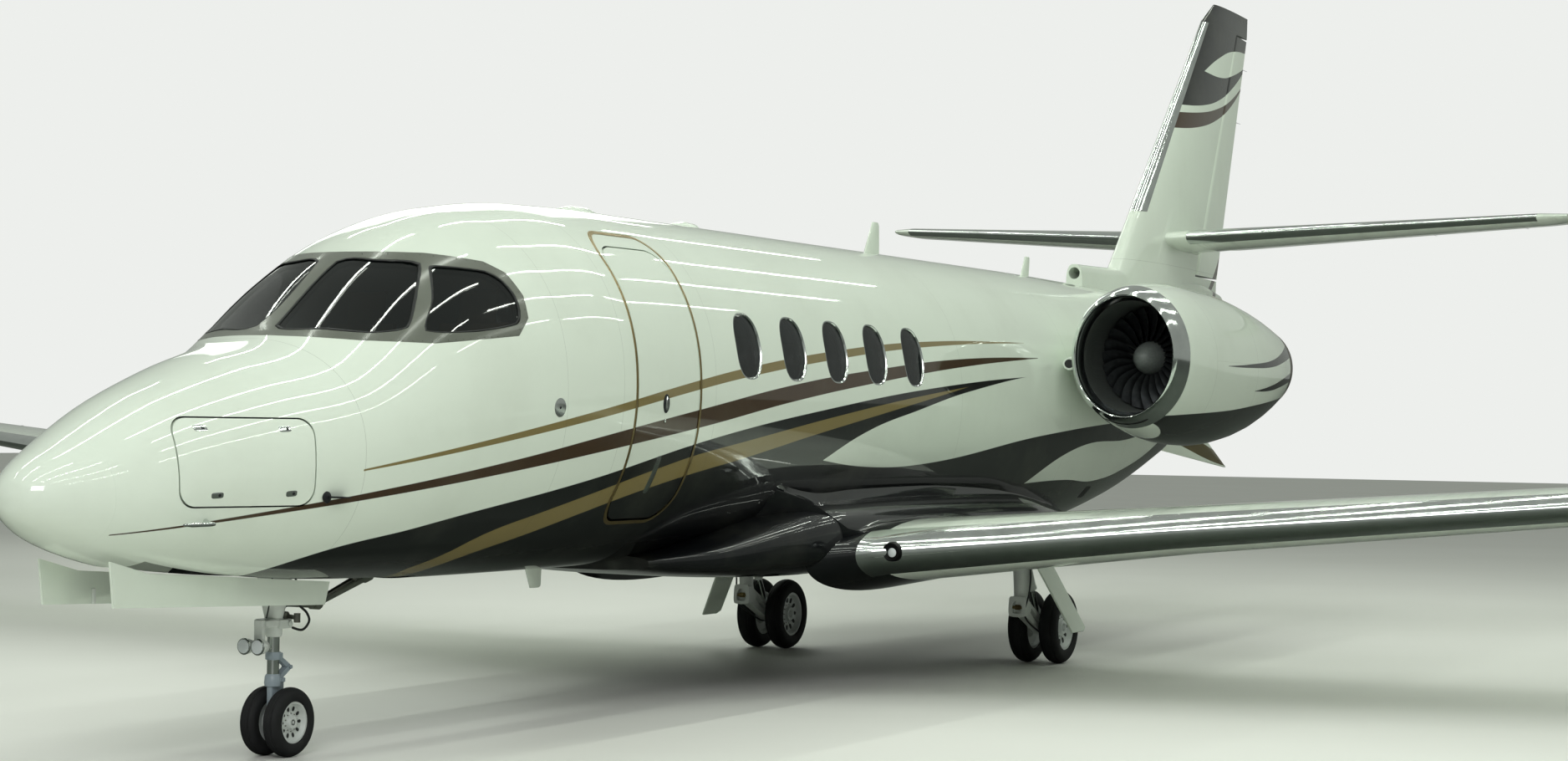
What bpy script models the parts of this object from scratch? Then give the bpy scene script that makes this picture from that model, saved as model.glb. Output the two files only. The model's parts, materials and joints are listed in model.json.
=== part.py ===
"""Twin-engined business jet standing on its landing gear: airframe, cabin, engines, controls and wheels.

Metres, +Z up. The nose points to -Y and the port wing to +X. The floor is at Z = 0.
Lengths along the aircraft are given as stations, measured aft from the tip of the nose.
"""
import math

import bmesh
import bpy
from mathutils import Matrix, Vector

# Driving dimensions, in metres.
LENGTH = 18.97
HALF_SPAN = 11.025
FIT = 0.0003
MOVING_GAP = 0.008
WALL = 0.055
RING_POINTS = 36
RADOME_END = 0.36
COCKPIT_START = 1.78
CABIN_START = 4.00
AFT_START = 11.20
CONE_START = 16.10
FLOOR_TOP = 1.42
FLOOR_THICKNESS = 0.05
NOSE_AXLE_STATION = 2.10
NOSE_TYRE_RADIUS = 0.190
NOSE_TYRE_WIDTH = 0.105
NOSE_WHEEL_OFFSET = 0.078
MAIN_AXLE_STATION = 10.21
MAIN_TYRE_RADIUS = 0.286
MAIN_TYRE_WIDTH = 0.155
MAIN_WHEEL_OFFSET = 0.130
WHEEL_POINTS = 20
HALF_TRACK = 1.21
DOOR_FRONT = 4.17
DOOR_REAR = 4.90
DOOR_BOTTOM = 1.26
DOOR_TOP = 2.92
WINDOW_STATIONS = (5.59, 6.23, 6.86, 7.49, 8.12)
WINDOW_HEIGHT_Z = 2.35
WINDOW_HALF_WIDTH = 0.172
WINDOW_HALF_HEIGHT = 0.215
NACELLE_X = 1.62
NACELLE_Z = 2.44
NACELLE_FRONT = 10.84
NACELLE_LENGTH = 3.35
DUCT_RADIUS = 0.435
FAN_STATION = NACELLE_FRONT + 0.62
FAN_BLADES = 22
BLADE_STEPS = 4
BLADE_TWIST = math.radians(50)

COLLECTION = bpy.context.scene.collection


def y_at(station):
    return station - LENGTH / 2


def clear_scene():
    for old in list(bpy.data.objects):
        bpy.data.objects.remove(old, do_unlink=True)


def paint(name, colour, roughness=0.4, metallic=0.0):
    material = bpy.data.materials.get(name)
    if material:
        return material
    material = bpy.data.materials.new(name)
    material.use_nodes = True
    shader = material.node_tree.nodes["Principled BSDF"]
    shader.inputs["Base Color"].default_value = (*colour, 1)
    shader.inputs["Roughness"].default_value = roughness
    shader.inputs["Metallic"].default_value = metallic
    return material


def white():
    return paint("white_paint", (0.80, 0.84, 0.80), 0.2)


def black():
    return paint("black_paint", (0.02, 0.02, 0.025), 0.2)


def polished():
    return paint("polished_metal", (0.75, 0.76, 0.77), 0.12, 1.0)


def steel():
    return paint("painted_steel", (0.72, 0.75, 0.76), 0.35, 0.2)


def dark_metal():
    return paint("dark_metal", (0.10, 0.10, 0.11), 0.45, 0.8)


def rubber():
    return paint("tyre_rubber", (0.02, 0.02, 0.022), 0.8)


def glass():
    return paint("tinted_glass", (0.05, 0.07, 0.08), 0.05)


def leather():
    return paint("seat_leather", (0.62, 0.54, 0.42), 0.6)


def frame_metal():
    return paint("window_frame_metal", (0.26, 0.27, 0.24), 0.4, 0.7)


def add_object(name, bm, material, helper=False, smooth=True):
    """Makes an object of a bmesh whose faces all point outwards afterwards."""
    bmesh.ops.recalc_face_normals(bm, faces=bm.faces)
    mesh = bpy.data.meshes.new(name)
    bm.to_mesh(mesh)
    bm.free()
    obj = bpy.data.objects.new(name, mesh)
    COLLECTION.objects.link(obj)
    if helper:
        obj.hide_render = True
        obj.display_type = "WIRE"
        return obj
    mesh.materials.append(material)
    if smooth:
        mesh.shade_smooth()
        mesh.set_sharp_from_angle(angle=math.radians(32))
    return obj


def loft(rings, closed_ends=True, loop=False):
    """A skin through rings of equally many points. With loop the last ring joins the first."""
    bm = bmesh.new()
    rows = [[bm.verts.new(point) for point in ring] for ring in rings]
    count = len(rings[0])
    pairs = list(zip(rows, rows[1:]))
    if loop:
        pairs.append((rows[-1], rows[0]))
    for row, following in pairs:
        for i in range(count):
            j = (i + 1) % count
            bm.faces.new((row[i], row[j], following[j], following[i]))
    if closed_ends and not loop:
        bm.faces.new(rows[0][::-1])
        bm.faces.new(rows[-1])
    return bm


def prism(outline, axis, low, high):
    """An outline in the two axes other than axis, drawn out along axis from low to high."""
    def place(point, depth):
        corner = list(point)
        corner.insert(axis, depth)
        return corner
    return loft([[place(p, low) for p in outline], [place(p, high) for p in outline]])


def block(low, high):
    outline = [(low[0], low[1]), (high[0], low[1]), (high[0], high[1]), (low[0], high[1])]
    return prism(outline, 2, low[2], high[2])


def rod(start, end, radius, end_radius=None, points=16):
    """A round bar or cone between two points."""
    start, end = Vector(start), Vector(end)
    turn = Vector((0, 0, 1)).rotation_difference(end - start)
    end_radius = radius if end_radius is None else end_radius
    rings = []
    for centre, size in ((start, radius), (end, end_radius)):
        ring = []
        for i in range(points):
            angle = 2 * math.pi * (i + 0.5) / points
            ring.append(centre + turn @ Vector((size * math.cos(angle), size * math.sin(angle), 0)))
        rings.append(ring)
    return loft(rings)


def turned(profile, centre, axis, points=24, squeeze=1.0):
    """A closed profile of (along, radius) turned about an axis. squeeze narrows it along world X."""
    centre = Vector(centre)
    axis = Vector(axis)
    turn = Vector((0, 0, 1)).rotation_difference(axis)
    rings = []
    for i in range(points):
        angle = 2 * math.pi * i / points
        ring = []
        for along, radius in profile:
            spot = turn @ Vector((radius * math.cos(angle), radius * math.sin(angle), along))
            spot.x *= squeeze
            ring.append(centre + spot)
        rings.append(ring)
    return loft(rings, loop=True)


def cut(obj, tool, operation="DIFFERENCE"):
    modifier = obj.modifiers.new(tool.name, "BOOLEAN")
    modifier.operation = operation
    modifier.object = tool
    modifier.solver = "EXACT"
    return obj


def fuse(name, shapes, material):
    """One body from shapes that overlap each other."""
    base = add_object(name, shapes[0], material)
    for number, shape in enumerate(shapes[1:]):
        cut(base, add_object(f"{name}.add{number}", shape, None, helper=True), "UNION")
    return base


def solid_of(obj):
    """The object's mesh with its modifiers applied."""
    bpy.context.view_layer.update()
    graph = bpy.context.evaluated_depsgraph_get()
    return bpy.data.meshes.new_from_object(obj.evaluated_get(graph))


def mirrored(obj, name):
    """The same piece on the other side of the aircraft."""
    mesh = solid_of(obj)
    mesh.transform(Matrix.Scale(-1, 4, (1, 0, 0)))
    mesh.flip_normals()
    copy = bpy.data.objects.new(name, mesh)
    COLLECTION.objects.link(copy)
    mesh.shade_smooth()
    mesh.set_sharp_from_angle(angle=math.radians(32))
    return copy


def smooth_curve(table, at):
    """A monotone cubic through rows of (station, value)."""
    rows = sorted(table)
    if at <= rows[0][0]:
        return rows[0][1]
    if at >= rows[-1][0]:
        return rows[-1][1]
    slopes = [(b[1] - a[1]) / (b[0] - a[0]) for a, b in zip(rows, rows[1:])]
    tangents = [slopes[0]]
    for before, after in zip(slopes, slopes[1:]):
        tangents.append(0 if before * after <= 0 else 2 * before * after / (before + after))
    tangents.append(slopes[-1])
    for i, (low, high) in enumerate(zip(rows, rows[1:])):
        if at <= high[0]:
            break
    width = high[0] - low[0]
    t = (at - low[0]) / width
    return ((2 * t**3 - 3 * t**2 + 1) * low[1] + (t**3 - 2 * t**2 + t) * width * tangents[i]
            + (3 * t**2 - 2 * t**3) * high[1] + (t**3 - t**2) * width * tangents[i + 1])


# The fuselage's lines: half width, crown, keel and height of the widest point at each station.
HALF_WIDTHS = ((0, 0), (0.03, 0.10), (0.12, 0.205), (0.30, 0.33), (0.60, 0.465), (0.85, 0.55), (1.34, 0.695),
               (1.84, 0.815), (2.5, 0.925), (3.0, 0.98), (3.5, 1.02), (4.1, 1.045), (10.8, 1.045),
               (11.6, 1.03), (12.5, 0.975), (13.5, 0.88), (14.5, 0.76), (15.5, 0.61), (16.5, 0.45), (17.5, 0.28),
               (18.30, 0.10))
CROWNS = ((0, 1.45), (0.03, 1.53), (0.12, 1.61), (0.30, 1.71), (0.60, 1.865), (0.85, 1.98), (1.34, 2.15),
          (1.84, 2.295), (2.54, 2.765), (2.92, 2.96), (3.42, 3.10), (4.1, 3.18), (5.0, 3.20), (11.6, 3.20),
          (13.0, 3.19), (14.5, 3.17), (16.5, 3.12), (17.5, 3.06), (18.30, 2.95))
KEELS = ((0, 1.45), (0.03, 1.37), (0.12, 1.29), (0.30, 1.20), (0.60, 1.11), (0.85, 1.06), (1.34, 1.00),
         (2.0, 0.955), (3.0, 0.93), (4.0, 0.925), (11.2, 0.925), (12.2, 0.98), (13.5, 1.15),
         (15.0, 1.46), (16.5, 1.83), (17.5, 2.13), (18.30, 2.45))
WAISTS = ((0, 1.45), (0.30, 1.44), (0.85, 1.50), (1.84, 1.68), (3.0, 1.95), (4.1, 2.06), (11.6, 2.065),
          (13.5, 2.15), (15.0, 2.30), (16.5, 2.46), (18.30, 2.70))
SECTION_POWER = 2.0 / 2.12


def skin_point(station, angle, inset=0.0):
    """A point of the fuselage's skin. The angle runs from the crown at 0 towards port."""
    half = max(smooth_curve(HALF_WIDTHS, station) - inset, 0.004)
    waist = smooth_curve(WAISTS, station)
    crown = max(smooth_curve(CROWNS, station) - inset, waist + 0.004)
    keel = min(smooth_curve(KEELS, station) + inset, waist - 0.004)
    sine, cosine = math.sin(angle), math.cos(angle)
    across = math.copysign(abs(sine) ** SECTION_POWER, sine) * half
    rise = math.copysign(abs(cosine) ** SECTION_POWER, cosine)
    return Vector((across, y_at(station), waist + rise * ((crown - waist) if rise > 0 else (waist - keel))))


def ring_at(station, inset=0.0, points=RING_POINTS):
    return [skin_point(station, 2 * math.pi * i / points, inset) for i in range(points)]


def hull(stations, inset=0.0, points=RING_POINTS):
    """A solid with the fuselage's outer form."""
    return loft([ring_at(station, inset, points) for station in stations])


def tube(stations, wall=WALL):
    """A length of fuselage wall, open at both ends."""
    outer = [ring_at(station) for station in stations]
    sparse = sorted({stations[0], *stations[::2], stations[-1]}, reverse=True)
    inner = [ring_at(station, wall) for station in sparse]
    return loft(outer + inner, loop=True)


def stations_between(start, end, step):
    count = max(1, round((end - start) / step))
    return [start + (end - start) * i / count for i in range(count + 1)]


def rounded(half_width, half_height, radius, centre=(0, 0), points=4):
    """A rectangle with round corners, as a list of points."""
    outline = []
    for corner, (sx, sy) in enumerate(((1, 1), (-1, 1), (-1, -1), (1, -1))):
        for i in range(points):
            angle = math.pi / 2 * (corner + i / (points - 1))
            outline.append((centre[0] + sx * (half_width - radius) + radius * math.cos(angle),
                            centre[1] + sy * (half_height - radius) + radius * math.sin(angle)))
    return outline


def oval(half_width, half_height, power, centre, points=12):
    outline = []
    for i in range(points):
        angle = 2 * math.pi * i / points
        sine, cosine = math.sin(angle), math.cos(angle)
        outline.append((centre[0] + half_width * math.copysign(abs(cosine) ** (2 / power), cosine),
                        centre[1] + half_height * math.copysign(abs(sine) ** (2 / power), sine)))
    return outline


# Openings in the fuselage.
DOOR_MID_Z = (DOOR_BOTTOM + DOOR_TOP) / 2
DOOR_MID_Y = y_at((DOOR_FRONT + DOOR_REAR) / 2)
DOOR_TAPER = 0.22
DOOR_GAP = 0.010
STEP_HEIGHTS = (1.52, 1.80, 2.08)
STEP_DEPTH = 0.13
STEP_HALF_WIDTH = 0.24


def door_tool(name, grow):
    """A plug for the cabin door. Its top widens outwards, so that the door swings out clear of the frame."""
    rings = []
    for x in (0.25, 1.35):
        rise = DOOR_TAPER * (x - 0.75)
        half_height = (DOOR_TOP - DOOR_BOTTOM + rise) / 2 + grow
        half_width = (DOOR_REAR - DOOR_FRONT) / 2 + grow + 0.01 * (x - 0.75)
        outline = rounded(half_width, half_height, 0.17, (DOOR_MID_Y, DOOR_MID_Z + rise / 2))
        rings.append([(x, y, z) for y, z in outline])
    return add_object(name, loft(rings), None, helper=True)


def window_tools(prefix, side, grow, x_low=0.7, x_high=1.3):
    tools = []
    for number, station in enumerate(WINDOW_STATIONS):
        outline = oval(WINDOW_HALF_WIDTH + grow, WINDOW_HALF_HEIGHT + grow, 2.6,
                       (y_at(station), WINDOW_HEIGHT_Z))
        low, high = (x_low, x_high) if side > 0 else (-x_high, -x_low)
        tools.append(add_object(f"{prefix}{number}", prism(outline, 0, low, high), None, helper=True))
    return tools


# Windscreen outlines. The front panes are drawn seen from ahead, the side panes seen from the side.
FRONT_PANE = ((0.06, 2.345), (0.06, 2.730), (0.30, 2.740), (0.475, 2.725), (0.60, 2.52), (0.675, 2.345),
              (0.57, 2.310),
              (0.35, 2.325))
SIDE_PANE = ((2.455, 2.320), (2.73, 2.345), (3.03, 2.395), (3.10, 2.48), (3.11, 2.58), (3.06, 2.665),
             (2.92, 2.705),
             (2.76, 2.705))
FRAME_BAND = ((1.70, 2.30), (1.88, 2.285), (2.05, 2.268), (2.40, 2.262), (3.03, 2.325), (3.15, 2.43),
              (3.18, 2.56),
              (3.14, 2.69), (3.04, 2.75), (2.76, 2.785), (2.45, 2.790), (1.70, 2.790))


def station_outline(points):
    return [(y_at(station), z) for station, z in points]


# How far the tool of a front pane reaches along the body.
PANE_FRONT = 1.2
PANE_REAR = 2.85
BAND_REACH = 1.2
RADOME_STATIONS = [0.004, 0.03, 0.08, 0.16, 0.26, RADOME_END - FIT]
NOSE_STATIONS = [RADOME_END, 0.50, 0.68, 0.94, 1.22, 1.50, COCKPIT_START - FIT]
COCKPIT_STATIONS = stations_between(COCKPIT_START, CABIN_START - FIT, 0.22)
CABIN_STATIONS = [CABIN_START, 4.6, 6.8, 9.0, AFT_START - FIT]
AFT_STATIONS = stations_between(AFT_START, CONE_START - FIT, 0.82)
CONE_STATIONS = stations_between(CONE_START, 18.29, 0.55)


def make_fuselage():
    radome = add_object("radome", hull(RADOME_STATIONS), white())
    nose = add_object("nose_section", tube(NOSE_STATIONS), white())
    cockpit = add_object("cockpit_shell", tube(COCKPIT_STATIONS), white())
    cabin = add_object("cabin_shell", tube(CABIN_STATIONS), white())
    aft = add_object("aft_fuselage", tube(AFT_STATIONS), white())
    add_object("tail_cone", hull(CONE_STATIONS), white())

    door_hole = door_tool("door_hole", DOOR_GAP)
    cut(cabin, door_hole)
    for side in (1, -1):
        for tool in window_tools(f"window_hole{side}_", side, FIT):
            cut(cabin, tool)
    door = add_object("cabin_door", tube([DOOR_FRONT - 0.1, DOOR_REAR + 0.1]), white())
    cut(door, door_tool("door_plug", 0), "INTERSECT")
    for number, z in enumerate(STEP_HEIGHTS):
        inner = skin_x(DOOR_FRONT, z, WALL)
        step = block((inner - STEP_DEPTH, DOOR_MID_Y - STEP_HALF_WIDTH, z),
                     (inner + 0.02, DOOR_MID_Y + STEP_HALF_WIDTH, z + 0.04))
        cut(door, add_object(f"door_step{number}", step, None, helper=True), "UNION")

    band_hole = add_object("band_hole", prism(station_outline(FRAME_BAND), 0, -BAND_REACH, BAND_REACH),
                           None, helper=True)
    cut(cockpit, band_hole)
    return radome, nose, cockpit, cabin, aft, door


def make_glazing():
    """The windscreen's metal frame, its four panes, and the two rows of cabin windows."""
    frame = add_object("windscreen_frame", tube(stations_between(COCKPIT_START + 0.02, 3.3, 0.22)),
                       frame_metal())
    band = band_tool("frame_plug", -FIT * 2)
    cut(frame, band, "INTERSECT")
    for side, word in ((1, "port"), (-1, "starboard")):
        front_hole = pane_tool(f"front_hole_{word}", side, FIT, front=True)
        side_hole = pane_tool(f"side_hole_{word}", side, FIT, front=False)
        cut(frame, front_hole)
        cut(frame, side_hole)
        for piece, is_front in ((f"windscreen_pane_{word}", True), (f"side_pane_{word}", False)):
            pane = add_object(piece, glass_tube(stations_between(COCKPIT_START + 0.02, 3.3, 0.22)), glass())
            cut(pane, pane_tool(f"{piece}_plug", side, -FIT, front=is_front), "INTERSECT")
    for side, word in ((1, "port"), (-1, "starboard")):
        make_window_row(side, word)


def shrink_outline(points, amount):
    """Moves each point of an outline towards its centre by about the amount."""
    centre = (sum(p[0] for p in points) / len(points), sum(p[1] for p in points) / len(points))
    moved = []
    for p in points:
        reach = math.hypot(p[0] - centre[0], p[1] - centre[1])
        moved.append((p[0] + (centre[0] - p[0]) * amount / reach,
                      p[1] + (centre[1] - p[1]) * amount / reach))
    return moved


def band_tool(name, grow):
    outline = shrink_outline(station_outline(FRAME_BAND), -grow)
    return add_object(name, prism(outline, 0, -BAND_REACH, BAND_REACH), None, helper=True)


def pane_tool(name, side, grow, front):
    if front:
        outline = [(side * x, z) for x, z in shrink_outline(FRONT_PANE, -grow)]
        return add_object(name, prism(outline, 1, y_at(PANE_FRONT), y_at(PANE_REAR)), None, helper=True)
    outline = shrink_outline(station_outline(SIDE_PANE), -grow)
    low, high = (0.4, 1.3) if side > 0 else (-1.3, -0.4)
    return add_object(name, prism(outline, 0, low, high), None, helper=True)


def glass_tube(stations):
    outer = [ring_at(station, 0.008) for station in stations]
    inner = [ring_at(station, 0.030) for station in reversed(stations)]
    return loft(outer + inner, loop=True)


def make_window_row(side, word):
    """Five panes carried by the liner strip behind them."""
    rear = WALL + 0.010
    shapes = []
    z_low, z_high = WINDOW_HEIGHT_Z - 0.26, WINDOW_HEIGHT_Z + 0.26
    strip_rings = []
    for station in (WINDOW_STATIONS[0] - 0.25, WINDOW_STATIONS[-1] + 0.25):
        ring = []
        for inset, heights in ((rear, (z_low, WINDOW_HEIGHT_Z, z_high)),
                               (rear + 0.012, (z_high, WINDOW_HEIGHT_Z, z_low))):
            for z in heights:
                ring.append((side * skin_x(station, z, inset), y_at(station), z))
        strip_rings.append(ring)
    shapes.append(loft(strip_rings))
    base = add_object(f"cabin_windows_{word}", shapes[0], glass())
    for number, station in enumerate(WINDOW_STATIONS):
        pane = add_object(f"pane_{word}{number}", tube_slice(station), None, helper=True)
        outline = oval(WINDOW_HALF_WIDTH - FIT, WINDOW_HALF_HEIGHT - FIT, 2.6,
                       (y_at(station), WINDOW_HEIGHT_Z))
        low, high = (0.7, 1.3) if side > 0 else (-1.3, -0.7)
        plug = add_object(f"pane_plug_{word}{number}", prism(outline, 0, low, high), None, helper=True)
        cut(pane, plug, "INTERSECT")
        cut(base, pane, "UNION")
    return base


def tube_slice(station):
    outer = [ring_at(s, 0.010) for s in (station - 0.3, station + 0.3)]
    inner = [ring_at(s, WALL + 0.016) for s in (station + 0.3, station - 0.3)]
    return loft(outer + inner, loop=True)


def skin_x(station, z, inset=0.0):
    """Half width of the fuselage at a height."""
    half = smooth_curve(HALF_WIDTHS, station) - inset
    waist = smooth_curve(WAISTS, station)
    if z >= waist:
        reach = smooth_curve(CROWNS, station) - inset - waist
    else:
        reach = waist - smooth_curve(KEELS, station) - inset
    rise = min(abs(z - waist) / reach, 1)
    cosine = rise ** (1 / SECTION_POWER)
    return half * math.sqrt(max(1 - cosine * cosine, 0)) ** SECTION_POWER


# Lifting surfaces. Each is a list of (span position, leading edge station, chord, thickness ratio, height).
WING = ((0.97, 6.52, 3.72, 0.130, 0.930), (1.33, 6.82, 3.36, 0.130, 0.985), (3.20, 7.38, 2.66, 0.125, 1.165),
        (7.90, 8.79, 1.83, 0.115, 1.560), (10.60, 9.60, 1.30, 0.105, 1.780), (11.025, 9.86, 1.02, 0.09, 1.815))
STAB = ((0.10, 15.90, 2.02, 0.10, 3.76), (3.45, 17.60, 1.18, 0.09, 4.02), (3.70, 17.80, 0.95, 0.07, 4.04))
FIN = ((3.05, 14.50, 3.45, 0.105, 0.0), (3.42, 14.86, 3.12, 0.105, 0.0), (6.16, 17.46, 1.49, 0.09, 0.0),
       (6.375, 17.816, 1.15, 0.05, 0.0))
AILERON_HINGE = 0.74
AILERON_SPAN = (7.95, 10.55)
ELEVATOR_HINGE = 0.68
ELEVATOR_SPAN = (0.46, 3.40)
RUDDER_HINGE = 0.70
RUDDER_ROOM_STATION = 17.08
RUDDER_RISE = 0.022
RUDDER_SPAN = (3.46, 6.12)
SECTION_HALF = 9
TRAILING_EDGE = 0.004


def half_thickness(c, ratio):
    return 5 * ratio * (0.2969 * math.sqrt(c) - 0.1260 * c - 0.3516 * c * c + 0.2843 * c**3 - 0.1036 * c**4)


def panel_at(table, span):
    """Leading edge station, chord, thickness ratio and height at a span position."""
    for low, high in zip(table, table[1:]):
        if span <= high[0] + 1e-9:
            t = (span - low[0]) / (high[0] - low[0])
            return [a + (b - a) * t for a, b in zip(low[1:], high[1:])]
    return list(table[-1][1:])


def aerofoil(chord, ratio, grow=0.0):
    """Points of (aft of the leading edge, up) round an aerofoil of finite trailing edge."""
    steps = [(1 - math.cos(math.pi * i / SECTION_HALF)) / 2 for i in range(SECTION_HALF + 1)]
    upper = [(c * chord + grow * (2 * c - 1),
              half_thickness(c, ratio) * chord + TRAILING_EDGE / 2 * c + grow)
             for c in steps[1:]]
    lower = [(a, -b) for a, b in upper]
    return upper[::-1] + [(-grow, 0)] + lower


def place_section(points, kind, span, table):
    lead, _chord, _ratio, height = panel_at(table, span)
    if kind == "fin":
        return [(up, y_at(lead + aft), span) for aft, up in points]
    return [(span, y_at(lead + aft), height + up) for aft, up in points]


def surface_loft(table, kind, spans, grow=0.0):
    rings = []
    for span in spans:
        _lead, chord, ratio, _height = panel_at(table, span)
        rings.append(place_section(aerofoil(chord, ratio, grow), kind, span, table))
    return loft(rings)


def hinge_point(table, kind, span, share):
    lead, chord, _ratio, height = panel_at(table, span)
    if kind == "fin":
        return Vector((0, y_at(lead + share * chord), span))
    return Vector((span, y_at(lead + share * chord), height))


def cove_tool(name, table, kind, spans, share):
    """What is taken out of a fixed surface to make room for the moving one behind its hinge line."""
    rings = []
    for span in (spans[0] - MOVING_GAP, spans[1] + MOVING_GAP):
        _lead, chord, ratio, _height = panel_at(table, span)
        skin = half_thickness(share, ratio) * chord
        radius = skin + MOVING_GAP
        lip = math.asin(0.9 * skin / radius)
        centre = share * chord
        edge = centre - radius * math.cos(lip)
        points = [(chord + 0.3, 0.4), (edge, 0.4)]
        for i in range(7):
            angle = lip * (1 - i / 3)
            points.append((centre - radius * math.cos(angle), radius * math.sin(angle)))
        points += [(edge, -0.4), (chord + 0.3, -0.4)]
        rings.append(place_section(points, kind, span, table))
    return add_object(name, loft(rings), None, helper=True)


def control_loft(table, kind, spans, share):
    rings = []
    for span in spans:
        _lead, chord, ratio, _height = panel_at(table, span)
        skin = half_thickness(share, ratio) * chord
        radius = skin * 0.97
        centre = share * chord
        back = [share + (1 - share) * i / 4 for i in range(5)]
        upper = [(c * chord, half_thickness(c, ratio) * chord + TRAILING_EDGE / 2 * c) for c in back]
        nose = []
        for i in range(7):
            angle = math.radians(75) * (1 - i / 3)
            nose.append((centre - radius * math.cos(angle), radius * math.sin(angle)))
        lower = [(a, -b) for a, b in upper]
        rings.append(place_section(upper[::-1] + nose + lower, kind, span, table))
    return loft(rings)


# The spine ahead of the fin, with a round air scoop in its nose: station, half width and top.
DORSAL = ((13.87, 0.080, 3.385), (14.30, 0.088, 3.39), (15.00, 0.125, 3.40), (16.20, 0.172, 3.40),
          (17.20, 0.165, 3.38), (17.90, 0.11, 3.30))
DORSAL_BOTTOM = 3.00
SCOOP_Z = 3.30
SCOOP_RADIUS = 0.055
SCOOP_DEPTH = 0.40
# The fairing over the joint of fin and stabiliser: station and half width.
ROOT_FAIRING = ((15.62, 0.02), (15.72, 0.095), (15.92, 0.155), (16.35, 0.200), (16.80, 0.205),
                (17.04, 0.200))
ROOT_FAIRING_Z = 3.765


def dorsal_form():
    rings = []
    for station, half, top in DORSAL:
        centre = (0, (top + DORSAL_BOTTOM) / 2)
        outline = oval(half, (top - DORSAL_BOTTOM) / 2, 2.8, centre, 20)
        rings.append([(x, y_at(station), z) for x, z in outline])
    return loft(rings)


def root_fairing_form(grow=0.0):
    rings = []
    for station, half in ROOT_FAIRING:
        outline = oval(half + grow, half * 0.62 + grow, 2.0, (0, ROOT_FAIRING_Z), 20)
        rings.append([(x, y_at(station) + grow * (1 if station > 17 else -1), z) for x, z in outline])
    return loft(rings)


def make_surfaces():
    wing = add_object("wing_port", surface_loft(WING, "wing", [row[0] for row in WING]), white())
    cut(wing, cove_tool("aileron_cove", WING, "wing", AILERON_SPAN, AILERON_HINGE))
    aileron = add_object("aileron_port", control_loft(WING, "wing", AILERON_SPAN, AILERON_HINGE), white())
    stab = add_object("stabiliser_port", surface_loft(STAB, "wing", [row[0] for row in STAB]), white())
    cut(stab, cove_tool("elevator_cove", STAB, "wing", ELEVATOR_SPAN, ELEVATOR_HINGE))
    stab_room = block((-0.1, y_at(RUDDER_ROOM_STATION), 3.3), (ELEVATOR_SPAN[0], y_at(18.6), 4.4))
    cut(stab, add_object("rudder_room", stab_room, None, helper=True))
    elevator = add_object("elevator_port", control_loft(STAB, "wing", ELEVATOR_SPAN, ELEVATOR_HINGE),
                          white())
    fin = fuse("fin", [surface_loft(FIN, "fin", [row[0] for row in FIN]), dorsal_form(),
                       root_fairing_form()], white())
    scoop = rod((0, y_at(DORSAL[0][0] - 0.1), SCOOP_Z), (0, y_at(DORSAL[0][0] + SCOOP_DEPTH), SCOOP_Z),
                SCOOP_RADIUS)
    cut(fin, add_object("dorsal_scoop", scoop, None, helper=True))
    rudder_room = (RUDDER_SPAN[0] - RUDDER_RISE, RUDDER_SPAN[1] + RUDDER_RISE)
    cut(fin, cove_tool("rudder_cove", FIN, "fin", rudder_room, RUDDER_HINGE))
    add_object("rudder", control_loft(FIN, "fin", RUDDER_SPAN, RUDDER_HINGE), white())
    return wing, aileron, stab, elevator, fin


def body_tool(name, grow=0.003):
    stations = (RADOME_STATIONS[3:] + NOSE_STATIONS + COCKPIT_STATIONS + CABIN_STATIONS + AFT_STATIONS
                + CONE_STATIONS)
    return add_object(name, hull(stations, -grow), None, helper=True)


# The wing-body fairing under the cabin: half width, top edge and bottom at each station.
FAIRING = ((5.15, 0.55, 1.00, 0.90), (5.6, 0.84, 1.10, 0.85), (6.2, 1.02, 1.26, 0.81),
           (6.9, 1.12, 1.38, 0.79), (8.5, 1.13, 1.40, 0.79), (10.2, 1.12, 1.38, 0.80), (11.0, 1.02, 1.30, 0.84),
           (11.8, 0.82, 1.18, 0.90), (12.5, 0.50, 1.08, 0.97))


def fairing_form(grow=0.0):
    rings = []
    for station, half, top, bottom in FAIRING:
        outline = oval(half + grow, (top - bottom) / 2 + grow, 3.2, (0, (top + bottom) / 2), 24)
        rings.append([(x, y_at(station), z) for x, z in outline])
    return loft(rings)


# The fillet between fuselage and wing: station, outer edge, its height, and the height where it meets the body.
GLOVE = ((6.22, 0.86, 1.43, 1.46), (6.60, 0.985, 1.32, 1.40), (6.89, 1.19, 1.12, 1.38),
         (7.40, 1.33, 1.17, 1.40), (8.60, 1.35, 1.19, 1.41), (9.60, 1.31, 1.09, 1.38), (10.30, 1.18, 0.99, 1.33),
         (11.00, 1.02, 0.98, 1.24))
GLOVE_ROOT = 0.90
WHEEL_BAY = ((0.42, 9.88, 0.5), (1.00, 10.62, 0.95))


def glove_form(side):
    rings = []
    for station, outer, low, high in GLOVE:
        middle = (GLOVE_ROOT + outer) / 2
        outline = [(0.55, 0.93), (outer - 0.03, low - 0.10), (outer, low), (middle, low + (high - low) * 0.26),
                   (GLOVE_ROOT, high), (0.55, high)]
        rings.append([(side * x, y_at(station), z) for x, z in outline])
    return loft(rings)


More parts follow.
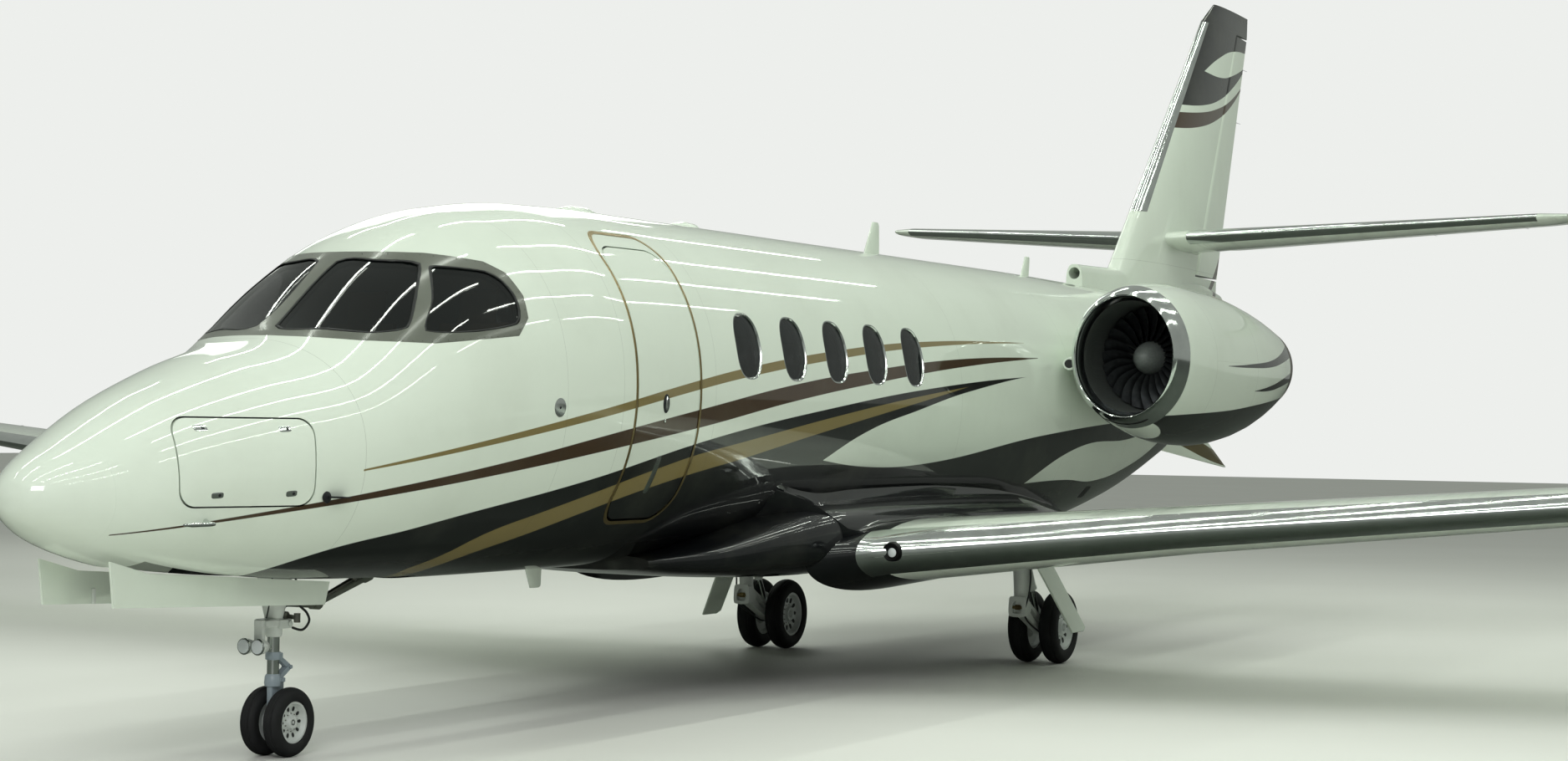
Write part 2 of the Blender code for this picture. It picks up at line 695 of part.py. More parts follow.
def make_fairing():
    fairing = fuse("belly_fairing", [fairing_form(), glove_form(1), glove_form(-1)], black())
    cut(fairing, body_tool("body_in_fairing"))
    grown = surface_loft(WING, "wing", [0.97, 1.33, 3.20], grow=FIT)
    other = surface_loft([(-row[0], *row[1:]) for row in WING[:3]][::-1], "wing", [-3.20, -1.33, -0.97],
                         grow=FIT)
    cut(fairing, add_object("wing_in_fairing_port", grown, None, helper=True))
    cut(fairing, add_object("wing_in_fairing_starboard", other, None, helper=True))
    for side in (1, -1):
        (inner, front, low), (outer, rear, high) = WHEEL_BAY
        bay = block((min(side * inner, side * outer), y_at(front), low),
                    (max(side * inner, side * outer), y_at(rear), high))
        cut(fairing, add_object(f"wheel_bay{side}", bay, None, helper=True))
    return fairing


def make_interior():
    outline = []
    for station in (2.45, CABIN_STATIONS[0], 11.0):
        outline.append((skin_x(station, FLOOR_TOP - FLOOR_THICKNESS, WALL + 0.03), y_at(station)))
    outline += [(-x, y) for x, y in reversed(outline)]
    add_object("cabin_floor", prism(outline, 2, FLOOR_TOP - FLOOR_THICKNESS, FLOOR_TOP), leather())
    tool = add_object("bulkhead_form", hull([CABIN_STATIONS[2], CABIN_STATIONS[-1]], WALL + 0.003), None,
                      helper=True)
    bulkhead = add_object("aft_bulkhead", block((-1.2, y_at(11.02), 0.5), (1.2, y_at(11.06), 3.5)),
                          leather())
    cut(bulkhead, tool, "INTERSECT")
    panel = prism([(y_at(2.02), 1.50), (y_at(2.30), 1.60), (y_at(2.42), 1.98), (y_at(2.36), 2.12),
                   (y_at(1.98), 2.16)],
                  0, -0.66, 0.66)
    dash = add_object("instrument_panel", panel, dark_metal())
    tool = add_object("panel_form", hull(COCKPIT_STATIONS[::2], WALL + 0.006), None, helper=True)
    cut(dash, tool, "INTERSECT")
    for side, word in ((1, "port"), (-1, "starboard")):
        seat = seat_shapes(side * 0.40, 3.05, FLOOR_TOP + FIT, 0.48)
        fuse(f"crew_seat_{word}", seat, leather())
        shapes = [block((side * 0.60 - 0.10, y_at(5.45), FLOOR_TOP + FIT),
                        (side * 0.60 + 0.10, y_at(8.75), FLOOR_TOP + 0.03))]
        for station in (5.85, 7.05, 8.25):
            shapes += seat_shapes(side * 0.56, station, FLOOR_TOP + 0.01, 0.50)
        fuse(f"cabin_seats_{word}", shapes, leather())


def seat_shapes(x, station, base, width):
    """Pedestal, cushion, back, headrest and arms of one seat that faces forwards."""
    w = width / 2
    y = y_at(station)
    return [
        block((x - w * 0.7, y - 0.20, base), (x + w * 0.7, y + 0.16, base + 0.30)),
        block((x - w, y - 0.28, base + 0.26), (x + w, y + 0.24, base + 0.44)),
        prism([(y + 0.14, base + 0.36), (y + 0.30, base + 0.34), (y + 0.42, base + 1.00),
               (y + 0.30, base + 1.02)],
              0, x - w, x + w),
        prism([(y + 0.27, base + 0.98), (y + 0.40, base + 0.96), (y + 0.43, base + 1.20),
               (y + 0.32, base + 1.20)],
              0, x - w * 0.55, x + w * 0.55),
    ]


# The nose baggage door. Its hinge line follows the skin along its upper edge, so it runs outwards going aft.
BAGGAGE_FRONT = 0.74
BAGGAGE_REAR = 1.46
BAGGAGE_BOTTOM = 1.40
BAGGAGE_TOP = 1.84
BAGGAGE_HINGE_OUT = 0.036


def baggage_hinge():
    """The hinge line stands just outside the skin, so that the bulge of the door's upper edge clears the nose."""
    z = BAGGAGE_TOP + MOVING_GAP / 2
    return [Vector((skin_x(station, z) + BAGGAGE_HINGE_OUT, y_at(station), z))
            for station in (BAGGAGE_FRONT, BAGGAGE_REAR)]


def baggage_tool(name, grow):
    """A plug for the baggage door, drawn out square to the hinge line."""
    start, end = baggage_hinge()
    along = (end - start).normalized()
    outward = Vector((along.y, -along.x, 0))
    middle = (start + end) / 2
    half_width = (end - start).length / 2 + grow
    half_height = (BAGGAGE_TOP - BAGGAGE_BOTTOM) / 2 + grow
    rings = []
    for depth in (-0.25, 0.25):
        ring = []
        for across, z in rounded(half_width, half_height, 0.09, (0, (BAGGAGE_TOP + BAGGAGE_BOTTOM) / 2)):
            spot = middle + along * across + outward * depth
            ring.append((spot.x, spot.y, z))
        rings.append(ring)
    return add_object(name, loft(rings), None, helper=True)


def make_baggage_door(nose):
    """A door in the port side of the nose, hinged along its upper edge."""
    cut(nose, baggage_tool("baggage_hole", MOVING_GAP))
    door = add_object("baggage_door", tube(NOSE_STATIONS, 0.030), white())
    cut(door, baggage_tool("baggage_plug", 0), "INTERSECT")


def make_engine():
    """Port engine: nacelle with a clear duct, fan, core and pylon."""
    back = NACELLE_LENGTH
    duct = DUCT_RADIUS
    outside = [(0.0, 0.495, 0.425, 0.0), (0.02, 0.520, 0.450, 0.0), (0.10, 0.552, 0.476, 0.0),
               (0.35, 0.605, 0.510, 0.010), (0.9, 0.660, 0.535, 0.040), (1.5, 0.665, 0.535, 0.060),
               (2.2, 0.610, 0.520, 0.060), (2.8, 0.510, 0.470, 0.045), (back, 0.385, 0.385, 0.020)]
    inside = [(back, 0.350, 0.350, 0.020), (2.8, 0.415, 0.415, 0.0), (2.2, duct, duct, 0.0),
              (0.45, duct, duct, 0.0), (0.16, 0.455, 0.400, 0.0), (0.04, 0.475, 0.405, 0.0)]
    centre = (NACELLE_X, y_at(NACELLE_FRONT), NACELLE_Z)
    nacelle = add_object("nacelle_port", oval_duct(outside + inside, centre, 28), white())
    core_profile = [(0.80, 0.10), (0.82, 0.17), (1.0, 0.26), (1.9, 0.27), (2.5, 0.22), (3.25, 0.10), (3.25, 0.02),
                    (0.80, 0.02)]
    shapes = [turned(core_profile, centre, (0, 1, 0), 12)]
    for i in range(6):
        angle = 2 * math.pi * i / 6
        reach = DUCT_RADIUS - 0.005
        out = Vector((math.cos(angle), 0, math.sin(angle)))
        start = Vector(centre) + Vector((0, 1.05, 0)) + out * 0.20
        end = Vector(centre) + Vector((0, 1.05, 0)) + out * reach
        shapes.append(rod(start, end, 0.02, points=8))
    core = fuse("engine_core_port", shapes, dark_metal())
    plug = add_object("core_filler", turned_solid([(0.80, 0.03), (3.25, 0.03)], centre), None, helper=True)
    cut(core, plug, "UNION")
    fan = make_fan(centre)
    pylon_points = [(p[0], p[1]) for p in aerofoil(2.2, 0.10)]
    rings = []
    for x, lead, scale in ((0.70, 11.55, 1.0), (1.45, 11.75, 0.95)):
        rings.append([(x, y_at(lead + aft * scale), NACELLE_Z - 0.06 + up * scale) for aft, up in pylon_points])
    pylon = add_object("pylon_port", loft(rings), white())
    cut(pylon, body_tool("body_in_pylon"))
    grown = [(along, tall + FIT, wide + FIT, drop) for along, tall, wide, drop in outside[1:]]
    cut(pylon, add_object("nacelle_in_pylon", loft(oval_rings(grown, centre, 28)), None, helper=True))
    return nacelle, core, fan, pylon


def oval_rings(profile, centre, points):
    """Rings round the fore and aft axis from rows of (along, half height, half width, drop of the centre)."""
    rings = []
    for along, tall, wide, drop in profile:
        ring = []
        for i in range(points):
            angle = 2 * math.pi * i / points
            ring.append((centre[0] + wide * math.cos(angle), centre[1] + along,
                         centre[2] - drop + tall * math.sin(angle)))
        rings.append(ring)
    return rings


def oval_duct(profile, centre, points):
    return loft(oval_rings(profile, centre, points), loop=True)


def turned_solid(profile, centre, points=16):
    """A solid turned about the fore and aft axis from (along, radius) rows."""
    rings = []
    for along, radius in profile:
        ring = []
        for i in range(points):
            angle = 2 * math.pi * i / points
            ring.append((centre[0] + radius * math.cos(angle), centre[1] + along,
                         centre[2] + radius * math.sin(angle)))
        rings.append(ring)
    return loft(rings)


def make_fan(centre):
    """Spinner and blades drawn out of the faces of one hub."""
    hub_points = FAN_BLADES * 2
    station = FAN_STATION - NACELLE_FRONT
    profile = [(station - 0.195, 0.030), (station - 0.175, 0.060), (station - 0.10, 0.10), (station - 0.02, 0.132),
               (station + 0.08, 0.145), (station + 0.12, 0.145)]
    bm = turned_solid(profile, centre, hub_points)
    bm.normal_update()
    bm.faces.ensure_lookup_table()
    start = Vector(centre)
    low, high = centre[1] + station - 0.01, centre[1] + station + 0.07
    picked = [face for face in bm.faces
              if len(face.verts) == 4 and low < face.calc_center_median().y < high]
    picked.sort(key=lambda face: math.atan2(face.calc_center_median().z - start.z,
                                            face.calc_center_median().x - start.x))
    faces = picked[::2]
    roots = [[vert.co.copy() for vert in face.verts] for face in faces]
    for step in range(1, BLADE_STEPS + 1):
        faces = bmesh.ops.extrude_discrete_faces(bm, faces=faces)["faces"]
        for face, root in zip(faces, roots):
            for vert, point in zip(face.verts, root):
                vert.co = blade_point(point, root, start, step / BLADE_STEPS)
    return add_object("fan_port", bm, dark_metal())


def blade_point(point, root, centre, share):
    """Where a corner of a blade's root goes at a share of the blade's length, as the blade turns and thins."""
    middle = sum(root, Vector()) / len(root)
    angle = math.atan2(middle.z - centre.z, middle.x - centre.x)
    radial = Vector((math.cos(angle), 0, math.sin(angle)))
    side = Vector((-math.sin(angle), 0, math.cos(angle)))
    offset = point - middle
    turn = BLADE_TWIST * share
    across = offset.dot(side) * (1 - 0.3 * share)
    along = offset.y * (1 + 0.15 * share)
    reach = (point - centre).dot(radial) * (1 - share) + (DUCT_RADIUS - 0.010) * share
    return (Vector((centre.x, middle.y, centre.z)) + radial * reach
            + side * (across * math.cos(turn) + along * math.sin(turn))
            + Vector((0, along * math.cos(turn) - across * math.sin(turn), 0)))


def tyre(name, x, station, radius, width, bead):
    half = width / 2
    profile = []
    for i in range(1, 8):
        angle = math.pi * i / 8
        profile.append((-half * math.cos(angle), bead + (radius - bead) * math.sin(angle) ** 0.55))
    profile = [(-half * 0.72, bead)] + profile + [(half * 0.72, bead)]
    return add_object(name, turned(profile, (x, y_at(station), radius), (1, 0, 0), WHEEL_POINTS), rubber())


def wheel_pair(name, x, station, radius, offset, width, bead, axle):
    """Two dished hubs carried by one turning axle, as one turned body."""
    half = width * 0.36
    rows = [(-half * 0.9, 0.28), (-half * 0.35, 0.32), (-half * 0.35, 0.78), (-half, 0.88), (-half, 1.0),
            (half, 1.0), (half, 0.88), (half * 0.3, 0.78), (half * 0.3, 0.30), (half * 0.8, 0.28)]
    path = [(along - offset, share * bead - (FIT if share == 1.0 else 0)) for along, share in rows]
    path.append((half * 0.8 - offset, axle))
    path += [(-along, size) for along, size in reversed(path)]
    centre = Vector((x, y_at(station), radius))
    rings = []
    for along, size in path:
        ring = []
        for i in range(WHEEL_POINTS):
            angle = 2 * math.pi * i / WHEEL_POINTS
            ring.append(centre + Vector((along, size * math.cos(angle), size * math.sin(angle))))
        rings.append(ring)
    return add_object(name, loft(rings), white())


STEER_STATION = NOSE_AXLE_STATION - 0.045
NOSE_BEAD = NOSE_TYRE_RADIUS * 0.60
MAIN_BEAD = MAIN_TYRE_RADIUS * 0.62
NOSE_AXLE_RADIUS = 0.016
MAIN_AXLE_RADIUS = 0.030
LEG_BOTTOM = 0.60
WELL_HALF_WIDTH = 0.235
WELL_FRONT = 0.72
WELL_REAR = 3.06
WELL_ROOF = 1.30
WELL_WALL = 0.012
WELL_SEAT = 0.025


def well_box(front, rear):
    """The outside of the nose wheel well's box, resting in the thickness of the skin below it."""
    half = WELL_HALF_WIDTH + WELL_WALL
    rings = []
    for station in stations_between(front, rear, 0.25):
        share = (half / smooth_curve(HALF_WIDTHS, station)) ** (1 / SECTION_POWER)
        waist = smooth_curve(WAISTS, station)
        drop = (waist - smooth_curve(KEELS, station)) * math.sqrt(1 - share * share) ** SECTION_POWER
        low = waist - drop + WELL_SEAT
        corners = ((-half, low), (half, low), (half, WELL_ROOF + WELL_WALL), (-half, WELL_ROOF + WELL_WALL))
        rings.append([(x, y_at(station), z) for x, z in corners])
    return loft(rings)


def make_nose_gear(nose, cockpit):
    y = y_at(STEER_STATION)
    shapes = [
        rod((0, y, LEG_BOTTOM), (0, y, 0.86), 0.052, 0.085),
        rod((0, y, 0.84), (0, y, 1.26), 0.085, 0.085),
        rod((-0.23, y, 1.20), (0.23, y, 1.20), 0.035),
        rod((0, y - 0.02, 0.74), (0, y - 0.13, 0.74), 0.020),
        rod((-0.075, y - 0.13, 0.74), (0.075, y - 0.13, 0.74), 0.018),
        rod((-0.075, y - 0.12, 0.74), (-0.075, y - 0.19, 0.74), 0.050, 0.060),
        rod((0.075, y - 0.12, 0.74), (0.075, y - 0.19, 0.74), 0.050, 0.060),
        rod((0.0, y + 0.05, 0.84), (0.0, y_at(WELL_REAR) - 0.03, 0.97), 0.028),
    ]
    fuse("nose_leg", shapes, steel())
    yoke = y_at(NOSE_AXLE_STATION)
    r = NOSE_TYRE_RADIUS
    shapes = [
        rod((0, y, 0.392), (0, y, LEG_BOTTOM - 0.001), 0.034),
        rod((0, y, 0.386), (0, y, 0.44), 0.046, 0.040),
        block((-0.019, y - 0.032, r + 0.005), (0.019, yoke + 0.032, 0.42)),
        rod((-0.020, yoke, r), (0.020, yoke, r), 0.038),
        prism([(y + 0.02, 0.41), (y + 0.13, 0.47), (y + 0.13, 0.49), (y + 0.02, 0.57), (y + 0.02, 0.545),
               (y + 0.09, 0.48), (y + 0.02, 0.435)], 0, -0.022, 0.022),
    ]
    fork = fuse("nose_fork", shapes, steel())
    bore = add_object("axle_bore_nose", rod((-0.1, yoke, r), (0.1, yoke, r), NOSE_AXLE_RADIUS + 0.001),
                      None, helper=True)
    cut(fork, bore)
    wheel_pair("nose_hubs", 0, NOSE_AXLE_STATION, r, NOSE_WHEEL_OFFSET, NOSE_TYRE_WIDTH, NOSE_BEAD,
               NOSE_AXLE_RADIUS)
    for side, word in ((1, "port"), (-1, "starboard")):
        tyre(f"nose_tyre_{word}", side * NOSE_WHEEL_OFFSET, NOSE_AXLE_STATION, r, NOSE_TYRE_WIDTH, NOSE_BEAD)
    cut(nose, add_object("nose_well_box", well_box(WELL_FRONT - WELL_WALL, COCKPIT_START - FIT), None,
                         helper=True), "UNION")
    cut(cockpit, add_object("cockpit_well_box", well_box(COCKPIT_START, WELL_REAR + WELL_WALL), None,
                            helper=True), "UNION")
    well = block((-WELL_HALF_WIDTH, y_at(WELL_FRONT), 0.5), (WELL_HALF_WIDTH, y_at(WELL_REAR), WELL_ROOF))
    hole = add_object("nose_well", well, None, helper=True)
    cut(nose, hole)
    cut(cockpit, hole)
    door = prism([(y_at(0.50), 0.90), (y_at(2.20), 0.83), (y_at(2.24), 0.955), (y_at(0.75), 1.06),
                  (y_at(0.47), 1.13)],
                 0, 0.222, 0.234)
    port = add_object("nose_gear_door_port", door, white())
    cut(port, body_tool("body_in_gear_door"))
    mirrored(port, "nose_gear_door_starboard")


def make_main_gear():
    x = HALF_TRACK
    r = MAIN_TYRE_RADIUS
    y_axle = y_at(MAIN_AXLE_STATION)
    y_leg = y_axle - 0.46
    shapes = [
        rod((x, y_leg, 0.46), (x, y_leg, 0.93), 0.060, 0.075),
        rod((x - 0.062, y_leg, 0.46), (x + 0.062, y_leg, 0.46), 0.055),
        rod((x, y_leg, 0.46), (x, y_axle - 0.02, r), 0.040),
        rod((x - 0.055, y_axle, r), (x + 0.055, y_axle, r), 0.062),
        rod((x, y_leg + 0.02, 0.88), (x, y_axle - 0.10, 0.36), 0.036),
        rod((x, y_leg, 0.80), (x - 0.42, y_leg - 0.02, 0.905), 0.024),
    ]
    leg = fuse("main_leg_port", shapes, steel())
    cut(leg, add_object("axle_bore_main", rod((x - 0.3, y_axle, r), (x + 0.3, y_axle, r),
                                              MAIN_AXLE_RADIUS + 0.001),
                        None, helper=True))
    grown = surface_loft(WING, "wing", [0.97, 1.33, 3.20], grow=FIT)
    cut(leg, add_object("wing_in_leg", grown, None, helper=True))
    cut(leg, add_object("fairing_in_leg", fairing_form(FIT), None, helper=True))
    hubs = wheel_pair("main_hubs_port", x, MAIN_AXLE_STATION, r, MAIN_WHEEL_OFFSET, MAIN_TYRE_WIDTH, MAIN_BEAD,
                      MAIN_AXLE_RADIUS)
    tyres = []
    for side, word in ((1, "outer"), (-1, "inner")):
        tyres.append(tyre(f"main_tyre_port_{word}", x + side * MAIN_WHEEL_OFFSET, MAIN_AXLE_STATION, r,
                          MAIN_TYRE_WIDTH, MAIN_BEAD))
    door = [(x + 0.10, y_leg - 0.12, 0.895), (x + 0.10, y_leg + 0.16, 0.895), (x + 0.34, y_leg + 0.24, 0.42),
            (x + 0.34, y_leg - 0.02, 0.42)]
    plate = [[Vector(p) for p in door], [Vector(p) + Vector((0.014, 0, 0.006)) for p in door]]
    gear_door = add_object("main_gear_door_port", loft(plate), white())
    return [(leg, "main_leg_starboard"), (hubs, "main_hubs_starboard"),
            (tyres[0], "main_tyre_starboard_outer"), (tyres[1], "main_tyre_starboard_inner"),
            (gear_door, "main_gear_door_starboard")]


def main():
    clear_scene()
    _radome, nose, cockpit, _cabin, _aft, _door = make_fuselage()
    make_glazing()
    make_baggage_door(nose)
    make_interior()
    wing, aileron, stab, elevator, fin = make_surfaces()
    cut(fin, body_tool("body_in_fin"))
    cut(wing, body_tool("body_in_wing"))
    pairs = [(wing, "wing_starboard"), (aileron, "aileron_starboard"), (stab, "stabiliser_starboard"),
             (elevator, "elevator_starboard")]
    fin_tool = surface_loft(FIN, "fin", [row[0] for row in FIN], grow=0.003)
    cut(stab, add_object("fin_in_stab", fin_tool, None, helper=True))
    cut(stab, add_object("fairing_in_stab", root_fairing_form(0.003), None, helper=True))
    make_fairing()
    nacelle, core, fan, pylon = make_engine()
    pairs += [(nacelle, "nacelle_starboard"), (core, "engine_core_starboard"), (fan, "fan_starboard"),
              (pylon, "pylon_starboard")]
    make_nose_gear(nose, cockpit)
    pairs += make_main_gear()
    ventral = prism([(y_at(15.9), 1.80), (y_at(16.16), 1.66), (y_at(18.33), 1.46), (y_at(17.70), 1.74),
                     (y_at(17.6), 2.3), (y_at(16.0), 2.3)], 0, -0.016, 0.016)
    ventral_fin = add_object("ventral_fin", ventral, white())
    cut(ventral_fin, body_tool("body_in_ventral"))
    for obj, name in pairs:
        mirrored(obj, name)


main()
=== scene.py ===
"""Looks of a twin-engined business jet parked on its landing gear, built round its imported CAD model."""
import json
import math

import bmesh
import bpy
import numpy as np
from mathutils import Matrix, Vector

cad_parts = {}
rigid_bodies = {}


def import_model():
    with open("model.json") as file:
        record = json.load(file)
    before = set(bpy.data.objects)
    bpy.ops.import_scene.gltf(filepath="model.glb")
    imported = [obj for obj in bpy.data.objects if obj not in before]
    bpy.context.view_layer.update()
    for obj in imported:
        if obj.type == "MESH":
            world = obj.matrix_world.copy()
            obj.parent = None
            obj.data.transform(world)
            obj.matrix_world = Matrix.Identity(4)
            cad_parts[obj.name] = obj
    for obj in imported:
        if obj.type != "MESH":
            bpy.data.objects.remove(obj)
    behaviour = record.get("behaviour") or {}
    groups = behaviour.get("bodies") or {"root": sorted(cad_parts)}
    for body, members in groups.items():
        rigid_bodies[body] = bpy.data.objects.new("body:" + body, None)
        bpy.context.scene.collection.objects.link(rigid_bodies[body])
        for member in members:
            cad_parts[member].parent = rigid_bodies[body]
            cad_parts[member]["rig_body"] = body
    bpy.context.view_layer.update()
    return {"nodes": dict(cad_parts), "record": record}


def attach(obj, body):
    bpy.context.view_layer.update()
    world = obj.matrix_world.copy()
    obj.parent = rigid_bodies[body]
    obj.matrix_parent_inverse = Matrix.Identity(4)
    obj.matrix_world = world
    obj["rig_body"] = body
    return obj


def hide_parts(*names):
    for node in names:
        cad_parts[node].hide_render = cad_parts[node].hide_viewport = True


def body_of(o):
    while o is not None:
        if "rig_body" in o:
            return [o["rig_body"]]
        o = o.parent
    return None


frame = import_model()


# The camera and the room.
# The photograph was taken standing ahead of the port wing, with the lens at head height.
# The floor and the paper behind are pale, and long ceiling lamps draw the thin streaks on the paint.
CAMERA_SPOT = (9.322, -19.345, 1.833)
CAMERA_YAW = math.radians(27.504)
CAMERA_PITCH = math.radians(0.976)
CAMERA_ROLL = math.radians(0.738)
FOCAL_PIXELS = 3257.975
PHOTO_WIDTH = 1876
SENSOR = 36.0


def from_hex(code):
    """An sRGB hex colour as the linear RGBA that a shader takes."""
    channels = []
    for start in (0, 2, 4):
        value = int(code[start:start + 2], 16) / 255
        channels.append(value / 12.92 if value <= 0.04045 else ((value + 0.055) / 1.055) ** 2.4)
    return (*channels, 1.0)


def add_node(tree, kind, inputs=None, **settings):
    """Adds a node, gives it its settings, and fills or links its inputs."""
    node = tree.nodes.new(kind)
    for name, value in settings.items():
        setattr(node, name, value)
    for name, value in (inputs or {}).items():
        socket = node.inputs[name]
        if isinstance(value, bpy.types.NodeSocket):
            tree.links.new(value, socket)
        else:
            socket.default_value = value
    return node


def new_material(name, **constants):
    """A material with one Principled shader, whose constant inputs are set on its own sockets."""
    material = bpy.data.materials.new(name)
    material.use_nodes = True
    shader = material.node_tree.nodes["Principled BSDF"]
    for socket, value in constants.items():
        shader.inputs[socket.replace("_", " ")].default_value = value
    return material, material.node_tree, shader


def put_mesh(name, bm, material, sharp=35):
    """An object of a closed bmesh, shaded smooth up to the given angle."""
    bmesh.ops.recalc_face_normals(bm, faces=bm.faces)
    mesh = bpy.data.meshes.new(name)
    bm.to_mesh(mesh)
    bm.free()
    obj = bpy.data.objects.new(name, mesh)
    bpy.context.scene.collection.objects.link(obj)
    mesh.shade_smooth()
    mesh.set_sharp_from_angle(angle=math.radians(sharp))
    if material:
        mesh.materials.append(material)
    return obj


def make_camera():
    data = bpy.data.cameras.new("camera")
    data.sensor_width = SENSOR
    data.lens = FOCAL_PIXELS / PHOTO_WIDTH * SENSOR
    data.clip_end = 400
    camera = bpy.data.objects.new("camera", data)
    bpy.context.scene.collection.objects.link(camera)
    ahead = Vector((-math.sin(CAMERA_YAW) * math.cos(CAMERA_PITCH), math.cos(CAMERA_YAW) * math.cos(CAMERA_PITCH),
                    math.sin(CAMERA_PITCH)))
    right = Vector((math.cos(CAMERA_YAW), math.sin(CAMERA_YAW), 0))
    up = right.cross(ahead)
    rolled_right = right * math.cos(CAMERA_ROLL) + up * math.sin(CAMERA_ROLL)
    rolled_up = up * math.cos(CAMERA_ROLL) - right * math.sin(CAMERA_ROLL)
    turn = Matrix((rolled_right, rolled_up, -ahead)).transposed()
    camera.matrix_world = Matrix.Translation(CAMERA_SPOT) @ turn.to_4x4()
    bpy.context.scene.camera = camera


make_camera()

floor_material, floor_tree, floor_shader = new_material("sealed concrete", Roughness=0.55)
floor_spot = add_node(floor_tree, "ShaderNodeTexCoord").outputs["Object"]
floor_cloud = add_node(floor_tree, "ShaderNodeTexNoise", {"Vector": floor_spot, "Scale": 0.35, "Detail": 4.0})
floor_mix = add_node(floor_tree, "ShaderNodeMix", {"Factor": floor_cloud.outputs["Fac"], "A": from_hex("F2F2EE"),
                                                   "B": from_hex("E9E9E4")}, data_type="RGBA")
# In glossy rays the floor turns dark grey-green: painted shade, so that the paint's lower sides mirror a shaded floor.
floor_shaded_in_reflections = add_node(floor_tree, "ShaderNodeMix", {"Factor": add_node(floor_tree, "ShaderNodeLightPath").outputs["Is Glossy Ray"],
                                                    "A": floor_mix.outputs["Result"], "B": from_hex("4E544D")},
                      data_type="RGBA")
floor_tree.links.new(floor_shaded_in_reflections.outputs["Result"], floor_shader.inputs["Base Color"])
floor_mesh = bmesh.new()
bmesh.ops.create_grid(floor_mesh, x_segments=8, y_segments=8, size=90)
floor = put_mesh("floor", floor_mesh, floor_material)

world = bpy.data.worlds.new("pale room")
world.use_nodes = True
bpy.context.scene.world = world
sky = world.node_tree.nodes["Background"]
sky.inputs["Color"].default_value = from_hex("E6EDE4")
sky.inputs["Strength"].default_value = 0.38
backdrop = add_node(world.node_tree, "ShaderNodeBackground", {"Color": from_hex("F6F8F5"), "Strength": 0.92})
room = add_node(world.node_tree, "ShaderNodeMixShader", {
    0: add_node(world.node_tree, "ShaderNodeLightPath").outputs["Is Camera Ray"], 1: sky.outputs[0], 2: backdrop.outputs[0]})
world.node_tree.links.new(room.outputs[0], world.node_tree.nodes["World Output"].inputs["Surface"])
bpy.context.scene.view_settings.view_transform = "Standard"


def add_lamp(name, spot, aim, size, power, colour="FFFFFF"):
    data = bpy.data.lights.new(name, "AREA")
    data.shape = "RECTANGLE"
    data.size, data.size_y = size
    data.energy = power
    data.color = from_hex(colour)[:3]
    lamp = bpy.data.objects.new(name, data)
    bpy.context.scene.collection.objects.link(lamp)
    lamp.location = spot
    lamp.rotation_euler = (Vector(aim) - Vector(spot)).to_track_quat("-Z", "Y").to_euler()
    return lamp


add_lamp("front softbox", (10, -27, 13), (0, -5, 1.5), (9, 7), 1900)
add_lamp("rear softbox", (-14, 14, 11), (0, 2, 2), (10, 8), 420, "F0F8EC")
for row, row_x in enumerate((-6.5, -2.6, 0.9, 3.4, 6.2, 9.6)):
    for run, run_y in enumerate((-12.0, -5.2, 1.6, 8.4)):
        add_lamp(f"ceiling tube {row} {run}", (row_x, run_y, 9.0), (row_x, run_y, 0), (0.10, 5.6), 60, "F7FFF3")


# The fuselage's lines.
# The real body is riveted aluminium skin over frames, drawn to smooth curves from nose to tail.
# The tables give half width, crown, keel and the height of the widest point at each station, in metres.
LENGTH = 18.97
SIDES = ((1, "port"), (-1, "starboard"))
HALF_WIDTHS = ((0, 0), (0.03, 0.10), (0.12, 0.205), (0.30, 0.33), (0.60, 0.465), (0.85, 0.55), (1.34, 0.695),
               (1.84, 0.815), (2.5, 0.925), (3.0, 0.98), (3.5, 1.02), (4.1, 1.045), (10.8, 1.045), (11.6, 1.03),
               (12.5, 0.975), (13.5, 0.88), (14.5, 0.76), (15.5, 0.61), (16.5, 0.45), (17.5, 0.28), (18.30, 0.10))
CROWNS = ((0, 1.45), (0.03, 1.53), (0.12, 1.61), (0.30, 1.71), (0.60, 1.865), (0.85, 1.98), (1.34, 2.15),
          (1.84, 2.295), (2.54, 2.765), (2.92, 2.96), (3.42, 3.10), (4.1, 3.18), (5.0, 3.20), (11.6, 3.20),
          (13.0, 3.19), (14.5, 3.17), (16.5, 3.12), (17.5, 3.06), (18.30, 2.95))
KEELS = ((0, 1.45), (0.03, 1.37), (0.12, 1.29), (0.30, 1.20), (0.60, 1.11), (0.85, 1.06), (1.34, 1.00),
         (2.0, 0.955), (3.0, 0.93), (4.0, 0.925), (11.2, 0.925), (12.2, 0.98), (13.5, 1.15), (15.0, 1.46),
         (16.5, 1.83), (17.5, 2.13), (18.30, 2.45))
WAISTS = ((0, 1.45), (0.30, 1.44), (0.85, 1.50), (1.84, 1.68), (3.0, 1.95), (4.1, 2.06), (11.6, 2.065),
          (13.5, 2.15), (15.0, 2.30), (16.5, 2.46), (18.30, 2.70))
SECTION_POWER = 2.12
HULL_POINTS = 128
WALL = 0.055
FIT = 0.0003
MOVING_GAP = 0.008


def y_at(station):
    return station - LENGTH / 2


